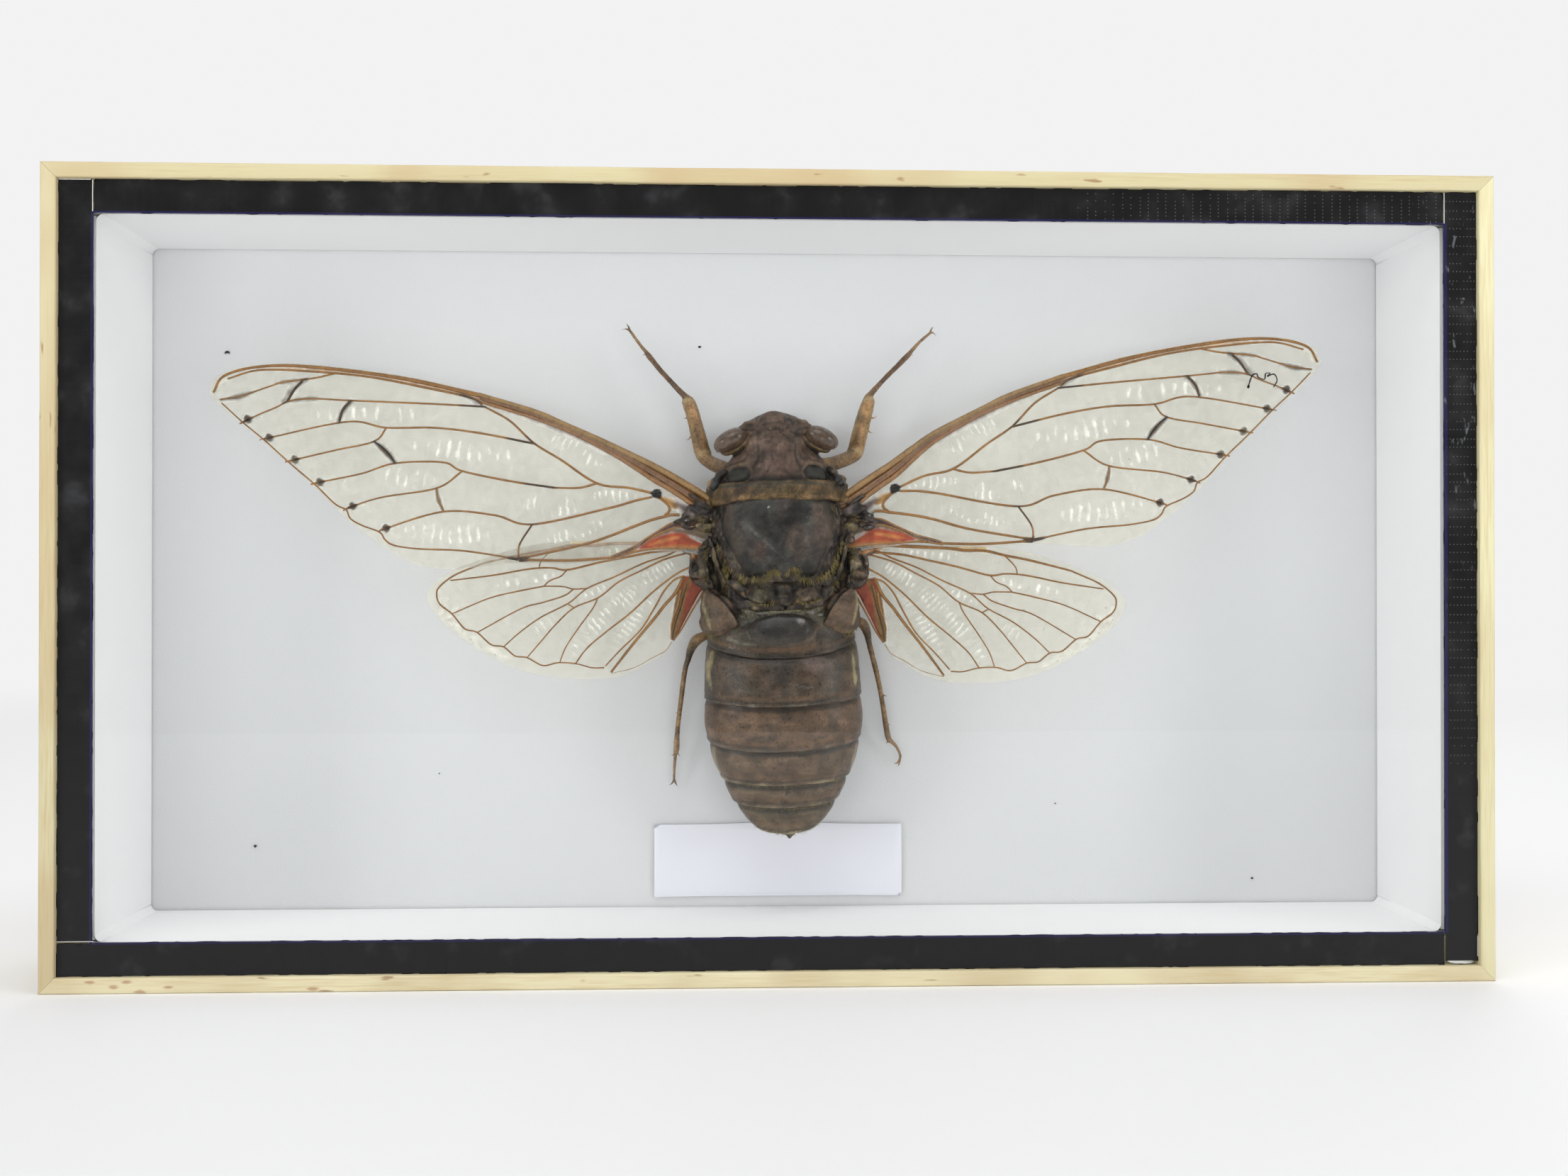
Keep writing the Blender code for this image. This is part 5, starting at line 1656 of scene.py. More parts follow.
            strokes += [
                blotch((-1, 45.4), (2.6, 2.2), 1.4, (0.036, 0.032, 0.028), 0.6, 0.8, height=-0.12),
                # A pinkish patch: painted sheen on the ring's right side.
                blotch((5.5, 43.8), (2.6, 1.6), 1.6, (0.14, 0.1, 0.09), 0.45, 0.8, turn=15),
                stain([(12, 41.5), (12.5, 45), (12.6, 48.6)], 0.5, (0.33, 0.28, 0.13), 0.75, 0.7),
                stain([(-12.2, 41.4), (-12.9, 45), (-12.5, 48.2)], 0.6, (0.34, 0.29, 0.14), 0.75, 0.7),
                Stroke([(2, 47.6), (4, 48), (6.4, 47.8)], 0.3, 0.05, (0.17, 0.16, 0.13), 0.6, ragged=0.3),
            ]
        if i == 4:
            strokes += [
                stain([(-12.7, 58.6), (-12.4, 61), (-11.6, 62.6)], 0.9, CREAM, 0.6, 0.5),
                stain([(12.6, 58.8), (12.2, 61), (11.6, 62.4)], 0.9, CREAM, 0.5, 0.5),
            ]
        if i == 5:
            strokes.append(blotch((0.1, 66.4), (0.3, 0.3), 0.3, PITCH, 1.0, height=-0.25))
        return strokes

    def covers(self) -> None:
        """The rounded covers at the front corners of the abdomen."""
        shell = ShellFinish("cover_shell", 0.46, 0.4).material()
        parts = []
        for side in (-1, 1):
            shift = 0.3 if side > 0 else 0.0
            outer = fused("cover", [
                ball("low", (side * (11.0 - shift), 36.3 + shift, 2.3), (3.5, 2.8, 3.1)),
                ball("corner", (side * (8.7 - shift), 36.7 + shift, 2.4), (1.7, 1.1, 2.9)),
                ball("middle", (side * (11.2 - shift), 34.2 + shift, 2.3), (3, 2.6, 3)),
                ball("high", (side * (12.1 - shift), 32.3 + shift, 2.4), (1.8, 1.6, 2.5))], 0.22, 6)
            points = read_points(outer)
            points[:, 1] -= (12.0 - np.abs(points[:, 0])) * self.cover_tilt
            write_points(outer, points)
            skin = Skin(outer, body_plan(outer), (0.09, 0.058, 0.037))
            skin.vary(2.4, (0.062, 0.05, 0.036), 0.5, 61)
            marks = [
                ([(12.3, 30.8), (10.3, 32.2), (8.6, 34.4), (7, 37)], 0.6, -0.3, PITCH, 0.95, 0.0),
                ([(13.2, 31.6), (13.5, 33.4), (13, 35.4), (12.4, 37.6)], 0.6, 0.12, (0.25, 0.21, 0.12), 0.8,
                 0.2),
                ([(14, 31.8), (14.4, 34.4), (14, 37), (12.9, 38.6)], 0.45, -0.15, (0.04, 0.03, 0.02), 0.8,
                 0.1),
                ([(6.8, 38.2), (9.4, 38.9), (12.2, 38.9)], 1.1, 0.1, (0.15, 0.105, 0.055), 0.7, 0.5),
                ([(9.4, 33.8), (8.2, 36), (7.9, 38)], 0.4, 0.1, (0.12, 0.082, 0.05), 0.6, 0.2)]
            skin.mark([Stroke([(side * x, y) for x, y in line], width, height, tint, strength, ragged=ragged)
                       for line, width, height, tint, strength, ragged in marks],
                      eased(0.0, 1.0, -skin.points[:, 1]))
            skin.roughen(1.6, 0.12, 63)
            parts.append(skin.settle(body_place(), shell))
        covers = joined("cicada_timbal_covers", parts)
        hand_over(covers, "insect", "cicada")


@dataclass
class Legs:
    """The fore and hind legs that show beside the body, with their spines and claws.

    A path's stations have their place across, back and up, and the leg's radius there. A spine or claw
    has its root and its point.
    """

    paths: dict = field(default_factory=lambda: {
        "fore_left": [(-7.4, 10, -2.5, 1.5), (-9.9, 8.9, -3, 1.35), (-12.1, 7.6, -3.4, 1.25),
                      (-12.9, 6, -3.6, 1.45), (-13.6, 3, -3.2, 1.35), (-14.4, -0.5, -2.8, 1.25),
                      (-15, -2.4, -2.5, 1.2), (-15.4, -3.3, -2.5, 0.95), (-15.8, -3.9, -2.6, 0.6),
                      (-17.6, -5.9, -3, 0.48), (-20.2, -9, -3.6, 0.45), (-21.9, -11.3, -4.2, 0.5),
                      (-22.3, -11.9, -4.3, 0.38), (-23.4, -13.4, -5, 0.28), (-25, -15.9, -6.2, 0.26),
                      (-25.4, -16.5, -6.5, 0.2)],
        "fore_right": [
            (7.4, 9.4, -2.5, 1.5), (10.2, 8.9, -3, 1.35), (13.6, 7.7, -3.6, 1.3), (14.5, 6.6, -3.8, 1.45),
            (15.4, 3.4, -3.3, 1.4), (16.3, 0.3, -2.8, 1.3), (16.9, -1.7, -2.5, 1.15), (17.1, -2.7, -2.5, 0.9),
            (17.4, -3.3, -2.6, 0.6), (19, -5, -3, 0.48), (21.2, -7.2, -3.6, 0.45),
            (24.4, -10.2, -4.2, 0.5), (25, -10.9, -4.4, 0.38), (26.7, -12.7, -5, 0.28),
            (28.7, -14.4, -6.3, 0.26), (29.2, -14.7, -6.6, 0.2)],
        "hind_left": [
            (-9, 36.5, -6, 0.9), (-13.2, 38.8, -5.6, 0.95), (-15, 39.7, -5.8, 1.15), (-16, 41.2, -6, 0.9),
            (-16.6, 43, -6.2, 0.62), (-17.3, 45.2, -6.5, 0.55), (-18.3, 51.3, -7.3, 0.5),
            (-19, 56, -8, 0.5), (-19.3, 59.4, -8.6, 0.62), (-19.5, 60.4, -8.8, 0.4),
            (-19.7, 61.9, -8.9, 0.3), (-19.9, 64.6, -9.4, 0.26), (-19.9, 65.2, -9.4, 0.2)],
        "hind_right": [
            (9, 35.5, -6, 0.9), (13.4, 36.9, -5.6, 0.9), (15, 37.7, -5.8, 1.05), (15.8, 39.4, -6, 0.85),
            (16.1, 41.2, -6.2, 0.6), (17.2, 46, -6.8, 0.55), (18.2, 51.4, -7.3, 0.5),
            (19.2, 58.3, -8.5, 0.6), (19.9, 59.4, -8.8, 0.42), (20.9, 60.6, -8.9, 0.32),
            (21.5, 62.2, -9.3, 0.26), (21.2, 63, -9.4, 0.2)],
    })
    spines: Sequence[tuple[Place, Place]] = (
        ((-14.9, 3.3, -3.4), (-15.8, 3.8, -3.5)), ((-15.3, -0.3, -2.8), (-16.2, 0, -3)),
        ((16.8, 3, -3.4), (17.8, 3.4, -3.5)),
        ((17.4, 0.8, -2.9), (18.5, 0.5, -3)),
        ((-18.2, 52, -7.3), (-19.3, 52.8, -7.3)), ((-18.9, 57.2, -8.2), (-20, 58.2, -8.3)),
        ((-19.4, 59.7, -8.6), (-20.3, 60.6, -8.8)), ((-19.2, 59.7, -8.6), (-18.6, 60.8, -8.8)),
        ((18, 50.2, -7.2), (19.2, 51, -7.3)), ((18.7, 55.3, -8), (19.8, 56.3, -8)),
        ((19.4, 58.6, -8.5), (18.8, 59.8, -8.7)), ((17.2, 45.6, -6.8), (18, 46.3, -6.9)),
        ((-22.2, -11.6, -4.2), (-23.1, -11.4, -4.3)), ((24.8, -10.6, -4.3), (25.5, -10.2, -4.4)),
    )
    claws: Sequence[tuple[Place, Place]] = (
        ((-25.3, -16.4, -6.5), (-26.9, -16.6, -6.9)), ((-25.3, -16.4, -6.5), (-26, -17.7, -6.9)),
        ((29, -14.7, -6.6), (30.2, -14.1, -6.9)), ((29, -14.7, -6.6), (29.7, -15.8, -6.9)),
        ((-19.9, 65, -9.4), (-20.9, 66, -9.5)), ((-19.9, 65, -9.4), (-19.2, 66.3, -9.5)),
        ((21.3, 62.9, -9.4), (20.3, 63.5, -9.5)), ((21.4, 62.8, -9.4), (21, 64, -9.5)),
    )

    def build(self) -> None:
        """Build and dress the legs."""
        runs = []
        for path in self.paths.values():
            stations = line_through(path, 0.35)
            thinner = 1.0 - 0.12 * eased(30.0, 34.0, stations[:, 1])
            runs.append((on_body(*stations[:, :3].T), stations[:, 3] * thinner))
        spikes = [(pair, 0.17) for pair in self.spines] + [(pair, 0.2) for pair in self.claws]
        for (root, point), width in spikes:
            t = np.linspace(0.0, 1.0, 6)[:, None]
            root, point = np.array(root), np.array(point)
            line = root + (point - root) * t
            line[:, 1] += 0.25 * np.sin(np.pi * t[:, 0]) * (-1 if point[1] < 0 else 1)
            runs.append((on_body(*line.T), width * (1.02 - t[:, 0])))
        legs = tubes("cicada_legs", runs, 3)
        skin = Skin(legs, body_plan(legs), (0.23, 0.14, 0.065))
        skin.vary(2.4, (0.1, 0.058, 0.032), 0.4, 71)
        skin.mark(self.strokes())
        skin.roughen(0.7, 0.07, 72)
        skin.settle(body_place(), ShellFinish("leg_shell", 0.32, 0.35, 0.00003, 0.5).material())
        hand_over(legs, "insect", "cicada")

    def strokes(self) -> list[Stroke]:
        """Orange thighs with dark stripes, and dark shins."""
        strokes = []
        for points, tint in (
                ([(-12.9, 6), (-14.4, -0.5), (-15.2, -2.6)], (0.3, 0.165, 0.07)),
                ([(14.5, 6.6), (16.3, 0.3), (17, -2.2)], (0.34, 0.185, 0.075)),
                ([(-9, 9.4), (-12.4, 7.6)], TAN), ([(9.6, 9.2), (13.8, 7.6)], TAN)):
            strokes.append(stain(points, 3.6, tint, 0.85, 0.4))
        for points in ([(-13.9, 5.6), (-14.8, 1.6), (-15.7, -2)], [(-12.1, 5.4), (-12.7, 2.6), (-13.7, -1.2)],
                       [(15.7, 6), (16.9, 2), (17.7, -1.2)], [(13.8, 5.6), (14.6, 1.8), (15.7, -1.6)]):
            strokes.append(Stroke(points, 0.5, 0.05, (0.21, 0.145, 0.055), 0.75, ragged=0.15))
        for points in ([(-13.4, 5.6), (-14.3, 1.6), (-15.2, -2)], [(-12.8, 5.2), (-13.5, 1.6), (-14.4, -1.8)],
                       [(15.2, 6), (16.4, 2), (17.2, -1.4)], [(14.3, 5.6), (15.1, 1.8), (16.2, -1.6)]):
            strokes.append(Stroke(points, 0.35, -0.05, (0.04, 0.024, 0.016), 0.75, ragged=0.15))
        for points, tint in (([(-15.4, -2.8), (-17.6, -5.9), (-22.2, -11.8)], (0.1, 0.055, 0.032)),
                             ([(17.1, -2.5), (21.2, -7.2), (25, -10.9)], (0.1, 0.055, 0.032)),
                             ([(-15.6, 40.2), (-16.5, 42.6), (-17, 44.6)], (0.034, 0.027, 0.018)),
                             ([(15.3, 38.2), (15.9, 39.6), (16.1, 41.4)], (0.05, 0.036, 0.024))):
            strokes.append(stain(points, 1.6, tint, 0.85, 0.3))
        for points in ([(-16.4, -2.6), (-15.4, -3), (-14.2, -2.9)], [(16.2, -2.2), (17.2, -2.6), (18.2, -2)],
                       [(-13.9, 7.2), (-12.6, 6.2), (-11.4, 6.2)], [(13, 6.4), (14.6, 6.6), (15.9, 7.4)]):
            strokes.append(Stroke(points, 0.7, 0.08, (0.3, 0.23, 0.12), 0.75, ragged=0.15))
        return strokes


@dataclass
class Fuzz:
    """The short golden hairs along the plates' edges and the flanks.

    Each line has its points, how far the hairs spread from it, how many they are, their length, and
    the height at which they stand.
    """

    seed: int = 12
    lines: Sequence[tuple] = (
        ([(-7.6, 27.8), (-6.4, 28.9), (-4.4, 29), (-2.2, 28.9)], 0.8, 120, 1.6, 7.6),
        ([(-2.2, 28.2), (-1.2, 27.2), (-0.4, 27.6)], 0.9, 130, 1.9, 8.5),
        ([(1, 27.6), (1.8, 27), (3, 27.8)], 0.9, 130, 1.9, 8.5),
        ([(3.2, 29.1), (5.2, 29.4), (7.2, 29), (8.6, 28)], 0.8, 120, 1.6, 7.6),
        ([(-10.6, 22.8), (-9.8, 25.4), (-8.4, 27.4)], 0.5, 60, 1.3, 6.2),
        ([(11, 22.8), (10, 25.6), (8.8, 27.8)], 0.5, 60, 1.3, 6.2),
        ([(-9.4, 37.4), (-8.2, 38.6), (-6.8, 38.4)], 1.4, 200, 1.3, 5.6),
        ([(-12.6, 38.2), (-10.8, 39.2), (-9, 39.2)], 1.2, 180, 1.1, 5.2),
        ([(9.2, 38.2), (10.8, 38.8), (12.6, 38)], 1.3, 200, 1.1, 5.4),
        ([(-11.8, 41), (-12.2, 45), (-12.2, 48.2)], 0.8, 110, 0.6, 5.3),
        ([(12.2, 40.6), (12.4, 45), (12.4, 48.2)], 0.8, 110, 0.6, 5.3),
        ([(-9.6, 64.2), (-5, 65), (0, 65.2), (5, 65), (9.6, 64.4)], 0.3, 170, 0.4, 5.9),
        ([(-7.6, 68.4), (-4, 69), (0.3, 69.2), (4.6, 69), (7.8, 68.4)], 0.3, 190, 0.45, 4.6),
        ([(-5.4, 72), (-2.6, 73.2), (0.2, 73.8), (3, 73.2), (5.6, 72)], 0.5, 220, 0.9, 1.9),
        ([(-9.2, 25.8), (-9.4, 28.6), (-8.6, 30.2)], 1.0, 140, 1.2, 5.4),
        ([(9.8, 26.2), (9.8, 28.6), (9.2, 30.2)], 1.0, 140, 1.2, 5.4),
        ([(-12.4, 22.4), (-13, 25.4), (-12.6, 29.4)], 1.3, 150, 1.0, 2.1),
        ([(12.4, 22.4), (13, 25.4), (12.6, 29.4)], 1.3, 150, 1.0, 2.1),
        ([(-13.6, 18), (-12.4, 20.6)], 1.2, 60, 0.8, 3.0),
        ([(13.6, 18), (12.4, 20.6)], 1.2, 60, 0.8, 3.0),
        ([(-5.4, 33.2), (-3.4, 33.6), (-1.4, 33.2)], 0.6, 90, 0.7, 6.6),
        ([(2.8, 33.2), (4.8, 33.4), (6.8, 32.8)], 0.6, 90, 0.7, 6.6),
    )

    def build(self) -> None:
        """Scatter the hairs along their lines, pointing back and a little out."""
        dice = np.random.default_rng(self.seed)
        roots, tips = [], []
        for line, spread, count, length, up in self.lines:
            curve = line_through(line, 0.2)
            at = curve[dice.integers(0, len(curve), count)] + dice.normal(0.0, spread / 3, (count, 2))
            height = up + dice.uniform(-0.3, 0.25, count) - 0.012 * at[:, 0] ** 2 * (up > 5)
            size = length * dice.uniform(0.5, 1.1, count)
            turn = dice.normal(0.0, 0.3, count) + 0.045 * at[:, 0]
            roots.append(on_body(at[:, 0], at[:, 1], height))
            tips.append(on_body(at[:, 0] + size * np.sin(turn), at[:, 1] + size * np.cos(turn) * 0.9,
                                height + size * dice.uniform(-0.15, 0.25, count)))
        fuzz = hairs("cicada_golden_hairs", np.vstack(roots), np.vstack(tips), 0.06)
        skin = Skin(fuzz, body_plan(fuzz), (0.24, 0.185, 0.065))
        skin.vary(1.0, (0.1, 0.07, 0.03), 0.8, 81)
        skin.settle(body_place(), ShellFinish("golden_hair", 0.55, 0.3, 0.00001).material())
        hand_over(fuzz, "insect", "cicada")


# The wings

Vein = tuple[float, float, Sequence[Spot]]


@dataclass
class WingDrawing:
    """A wing laid flat, in millimetres from its hinge: outwards, and forwards to the head.

    A vein has its width at the root and at the tip, and its points. A patch of ripples has its middle,
    its radii, its turn, the length of a ripple and its height.
    """

    outline: Sequence[Spot]
    veins: dict[str, Vein]
    strokes: Sequence[Stroke]
    vein_strokes: Sequence[Stroke]
    ripples: Sequence[tuple[Spot, Spot, float, float, float]]
    mesh_step: float = 0.31
    skin_thickness: float = 0.05

    def lift(self, plan: Points) -> Points:
        """How far the wing's skin bends towards the glass."""
        out, fore = plan.T
        return 0.03 * fore - 0.00011 * out ** 2 + 0.1 * cloudy(plan, 9.0, 2, 91)

    def ripple(self, plan: Points) -> tuple[Points, Points]:
        """The fine cross folds of the skin between the veins, and the painted highlight on their crests."""
        total = 0.012 * cloudy(plan, 1.1, 2, 92)
        crest_glint = np.zeros(len(plan))
        for middle, radii, turn, length, height in self.ripples:
            c, s = math.cos(math.radians(turn)), math.sin(math.radians(turn))
            x, y = (plan - np.array(middle)).T
            along, across = x * c + y * s, -x * s + y * c
            mask = 1.0 - eased(0.55, 1.0, np.hypot(along / radii[0], across / radii[1]))
            wave = np.sin(2 * np.pi * (along + 0.5 * cloudy(plan, 3.0, 2, 93)) / length + 0.08 * across ** 2)
            patchy = 0.6 + 0.9 * cloudy(plan, 2.0, 2, 94)
            total = total + height * mask * wave * np.clip(patchy, 0.0, 1.0)
            crest_glint = np.maximum(crest_glint, mask * eased(0.15, 0.85, wave * patchy))
        return total, crest_glint

    def vein_lines(self) -> list[tuple[Points, Points]]:
        """Each vein's line and its half widths."""
        lines = []
        for root, tip, points in self.veins.values():
            line = line_through(points, 0.45)
            halves = np.linspace(root, tip, len(line)) / 2
            lines.append((line, halves * (1.0 + 0.1 * cloudy(line, 1.5, 2, 95))))
        return lines

    def flat_skin(self) -> tuple[Points, list]:
        """Triangles over the wing's outline, seen flat."""
        edge = line_through(self.outline, 0.5, closed=True)
        low, high = edge.min(axis=0), edge.max(axis=0)
        rows = np.arange(low[1], high[1], self.mesh_step * 0.87)
        spots = []
        for i, y in enumerate(rows):
            x = np.arange(low[0] + (i % 2) * self.mesh_step / 2, high[0], self.mesh_step)
            spots.append(np.stack([x, np.full_like(x, y)], axis=1))
        inner = np.vstack(spots)
        inner = inner[inside(inner, edge)]
        gap, _ = nearest(inner, np.vstack([edge, edge[:1]]))
        inner = inner[gap > self.mesh_step * 0.5]
        points = [Vector(p) for p in np.vstack([edge, inner]).tolist()]
        loop = [(i, (i + 1) % len(edge)) for i in range(len(edge))]
        verts, _, faces, *_ = delaunay_2d_cdt(points, loop, [], 1, 1e-5)
        return np.array([tuple(v) for v in verts]), faces


@dataclass
class Wing:
    """One wing in its place on the body."""

    name: str
    drawing: WingDrawing
    side: int
    hinge: Place
    sweep: float
    set_back: float = 0.0

    def place(self) -> Matrix:
        """Turns the drawing's millimetres into the row's metres."""
        turn = Matrix.Rotation(-self.side * math.radians(self.sweep), 4, "Y")
        flip = Matrix.Diagonal((self.side, 1.0, 1.0, 1.0))
        return Matrix.Translation(Vector(self.hinge) * MM) @ turn @ Matrix.Scale(MM, 4) @ flip

    def root_shift(self, out: Points) -> Points:
        """How far the root of this wing lies behind the drawing's."""
        return self.set_back * (1.0 - eased(4.0, 14.0, out))

    def stand(self, plan: Points, up: Points) -> Points:
        """Points of the drawing as they lie in this wing."""
        return np.stack([plan[:, 0], -up, plan[:, 1] - self.root_shift(plan[:, 0])], axis=1)

    def plan_of(self, obj: bpy.types.Object) -> Points:
        """Where each point of a piece of this wing is on the drawing."""
        out, _, fore = read_points(obj).T
        return np.stack([out, fore + self.root_shift(out)], axis=1)

    def build(self, flat: tuple[Points, list], membrane: bpy.types.Material, shell: bpy.types.Material,
              ) -> None:
        """Build the skin and the veins from the flat drawing.

        Args:
            flat: the points and faces of the drawing's flat skin.
            membrane: the skin's material.
            shell: the veins' material.
        """
        points, faces = flat
        drawing = self.drawing
        near = np.full(len(points), np.inf)
        for line, halves in drawing.vein_lines():
            near = np.minimum(near, nearest(points, line)[0] - halves.mean())
        folds, crest_glint = drawing.ripple(points)
        free = eased(0.0, 0.7, near)
        bent = self.stand(points, drawing.lift(points) + folds * free)
        skin_obj = raw_mesh(f"cicada_{self.name}_skin", bent, faces)
        applied(skin_obj, "SOLIDIFY", thickness=drawing.skin_thickness, offset=0.0)
        skin = Skin(skin_obj, self.plan_of(skin_obj), HAZE, 0.085)
        skin.cover += 0.03 * cloudy(skin.points, 4.0, 3, 96)
        # The crests get a painted highlight: more pale haze cover where light would glint on the folds.
        pale = np.tile(crest_glint * free, len(skin.cover) // len(crest_glint)) * 0.42
        skin.cover = np.maximum(skin.cover, pale)
        skin.mark(drawing.strokes)
        skin.settle(self.place(), membrane)
        skin_obj.visible_shadow = False
        hand_over(skin_obj, "insect", "cicada")
        runs = [(self.stand(line, drawing.lift(line)), halves) for line, halves in drawing.vein_lines()]
        veins = tubes(f"cicada_{self.name}_veins", runs, 2)
        skin = Skin(veins, self.plan_of(veins), VEIN_BROWN)
        skin.vary(5.0, AMBER, 0.4, 97)
        skin.mark(drawing.vein_strokes)
        skin.roughen(0.8, 0.02, 98)
        skin.settle(self.place(), shell)
        hand_over(veins, "insect", "cicada")


SMUDGE: Colour = (0.075, 0.05, 0.03)
FORE_SPOTS: Sequence[Spot] = ((76.8, 16.2), (73.1, 13), (68.7, 9.2), (64.4, 5.3), (58.8, 1.1), (53, -2.7))
FORE_SPECKS: Sequence[Spot] = (
    (62.6, 8.6), (60.2, 5.4), (31, 7.8), (47.8, 5.2), (52.6, 1.8), (69.8, 14.2))
HIND_SPECKS: Sequence[Spot] = (
    (41.8, -7.5), (42.6, -8.3), (40.9, -9.6), (40.1, -10.7), (38.6, -11.8), (41.2, -6.2), (39.2, -8.8),
    (37.2, -13.2), (35.4, -14.6), (32.8, -15.9), (42.9, -5.6), (30.2, -10.2), (26.4, -7))
CLAVUS: Sequence[Spot] = (
    (-3.5, -6.5), (-2.6, -5.5), (-0.6, -4.5), (1.1, -3.5), (3, -3.4), (5.9, -4.2), (7.8, -5.2), (9.3, -6.4),
    (5.8, -6.2), (2.5, -6.1), (-0.7, -6.2))
STRAP: Sequence[Spot] = (
    (-1.6, -1.2), (1.5, -1.5), (3.4, -1.8), (5.1, -2.8), (7.5, -4.3), (9.8, -5.8), (13.8, -7.6), (13.4, -8.1),
    (11.4, -7.2), (8.7, -5.8), (6.7, -4.3), (4.8, -3.3), (2.7, -2.6), (-1.4, -2.6))
WINDOW: Sequence[Spot] = ((2.9, 0.6), (2, 1), (3.3, 2.1), (5.6, 3.2), (5.5, 2.7), (3.9, 1.6))
STRAP_BROWN: Colour = (0.075, 0.04, 0.032)

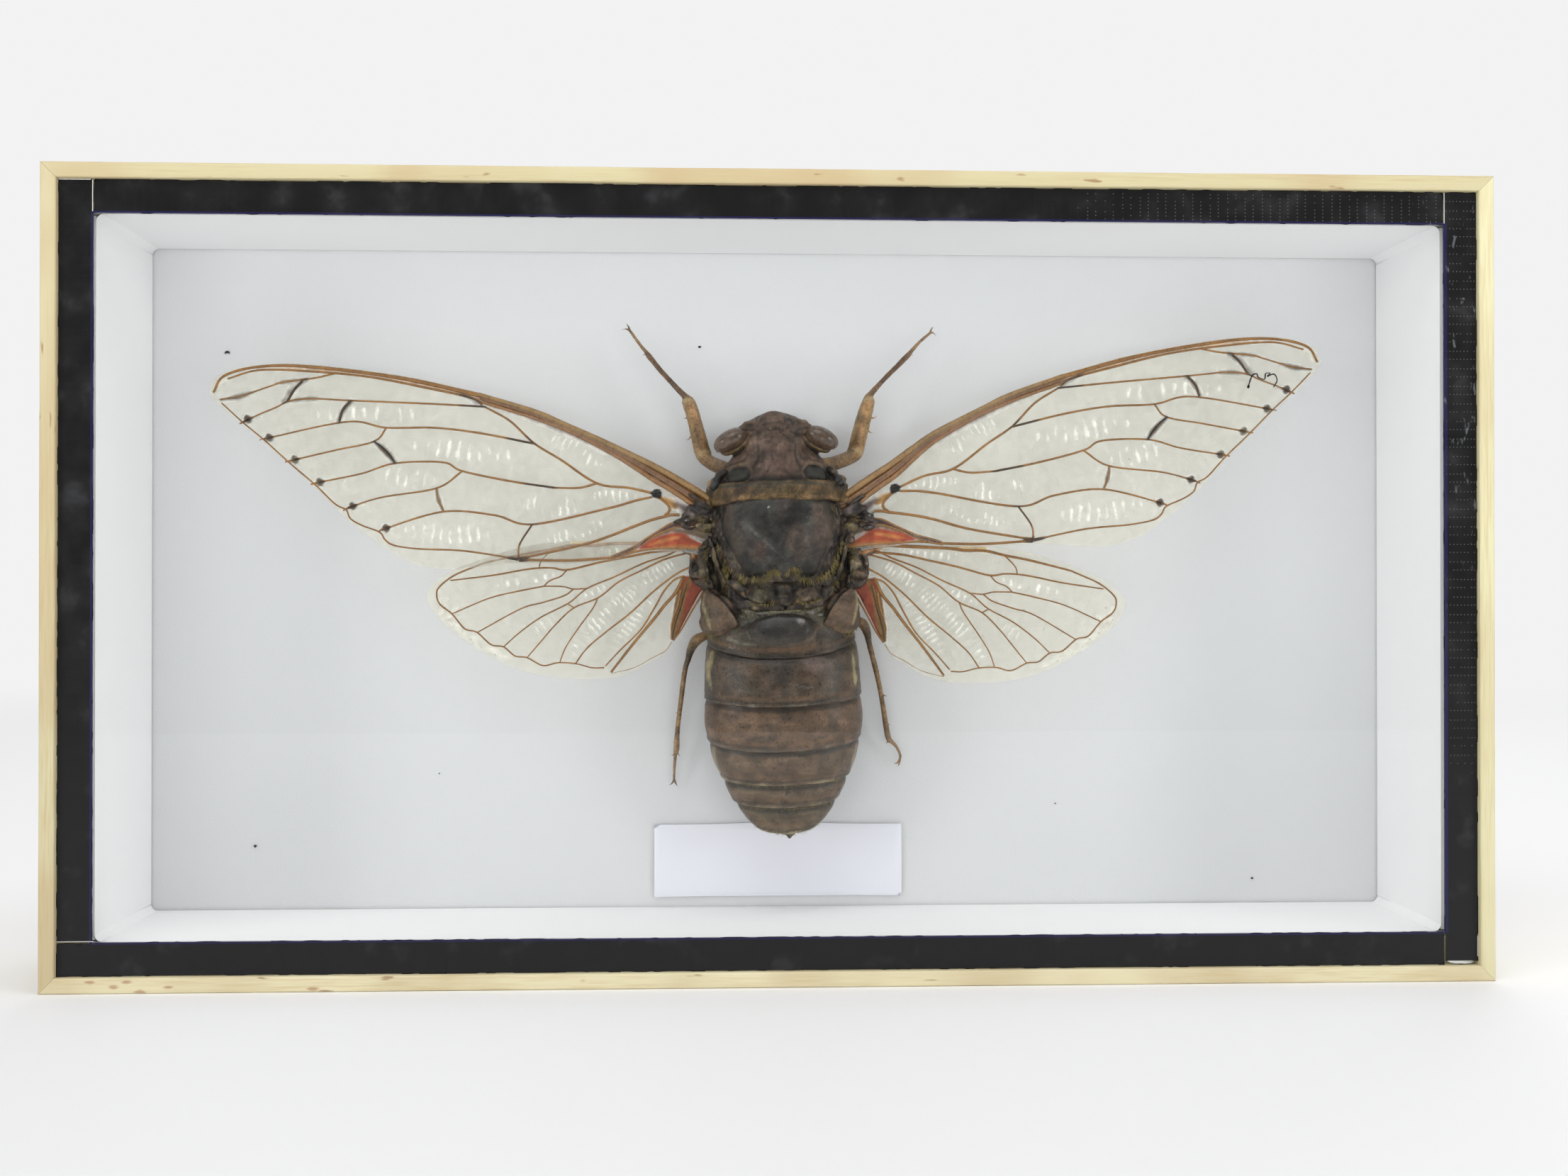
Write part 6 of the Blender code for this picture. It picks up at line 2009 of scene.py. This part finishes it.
FOREWING = WingDrawing(
    outline=(
        (-5, 2.2), (0.5, 5.4), (10, 10.4), (21, 15.4), (36.8, 20.9), (50.2, 23.9), (65.6, 25.7),
        (74.7, 25.7), (79.5, 24.8), (82.4, 23.2), (83.3, 20.6), (81.3, 18.2), (74, 12.1), (65.6, 4.7),
        (59.7, -1.2), (53, -6.2), (48.8, -8.6), (44.5, -9.7), (39.9, -9.8), (31.1, -8.8), (21, -8.8),
        (13.1, -8.1), (9.6, -6.8), (2.1, -6.8), (-5, -6.8)),
    veins={
        "bar_outer": (1.3, 0.75, [(-4.6, 1.7), (0.5, 4.9), (5.2, 7.6), (10, 10), (14.7, 12.25), (21, 15.05),
                                  (27.3, 17.75), (36.8, 20.6)]),
        "bar_middle": (1.3, 0.6, [(-4.2, 0.6), (0.8, 3.6), (5.2, 6.3), (10, 9.1), (14.7, 11.65), (21, 14.65),
                                  (27.3, 17.2), (36.6, 20)]),
        "bar_inner": (1.0, 0.55, [(-2.4, 0.2), (3.2, 4), (6.2, 5.7), (10, 8.2), (14.7, 11.05), (21, 14.25),
                                  (27.3, 16.6), (36.4, 19.3)]),
        "node": (1.5, 1.1, [(5.2, 3.5), (6.6, 3.3)]),
        "arculus": (0.5, 0.5, [(6.3, 3.1), (5.5, 2.7), (4.6, 2.1), (3.8, 1.3), (3.6, 0.6), (4, -0.1),
                               (4.5, -0.4)]),
        "costa": (0.82, 0.42, [(36.8, 20.5), (50.2, 23.4), (65.6, 25.3), (74.7, 25.3), (80.8, 23.7),
                               (82.7, 20.8)]),
        "costa_inner": (0.48, 0.32, [(36.2, 18.9), (38.3, 20.1), (46.2, 21.8), (55.8, 23.6), (65.6, 24.5),
                                     (74.7, 24.7), (80.2, 23.2)]),
        "media": (0.45, 0.36, [(6.3, 3.4), (10.6, 4.4), (16.3, 5.2), (22.6, 9.3), (27.3, 12.2), (31.4, 16),
                               (35.8, 18.5)]),
        "radial_sector": (0.37, 0.28, [(35.8, 18.5), (46, 19), (59.2, 19.5), (66.1, 19.8), (69.8, 19.3),
                                       (71.8, 18.3), (74.9, 17), (78.2, 15.4)]),
        "apical": (0.34, 0.28, [(61.3, 24.3), (65.1, 23.4), (70.8, 22.6), (72.7, 22), (76.1, 20.8),
                                (78.3, 20.1), (81.6, 19.6)]),
        "cross_radial": (0.48, 0.42, [(67.3, 22.9), (68.7, 21.4), (70, 19.2)]),
        "cross_medial": (0.48, 0.42, [(59, 19.5), (60.4, 17.8), (61, 15.8)]),
        "media_1": (0.41, 0.28, [(27.3, 12.1), (36.7, 13.9), (44.6, 14.8), (52.9, 14.8), (59.6, 15.8),
                                 (73.1, 13), (74.8, 12.6)]),
        "media_2": (0.34, 0.28, [(52.9, 14.7), (55, 12.4), (61.5, 10.9), (68.7, 9.2), (70.4, 8.8)]),
        "cross_outer": (0.34, 0.35, [(54.9, 12.3), (53.6, 11.4), (52.4, 10.2), (51.4, 8.7)]),
        "media_stem": (0.41, 0.35, [(16.3, 5.2), (19.4, 4.4), (23.7, 4.4)]),
        "media_3": (0.41, 0.28, [(23.7, 4.4), (31.8, 5.6), (39.8, 7.3), (43.1, 8.8), (51.4, 8.6),
                                 (57.2, 6.8), (64.4, 5.3), (66, 4.9)]),
        "media_4": (0.34, 0.28, [(39.8, 7.2), (44.2, 4.3), (53.6, 2.7), (58.8, 1.1), (60.4, 0.4)]),
        "cross_inner": (0.34, 0.35, [(44.2, 4.3), (43.9, 2.4), (43, 0.2)]),
        "cubitus": (0.45, 0.3, [(6.7, 2.8), (9.5, 2.2), (14.5, 0.8), (27.6, -2), (34.2, -0.4), (43, 0.2),
                                (53, -2.7), (54.2, -3.3)]),
        "cubitus_fork": (0.34, 0.32, [(27.6, -2), (29.8, -5.5), (30, -8)]),
        "anal_1": (0.55, 0.4, [(1.9, -0.3), (3.2, -0.3), (4.5, -0.6), (6.8, -1.2), (10, -2.4), (14, -4),
                               (19.4, -5.7), (29.9, -8)]),
        "strap_fore": (0.35, 0.3, [(1.5, -1.5), (3.4, -1.8), (5.1, -2.8), (7.5, -4.3), (9.8, -5.8),
                                   (13.8, -7.6)]),
        "strap_hind": (0.35, 0.3, [(1.1, -2.5), (2.7, -2.6), (4.8, -3.3), (6.7, -4.3), (8.7, -5.8),
                                   (11.4, -7.2), (13.8, -8.1)]),
        "hind_edge": (0.5, 0.45, [(13.5, -7.8), (21, -8.3), (29.9, -8.2)]),
        "clavus_edge": (0.45, 0.4, [(-3.5, -6.6), (-0.7, -6.2), (2.5, -6.1), (5.8, -6.2), (9.3, -6.7),
                                    (13.8, -8)]),
        "ambient": (0.34, 0.24, [
            (30, -8.1), (37.4, -6.9), (41.5, -6.5), (47.4, -6.3), (51.6, -5.7), (53.2, -4.7), (54.1, -3.4),
            (57.2, -2.2), (59.2, -1), (59.9, 0.5), (61.8, 1.5), (65.2, 4.8), (69.6, 8.6), (74, 12.6),
            (77.6, 15.6), (81.3, 19)]),
    },
    strokes=[
        stain([(-3.2, -4.6), (0.4, -3.4), (3, -3), (6, -4), (8.4, -5.4)], 1.0, (0.13, 0.075, 0.036), 0.95,
              0.15),
        Stroke(CLAVUS, 0.4, 0.12, RED, 1.0, True),
        stain([(-3.4, -6.3), (-0.5, -5.9), (2.5, -5.8), (6.4, -6.1)], 0.7, (0.36, 0.15, 0.04), 0.7, 0.3),
        stain([(-2.2, -5.6), (-0.2, -4.9), (1.2, -4.2)], 0.8, (0.17, 0.05, 0.02), 0.6, 0.3),
        Stroke([(2.2, -4.3), (4.6, -4.8), (7, -5.6)], 0.7, 0.1, (0.5, 0.24, 0.07), 0.5, ragged=0.4),
        stain([(2.6, 1.6), (4.2, 2.6)], 1.2, AMBER, 0.8, 0.2),
        Stroke(WINDOW, 0.3, 0.0, (0.36, 0.2, 0.06), 1.0, True),
        Stroke(STRAP, 0.25, 0.1, STRAP_BROWN, 1.0, True, 0.1),
        stain([(-4.4, -1.8), (-1, -0.4), (2.2, 1.6)], 2.4, STRAP_BROWN, 0.95, 0.3),
        stain([(-4.6, -4.4), (-2.4, -3.4), (0.6, -2.8)], 2.0, (0.105, 0.065, 0.035), 0.95, 0.3),
        blotch((5.9, 3.4), (1, 0.9), 0.3, PITCH, 1.0),
        stain([(-4.4, 1.2), (0.6, 4.2), (5.2, 6.8), (14.7, 11.7), (25.7, 16.4), (36.6, 20)], 2.2,
              (0.12, 0.068, 0.045), 1.0),
        stain([(36.8, 19.9), (46.2, 22.2), (55.8, 24.1), (66, 24.9), (75, 24.8)], 0.7, AMBER, 0.8),
        stain([(36.2, 18.7), (37.6, 19.4), (39.4, 20.4)], 0.7, SMUDGE, 0.7),
        Stroke([(54.9, 12.3), (53.6, 11.2), (52.4, 10), (51.4, 8.7)], 1.25, 0.1, SMUDGE, 1.0),
        Stroke([(44.2, 4), (43.9, 2.4), (43.2, 0.6)], 0.9, 0.08, SMUDGE, 0.95),
        stain([(66.7, 22.9), (68.7, 21.6), (70.6, 19.4)], 1.3, SMUDGE, 0.75, 0.35),
        stain([(58.8, 19.4), (60.2, 17.9), (61.2, 16)], 1.3, SMUDGE, 0.85, 0.3),
        stain([(75.8, 20.9), (78.3, 20.1), (81.4, 19.5)], 1.0, SMUDGE, 0.85, 0.25),
        stain([(66.6, 23.2), (69, 22.9), (71.8, 22.4)], 0.9, SMUDGE, 0.8, 0.25),
        stain([(64.8, 19.8), (67.4, 19.7), (69.9, 19.3)], 1.0, SMUDGE, 0.8, 0.25),
        stain([(80.6, 23), (82.4, 20.8)], 1.0, (0.34, 0.29, 0.16), 0.45, 0.4),
        *[blotch(spot, (0.16, 0.12), 0.1, SMUDGE, 0.7)
          for spot in FORE_SPECKS],
        *[blotch(spot, (0.85, 0.68), 0.35, SMUDGE, 0.97, 0.12, height=0.05, turn=60) for spot in FORE_SPOTS],
        *[stain([(x + 1.0, y - 0.6), (x - 0.4, y), (x - 2.4, y + 0.5)], 0.45, SMUDGE, 0.5)
          for x, y in FORE_SPOTS],
        stain([(60, 22), (66, 18), (70, 12), (64, 8)], 7.0, (0.5, 0.5, 0.33), 0.1, 2.0),
    ],
    vein_strokes=[
        stain([(-4.2, 0.6), (0.8, 3.6), (5.2, 6.3), (14.7, 11.65), (27.3, 17.2), (36.6, 20)], 0.9,
              (0.145, 0.085, 0.058), 0.9, 0.15),
        stain([(-4.6, 1.7), (0.5, 4.9), (5.2, 7.6), (14.7, 12.25), (27.3, 17.75), (36.8, 20.6)], 0.8,
              (0.27, 0.18, 0.08), 0.85, 0.15),
        stain([(-2.4, 0.2), (3.2, 4), (10, 8.2), (21, 14.25), (36.4, 19.3)], 0.7, (0.25, 0.135, 0.07), 0.85,
              0.15),
        stain([(30, 14.6), (31.8, 16.2), (35.8, 18.3)], 0.9, VEIN_DARK, 0.2),
        stain([(27, 11.8), (29, 12.4), (31.8, 13)], 0.8, VEIN_DARK, 0.95),
        stain([(27.6, 12.6), (28.4, 13.6)], 0.8, VEIN_DARK, 0.9),
        stain([(35.6, 18.5), (40, 18.8)], 0.8, VEIN_DARK, 0.95),
        stain([(36.6, 19.2), (40, 20.6)], 0.7, VEIN_DARK, 0.9),
        stain([(23.4, 4.4), (28.6, 5)], 0.8, VEIN_DARK, 0.95),
        stain([(54.9, 12.3), (53, 10.8), (51.4, 8.7)], 1.2, PITCH, 1.0),
        Stroke([(28.6, -8), (30, -8.2), (31.6, -8)], 1.2, 0.15, VEIN_DARK, 1.0),
        stain([(27.6, -2), (29.8, -5.5)], 0.9, VEIN_DARK, 0.8),
        stain([(26.8, -2), (30.6, -1.2)], 0.7, VEIN_DARK, 0.7),
        *[blotch(spot, (0.95, 0.75), 0.3, PITCH, 0.9, height=0.1, turn=60) for spot in FORE_SPOTS],
        stain([(66.8, 23.2), (68.7, 21.4), (70.4, 19)], 1.1, VEIN_DARK, 0.95),
        stain([(59, 19.5), (60.4, 17.8), (61, 15.8)], 1.0, VEIN_DARK, 0.95),
        blotch((5.9, 3.4), (1.1, 0.9), 0.3, PITCH, 1.0),
    ],
    ripples=(
        ((20, 10.6), (7, 2.6), 24.0, 1.0, 0.1), ((13, 3), (9, 1.6), -6.0, 1.15, 0.1),
        ((24, 1), (7, 2.6), 0.0, 1.3, 0.07), ((43, -3.6), (10, 2.4), 2.0, 1.6, 0.11),
        ((49, 6), (6, 2.2), 10.0, 1.7, 0.08), ((40, 11), (12, 2.2), 6.0, 1.8, 0.06),
        ((56, 17), (12, 2), 0.0, 2.0, 0.05), ((20, -3.4), (7, 1.5), -18.0, 1.2, 0.07)),
)

HINDWING = WingDrawing(
    outline=(
        (-6, 3.4), (4, 3.8), (20.1, 4.1), (28.2, 3), (35.4, 0.9), (41.2, -1.5), (44.3, -4.1),
        (44.6, -6.4), (42.8, -9.4), (38.6, -13.1), (33, -16.6), (27.3, -18.9), (21.7, -19.9),
        (16.7, -20.2), (10.6, -19.6), (5.2, -17), (2.4, -14.9), (-1.7, -7.4), (-3.6, -4.4), (-6, -3.6)),
    veins={
        "costa": (0.75, 0.35, [(-5, 3), (-1.8, 3.3), (1.8, 3.9), (6.8, 3.8), (12.4, 3.7), (15.5, 3.4),
                               (19.3, 3.4), (22.8, 2.7), (27.5, 1.9), (34.7, 0.3)]),
        "ambient": (0.31, 0.24, [(34.7, 0.3), (39.8, -1.8), (42.5, -3.8), (43.1, -5.1), (42.6, -6.9),
                                 (40.4, -8.7), (38.2, -11.3), (36.1, -11.9), (33.6, -14.1), (31.4, -14.5),
                                 (29.4, -16.1), (27.3, -16.4), (24.5, -17.8), (21.8, -17.3), (18.6, -17.5),
                                 (15.9, -18.2), (13.7, -18.2)]),
        "radius": (0.45, 0.26, [(-3, 2.6), (0, 2.6), (4.6, 2.3), (8.9, 1.5), (14.5, 0.4), (20, -0.9),
                                (22.7, -0.6), (25.1, -0.6), (28.3, -1), (33.3, -1.9), (40.7, -2.8)]),
        "cross_fore": (0.25, 0.25, [(22.8, 2.6), (24.1, 1.4), (24.9, 0.4), (25.1, -0.6)]),
        "cross_mid": (0.25, 0.25, [(20.3, -1), (21.4, -2.1), (23.2, -2.8), (24.3, -3.8)]),
        "cross_hind": (0.25, 0.25, [(16.7, -4.2), (19.2, -4.3), (20.7, -3.9), (22.7, -3.8), (24.3, -3.8)]),
        "media_1": (0.28, 0.22, [(24.3, -3.8), (28.4, -4.6), (33.8, -5.9), (40.3, -8.6)]),
        "media_2": (0.28, 0.22, [(19.2, -4.4), (20.8, -5.5), (24.6, -6.7), (28.4, -7.8), (36.1, -12)]),
        "media_3": (0.34, 0.22, [(-2, 3), (0.3, 2.7), (2.8, 1.6), (6.9, 0.2), (11.8, -2.1), (16.7, -4.2),
                                 (20, -6.8), (24.7, -9.2), (28.5, -11.9), (31.4, -14.5)]),
        "media_4": (0.34, 0.22, [(-2.5, 2.4), (-1.5, 2.2), (2.9, 1), (6.9, -0.9), (11.1, -3), (14.7, -5.8),
                                 (19, -7.6), (22.2, -10.5), (24.8, -13.5), (27.3, -16.4)]),
        "small_cross": (0.22, 0.22, [(20.2, -6.9), (19, -7.6)]),
        "cubitus": (0.26, 0.22, [(14.9, -6), (15.7, -7.7), (18.4, -11.4), (20.5, -14.6), (21.6, -17.4)]),
        "anal_1": (0.36, 0.24, [(-1.8, -0.2), (1.1, -1.7), (5, -4.7), (9.2, -8.6), (13.3, -11.8),
                                (16.7, -14.7), (18.8, -17.5)]),
        "anal_2": (0.36, 0.24, [(-0.4, -2), (1.4, -2.7), (3.2, -4.7), (4.6, -7.2), (6.7, -10.7),
                                (8.3, -12.6), (10.9, -15.1), (13.5, -17.9)]),
        "anal_3": (0.62, 0.42, [(-0.3, -2.2), (1.2, -5), (3.1, -7.2), (5.2, -9.9), (8.3, -13.6),
                                (10.9, -16.9), (12.5, -19)]),
        "wedge_fore": (0.45, 0.3, [(0.2, -4.5), (0.8, -7.5), (1.8, -10.5), (1.8, -13.2)]),
        "wedge_hind": (0.4, 0.3, [(-3.9, -4.2), (-3.3, -5.6), (-2, -7.7), (0.1, -11.4), (1.5, -13.4)]),
        "wedge_mid": (0.5, 0.3, [(-0.8, -3.3), (-0.3, -5), (0.3, -7.5), (1.3, -10.6), (1.7, -13.3)]),
        "jugal_edge": (0.12, 0.1, [(1.8, -13.6), (3, -15.3), (5.3, -16.5), (8.4, -18.2), (12.5, -19.2)]),
        "root_edge": (0.5, 0.45, [(-1.8, 1.5), (-1.8, 0.2), (-1.3, -0.5)]),
    },
    strokes=[
        Stroke([(-4.2, -2.9), (-1, -1.9), (0.1, -2.1), (0.9, -4.4), (1.9, -10.4), (1.9, -13.4),
                (-0.1, -11.6), (-2.3, -7.9), (-3.8, -5.2)], 0.3, 0.0, (0.16, 0.085, 0.03), 1.0, True),
        Stroke([(-3.9, -2.9), (-2.1, -2.6), (-1.1, -4.3), (-0.2, -7.3), (0.5, -10.1), (1.2, -12.6),
                (0.1, -11.3), (-2, -7.6), (-3.3, -5.1)], 0.4, 0.1, DEEP_RED, 1.0, True),
        Stroke([(-1.1, -2), (-0.1, -2.3), (0.5, -4), (0.2, -4.4), (-0.7, -3.3)], 0.3, 0.1, DEEP_RED, 1.0,
               True),
        stain([(0, -8), (0.8, -10.6), (1.4, -13)], 1.2, (0.14, 0.075, 0.028), 0.8, 0.2),
        stain([(-0.4, -4.6), (0.3, -7.6), (1.3, -10.6), (1.7, -13)], 0.8, (0.2, 0.12, 0.04), 0.9, 0.15),
        Stroke([(12.4, 4), (15.4, 4.2), (19.2, 4.3), (19.6, 3.7), (19, 3.2), (15.5, 3.3), (12.7, 3.5)], 0.25,
               0.0, (0.42, 0.27, 0.07), 0.8, True),
        Stroke([(-2.3, 2.6), (-1, 3.3), (0.9, 3.4), (0.3, 2.5), (-0.7, 2), (-2, 1.8)], 0.4, 0.0,
               (0.42, 0.2, 0.05), 0.85, True),
        stain([(-3.4, 1.4), (-2.4, 0.2), (-1.8, -1.4)], 1.6, (0.1, 0.055, 0.03), 0.95, 0.3),
        *[blotch(spot, (0.17, 0.12), 0.1, SMUDGE, 0.75)
          for spot in HIND_SPECKS],
        stain([(39.5, -7.5), (41.2, -9.5), (42.6, -6)], 1.4, (0.4, 0.32, 0.16), 0.35, 0.8),
        stain([(30, -16.8), (36, -13.6), (41, -9.8)], 1.4, (0.5, 0.5, 0.3), 0.25, 0.6),
    ],
    vein_strokes=[
        stain([(-0.3, -2.2), (1.6, -5), (3.5, -7.2), (5.6, -9.9), (8.7, -13.6), (12.5, -18.6)], 0.25,
              (0.07, 0.055, 0.025), 0.9),
        stain([(-0.8, -3.3), (-0.3, -5), (0.3, -7.5), (1.3, -10.6), (1.7, -13.3)], 0.5,
              (0.035, 0.028, 0.018), 0.85, 0.1),
        stain([(21, 3.6), (20.9, 2.4)], 0.7, VEIN_DARK, 0.7),
        stain([(19.4, -4.3), (21.4, -2.2)], 0.7, VEIN_DARK, 0.6),
    ],
    ripples=(
        ((4.6, -1.4), (5.6, 1.4), -30.0, 0.95, 0.13), ((10.6, -6.3), (5, 1.7), -44.0, 0.95, 0.15),
        ((15, -10.4), (5, 1.7), -44.0, 1.0, 0.15), ((5.2, -5.6), (4.6, 0.9), -54.0, 0.9, 0.12),
        ((9.4, -11), (6, 1.4), -54.0, 1.0, 0.14), ((13.5, -3.6), (7, 1.2), -24.0, 1.2, 0.1),
        ((17.6, -14.6), (4, 2), -60.0, 1.2, 0.12), ((11, 2.4), (9, 0.9), -4.0, 1.3, 0.1),
        ((23, -9.6), (6, 1.6), -40.0, 1.4, 0.08), ((27, -2.6), (8, 1), -10.0, 1.6, 0.06)),
)


@dataclass
class Wings:
    """The four wings, two from each drawing."""

    curl: Sequence[Spot] = ((69.8, 16.8), (70.1, 17.8), (70.7, 19), (71.5, 19.2), (71.7, 18.6), (72.8, 18.2),
                            (73.1, 19.2), (73.9, 19.2), (73.4, 18.7), (74.6, 19), (75.1, 17.9), (74.4, 16.7))

    def build(self) -> None:
        """Build and dress the wings."""
        membrane = MembraneFinish().material()
        shell = ShellFinish("vein_shell", 0.32, 0.12, 0.00002, 0.5).material()
        fore_skin, hind_skin = FOREWING.flat_skin(), HINDWING.flat_skin()
        for wing, flat in (
                (Wing("forewing_left", FOREWING, -1, (-15, -1.5, 79), 0.0), fore_skin),
                (Wing("forewing_right", FOREWING, 1, (15.3, -1.5, 80.8), 3.2, 1.2), fore_skin),
                (Wing("hindwing_left", HINDWING, -1, (-16.5, 0.7, 70), 0.0), hind_skin),
                (Wing("hindwing_right", HINDWING, 1, (18.1, 0.7, 69.6), -1.5), hind_skin)):
            wing.build(flat, membrane, shell)
            if wing.name == "forewing_right":
                self.crumb(wing)

    def crumb(self, wing: Wing) -> None:
        """A dark curled crumb that clings to a wing near its tip."""
        line = line_through(self.curl, 0.1)
        up = wing.drawing.lift(line) + 0.3
        thick = 0.11 + 0.05 * cloudy(line, 0.6, 2, 99)
        crumb = tubes("cicada_wing_crumb", [(wing.stand(line, up), thick)])
        skin = Skin(crumb, wing.plan_of(crumb), (0.03, 0.022, 0.024))
        skin.mark([blotch((69.8, 16.9), (0.3, 0.4), 0.2, PITCH, 1.0, height=0.12)])
        skin.settle(wing.place(), bpy.data.materials["dark_dust"])
        hand_over(crumb, "insect", "cicada")


# The studio

@dataclass
class Studio:
    """A plain pale floor, soft light and the camera at the photograph's viewing angle."""

    floor_front: float = -0.53
    floor_reach: float = 4.0
    floor_depth: float = 1.5
    floor_fade: Spot = (0.42, 1.1)
    aim: Place = (0, 0, 0.06)
    matt_light: tuple[float, float, float, float] = (-0.1, 0.6, 0.42, 0.62)
    glossy_light: tuple[float, float, float, float] = (0.05, 0.75, 0.08, 0.7)
    backdrop: float = 0.89
    camera_at: Place = (-0.009976, -0.2912116, 0.0641949)
    turn_right: float = 0.0395
    tilt_up: float = 0.0058
    lens: float = 37.85
    sensor: float = 36.0

    def build(self) -> None:
        """Set up floor, light and camera."""
        self.floor()
        self.world()
        self.lamp("key_light", (-0.35, -0.7, 0.95), (0.9, 0.5), 1.7, True)
        self.lamp("table_light", (0.1, -0.28, 0.95), (1, 0.4), 2.8, True)
        self.lamp("front_fill", (0, -1.3, -0.06), (1.6, 0.3), 8.6, False)
        self.lamp("left_panel", (-1.2, -0.85, 0.28), (0.35, 0.5), 3.5, True)
        self.lamp("right_panel", (1.2, -0.85, 0.28), (0.35, 0.5), 3.7, True)
        self.lamp("back_light", (0.3, 1.1, 1.1), (1.2, 0.8), 6.0, True)
        self.camera()
        bpy.context.scene.view_settings.view_transform = "Standard"

    def floor(self) -> None:
        """The floor, which ends a little way in front of the box, as a table does."""
        bpy.ops.object.select_all(action="DESELECT")
        bpy.ops.mesh.primitive_plane_add(size=1.0)
        floor = named("floor")
        points = read_points(floor)
        low, high = (-self.floor_reach, self.floor_front, 0.0), (self.floor_reach, self.floor_depth, 0.0)
        write_points(floor, (points + 0.5) * (np.array(high) - np.array(low)) * (1, 1, 0) + np.array(low))
        sheet = NodeSheet("pale_floor")
        shader = sheet.add("BsdfPrincipled", {"Base Color": (0.91, 0.91, 0.92, 1), "Roughness": 0.6})
        glow = sheet.add("Emission", {"Strength": self.backdrop})
        away = sheet.add("VectorMath", {0: sheet.coords()}, operation="LENGTH").outputs["Value"]
        share = sheet.span(away, *self.floor_fade)
        floor.data.materials.append(sheet.close(sheet.add("MixShader", {
            0: share, 1: shader.outputs[0], 2: glow.outputs[0]})))
        floor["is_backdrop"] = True

    def world(self) -> None:
        """A pale surround: even light for matt surfaces, and a dim view straight ahead of glossy ones."""
        world = bpy.data.worlds.new("soft_surround")
        bpy.context.scene.world = world
        world.use_nodes = True
        tree = world.node_tree
        tree.nodes.clear()
        add = tree.nodes.new
        coords, parts = add("ShaderNodeTexCoord"), add("ShaderNodeSeparateXYZ")
        path = add("ShaderNodeLightPath")
        tree.links.new(coords.outputs["Generated"], parts.inputs[0])
        strengths = []
        for low, high, start, end in (self.matt_light, self.glossy_light):
            ramp = add("ShaderNodeMapRange")
            tree.links.new(parts.outputs["Z"], ramp.inputs[0])
            for i, value in enumerate((low, high, start, end), start=1):
                ramp.inputs[i].default_value = value
            strengths.append(ramp.outputs[0])
        glossy, camera = add("ShaderNodeMix"), add("ShaderNodeMix")
        tree.links.new(path.outputs["Is Glossy Ray"], glossy.inputs[0])
        tree.links.new(strengths[0], glossy.inputs[2])
        tree.links.new(strengths[1], glossy.inputs[3])
        tree.links.new(path.outputs["Is Camera Ray"], camera.inputs[0])
        tree.links.new(glossy.outputs[0], camera.inputs[2])
        camera.inputs[3].default_value = self.backdrop
        light, output = add("ShaderNodeBackground"), add("ShaderNodeOutputWorld")
        light.inputs["Color"].default_value = (1, 1, 1, 1)
        tree.links.new(camera.outputs[0], light.inputs["Strength"])
        tree.links.new(light.outputs[0], output.inputs[0])

    def lamp(self, name: str, at: Place, size: Spot, power: float, shines: bool) -> None:
        """A soft light panel that faces the box."""
        data = bpy.data.lights.new(name, "AREA")
        data.shape, data.size, data.size_y, data.energy = "RECTANGLE", size[0], size[1], power
        lamp = bpy.data.objects.new(name, data)
        bpy.context.scene.collection.objects.link(lamp)
        lamp.location = at
        lamp.rotation_euler = (Vector(self.aim) - Vector(at)).to_track_quat("-Z", "Y").to_euler()
        lamp.visible_glossy = shines

    def camera(self) -> None:
        """The camera."""
        data = bpy.data.cameras.new("camera")
        data.lens, data.sensor_width = self.lens, self.sensor
        camera = bpy.data.objects.new("camera", data)
        bpy.context.scene.collection.objects.link(camera)
        camera.location = self.camera_at
        ahead = Vector((math.sin(self.turn_right), math.cos(self.turn_right) * math.cos(self.tilt_up),
                        math.sin(self.tilt_up)))
        camera.rotation_euler = ahead.to_track_quat("-Z", "Y").to_euler()
        bpy.context.scene.camera = camera


def main() -> None:
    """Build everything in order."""
    logging.basicConfig(level=logging.INFO, format="%(name)s %(message)s")
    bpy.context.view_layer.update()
    for kind in (Studio, PineBox, TapeRim, Inside, Head, Thorax, Abdomen, Legs, Fuzz, Wings):
        part = kind()
        part.build()
        log.info("%s built", type(part).__name__)


if __name__ == "__main__":
    main()
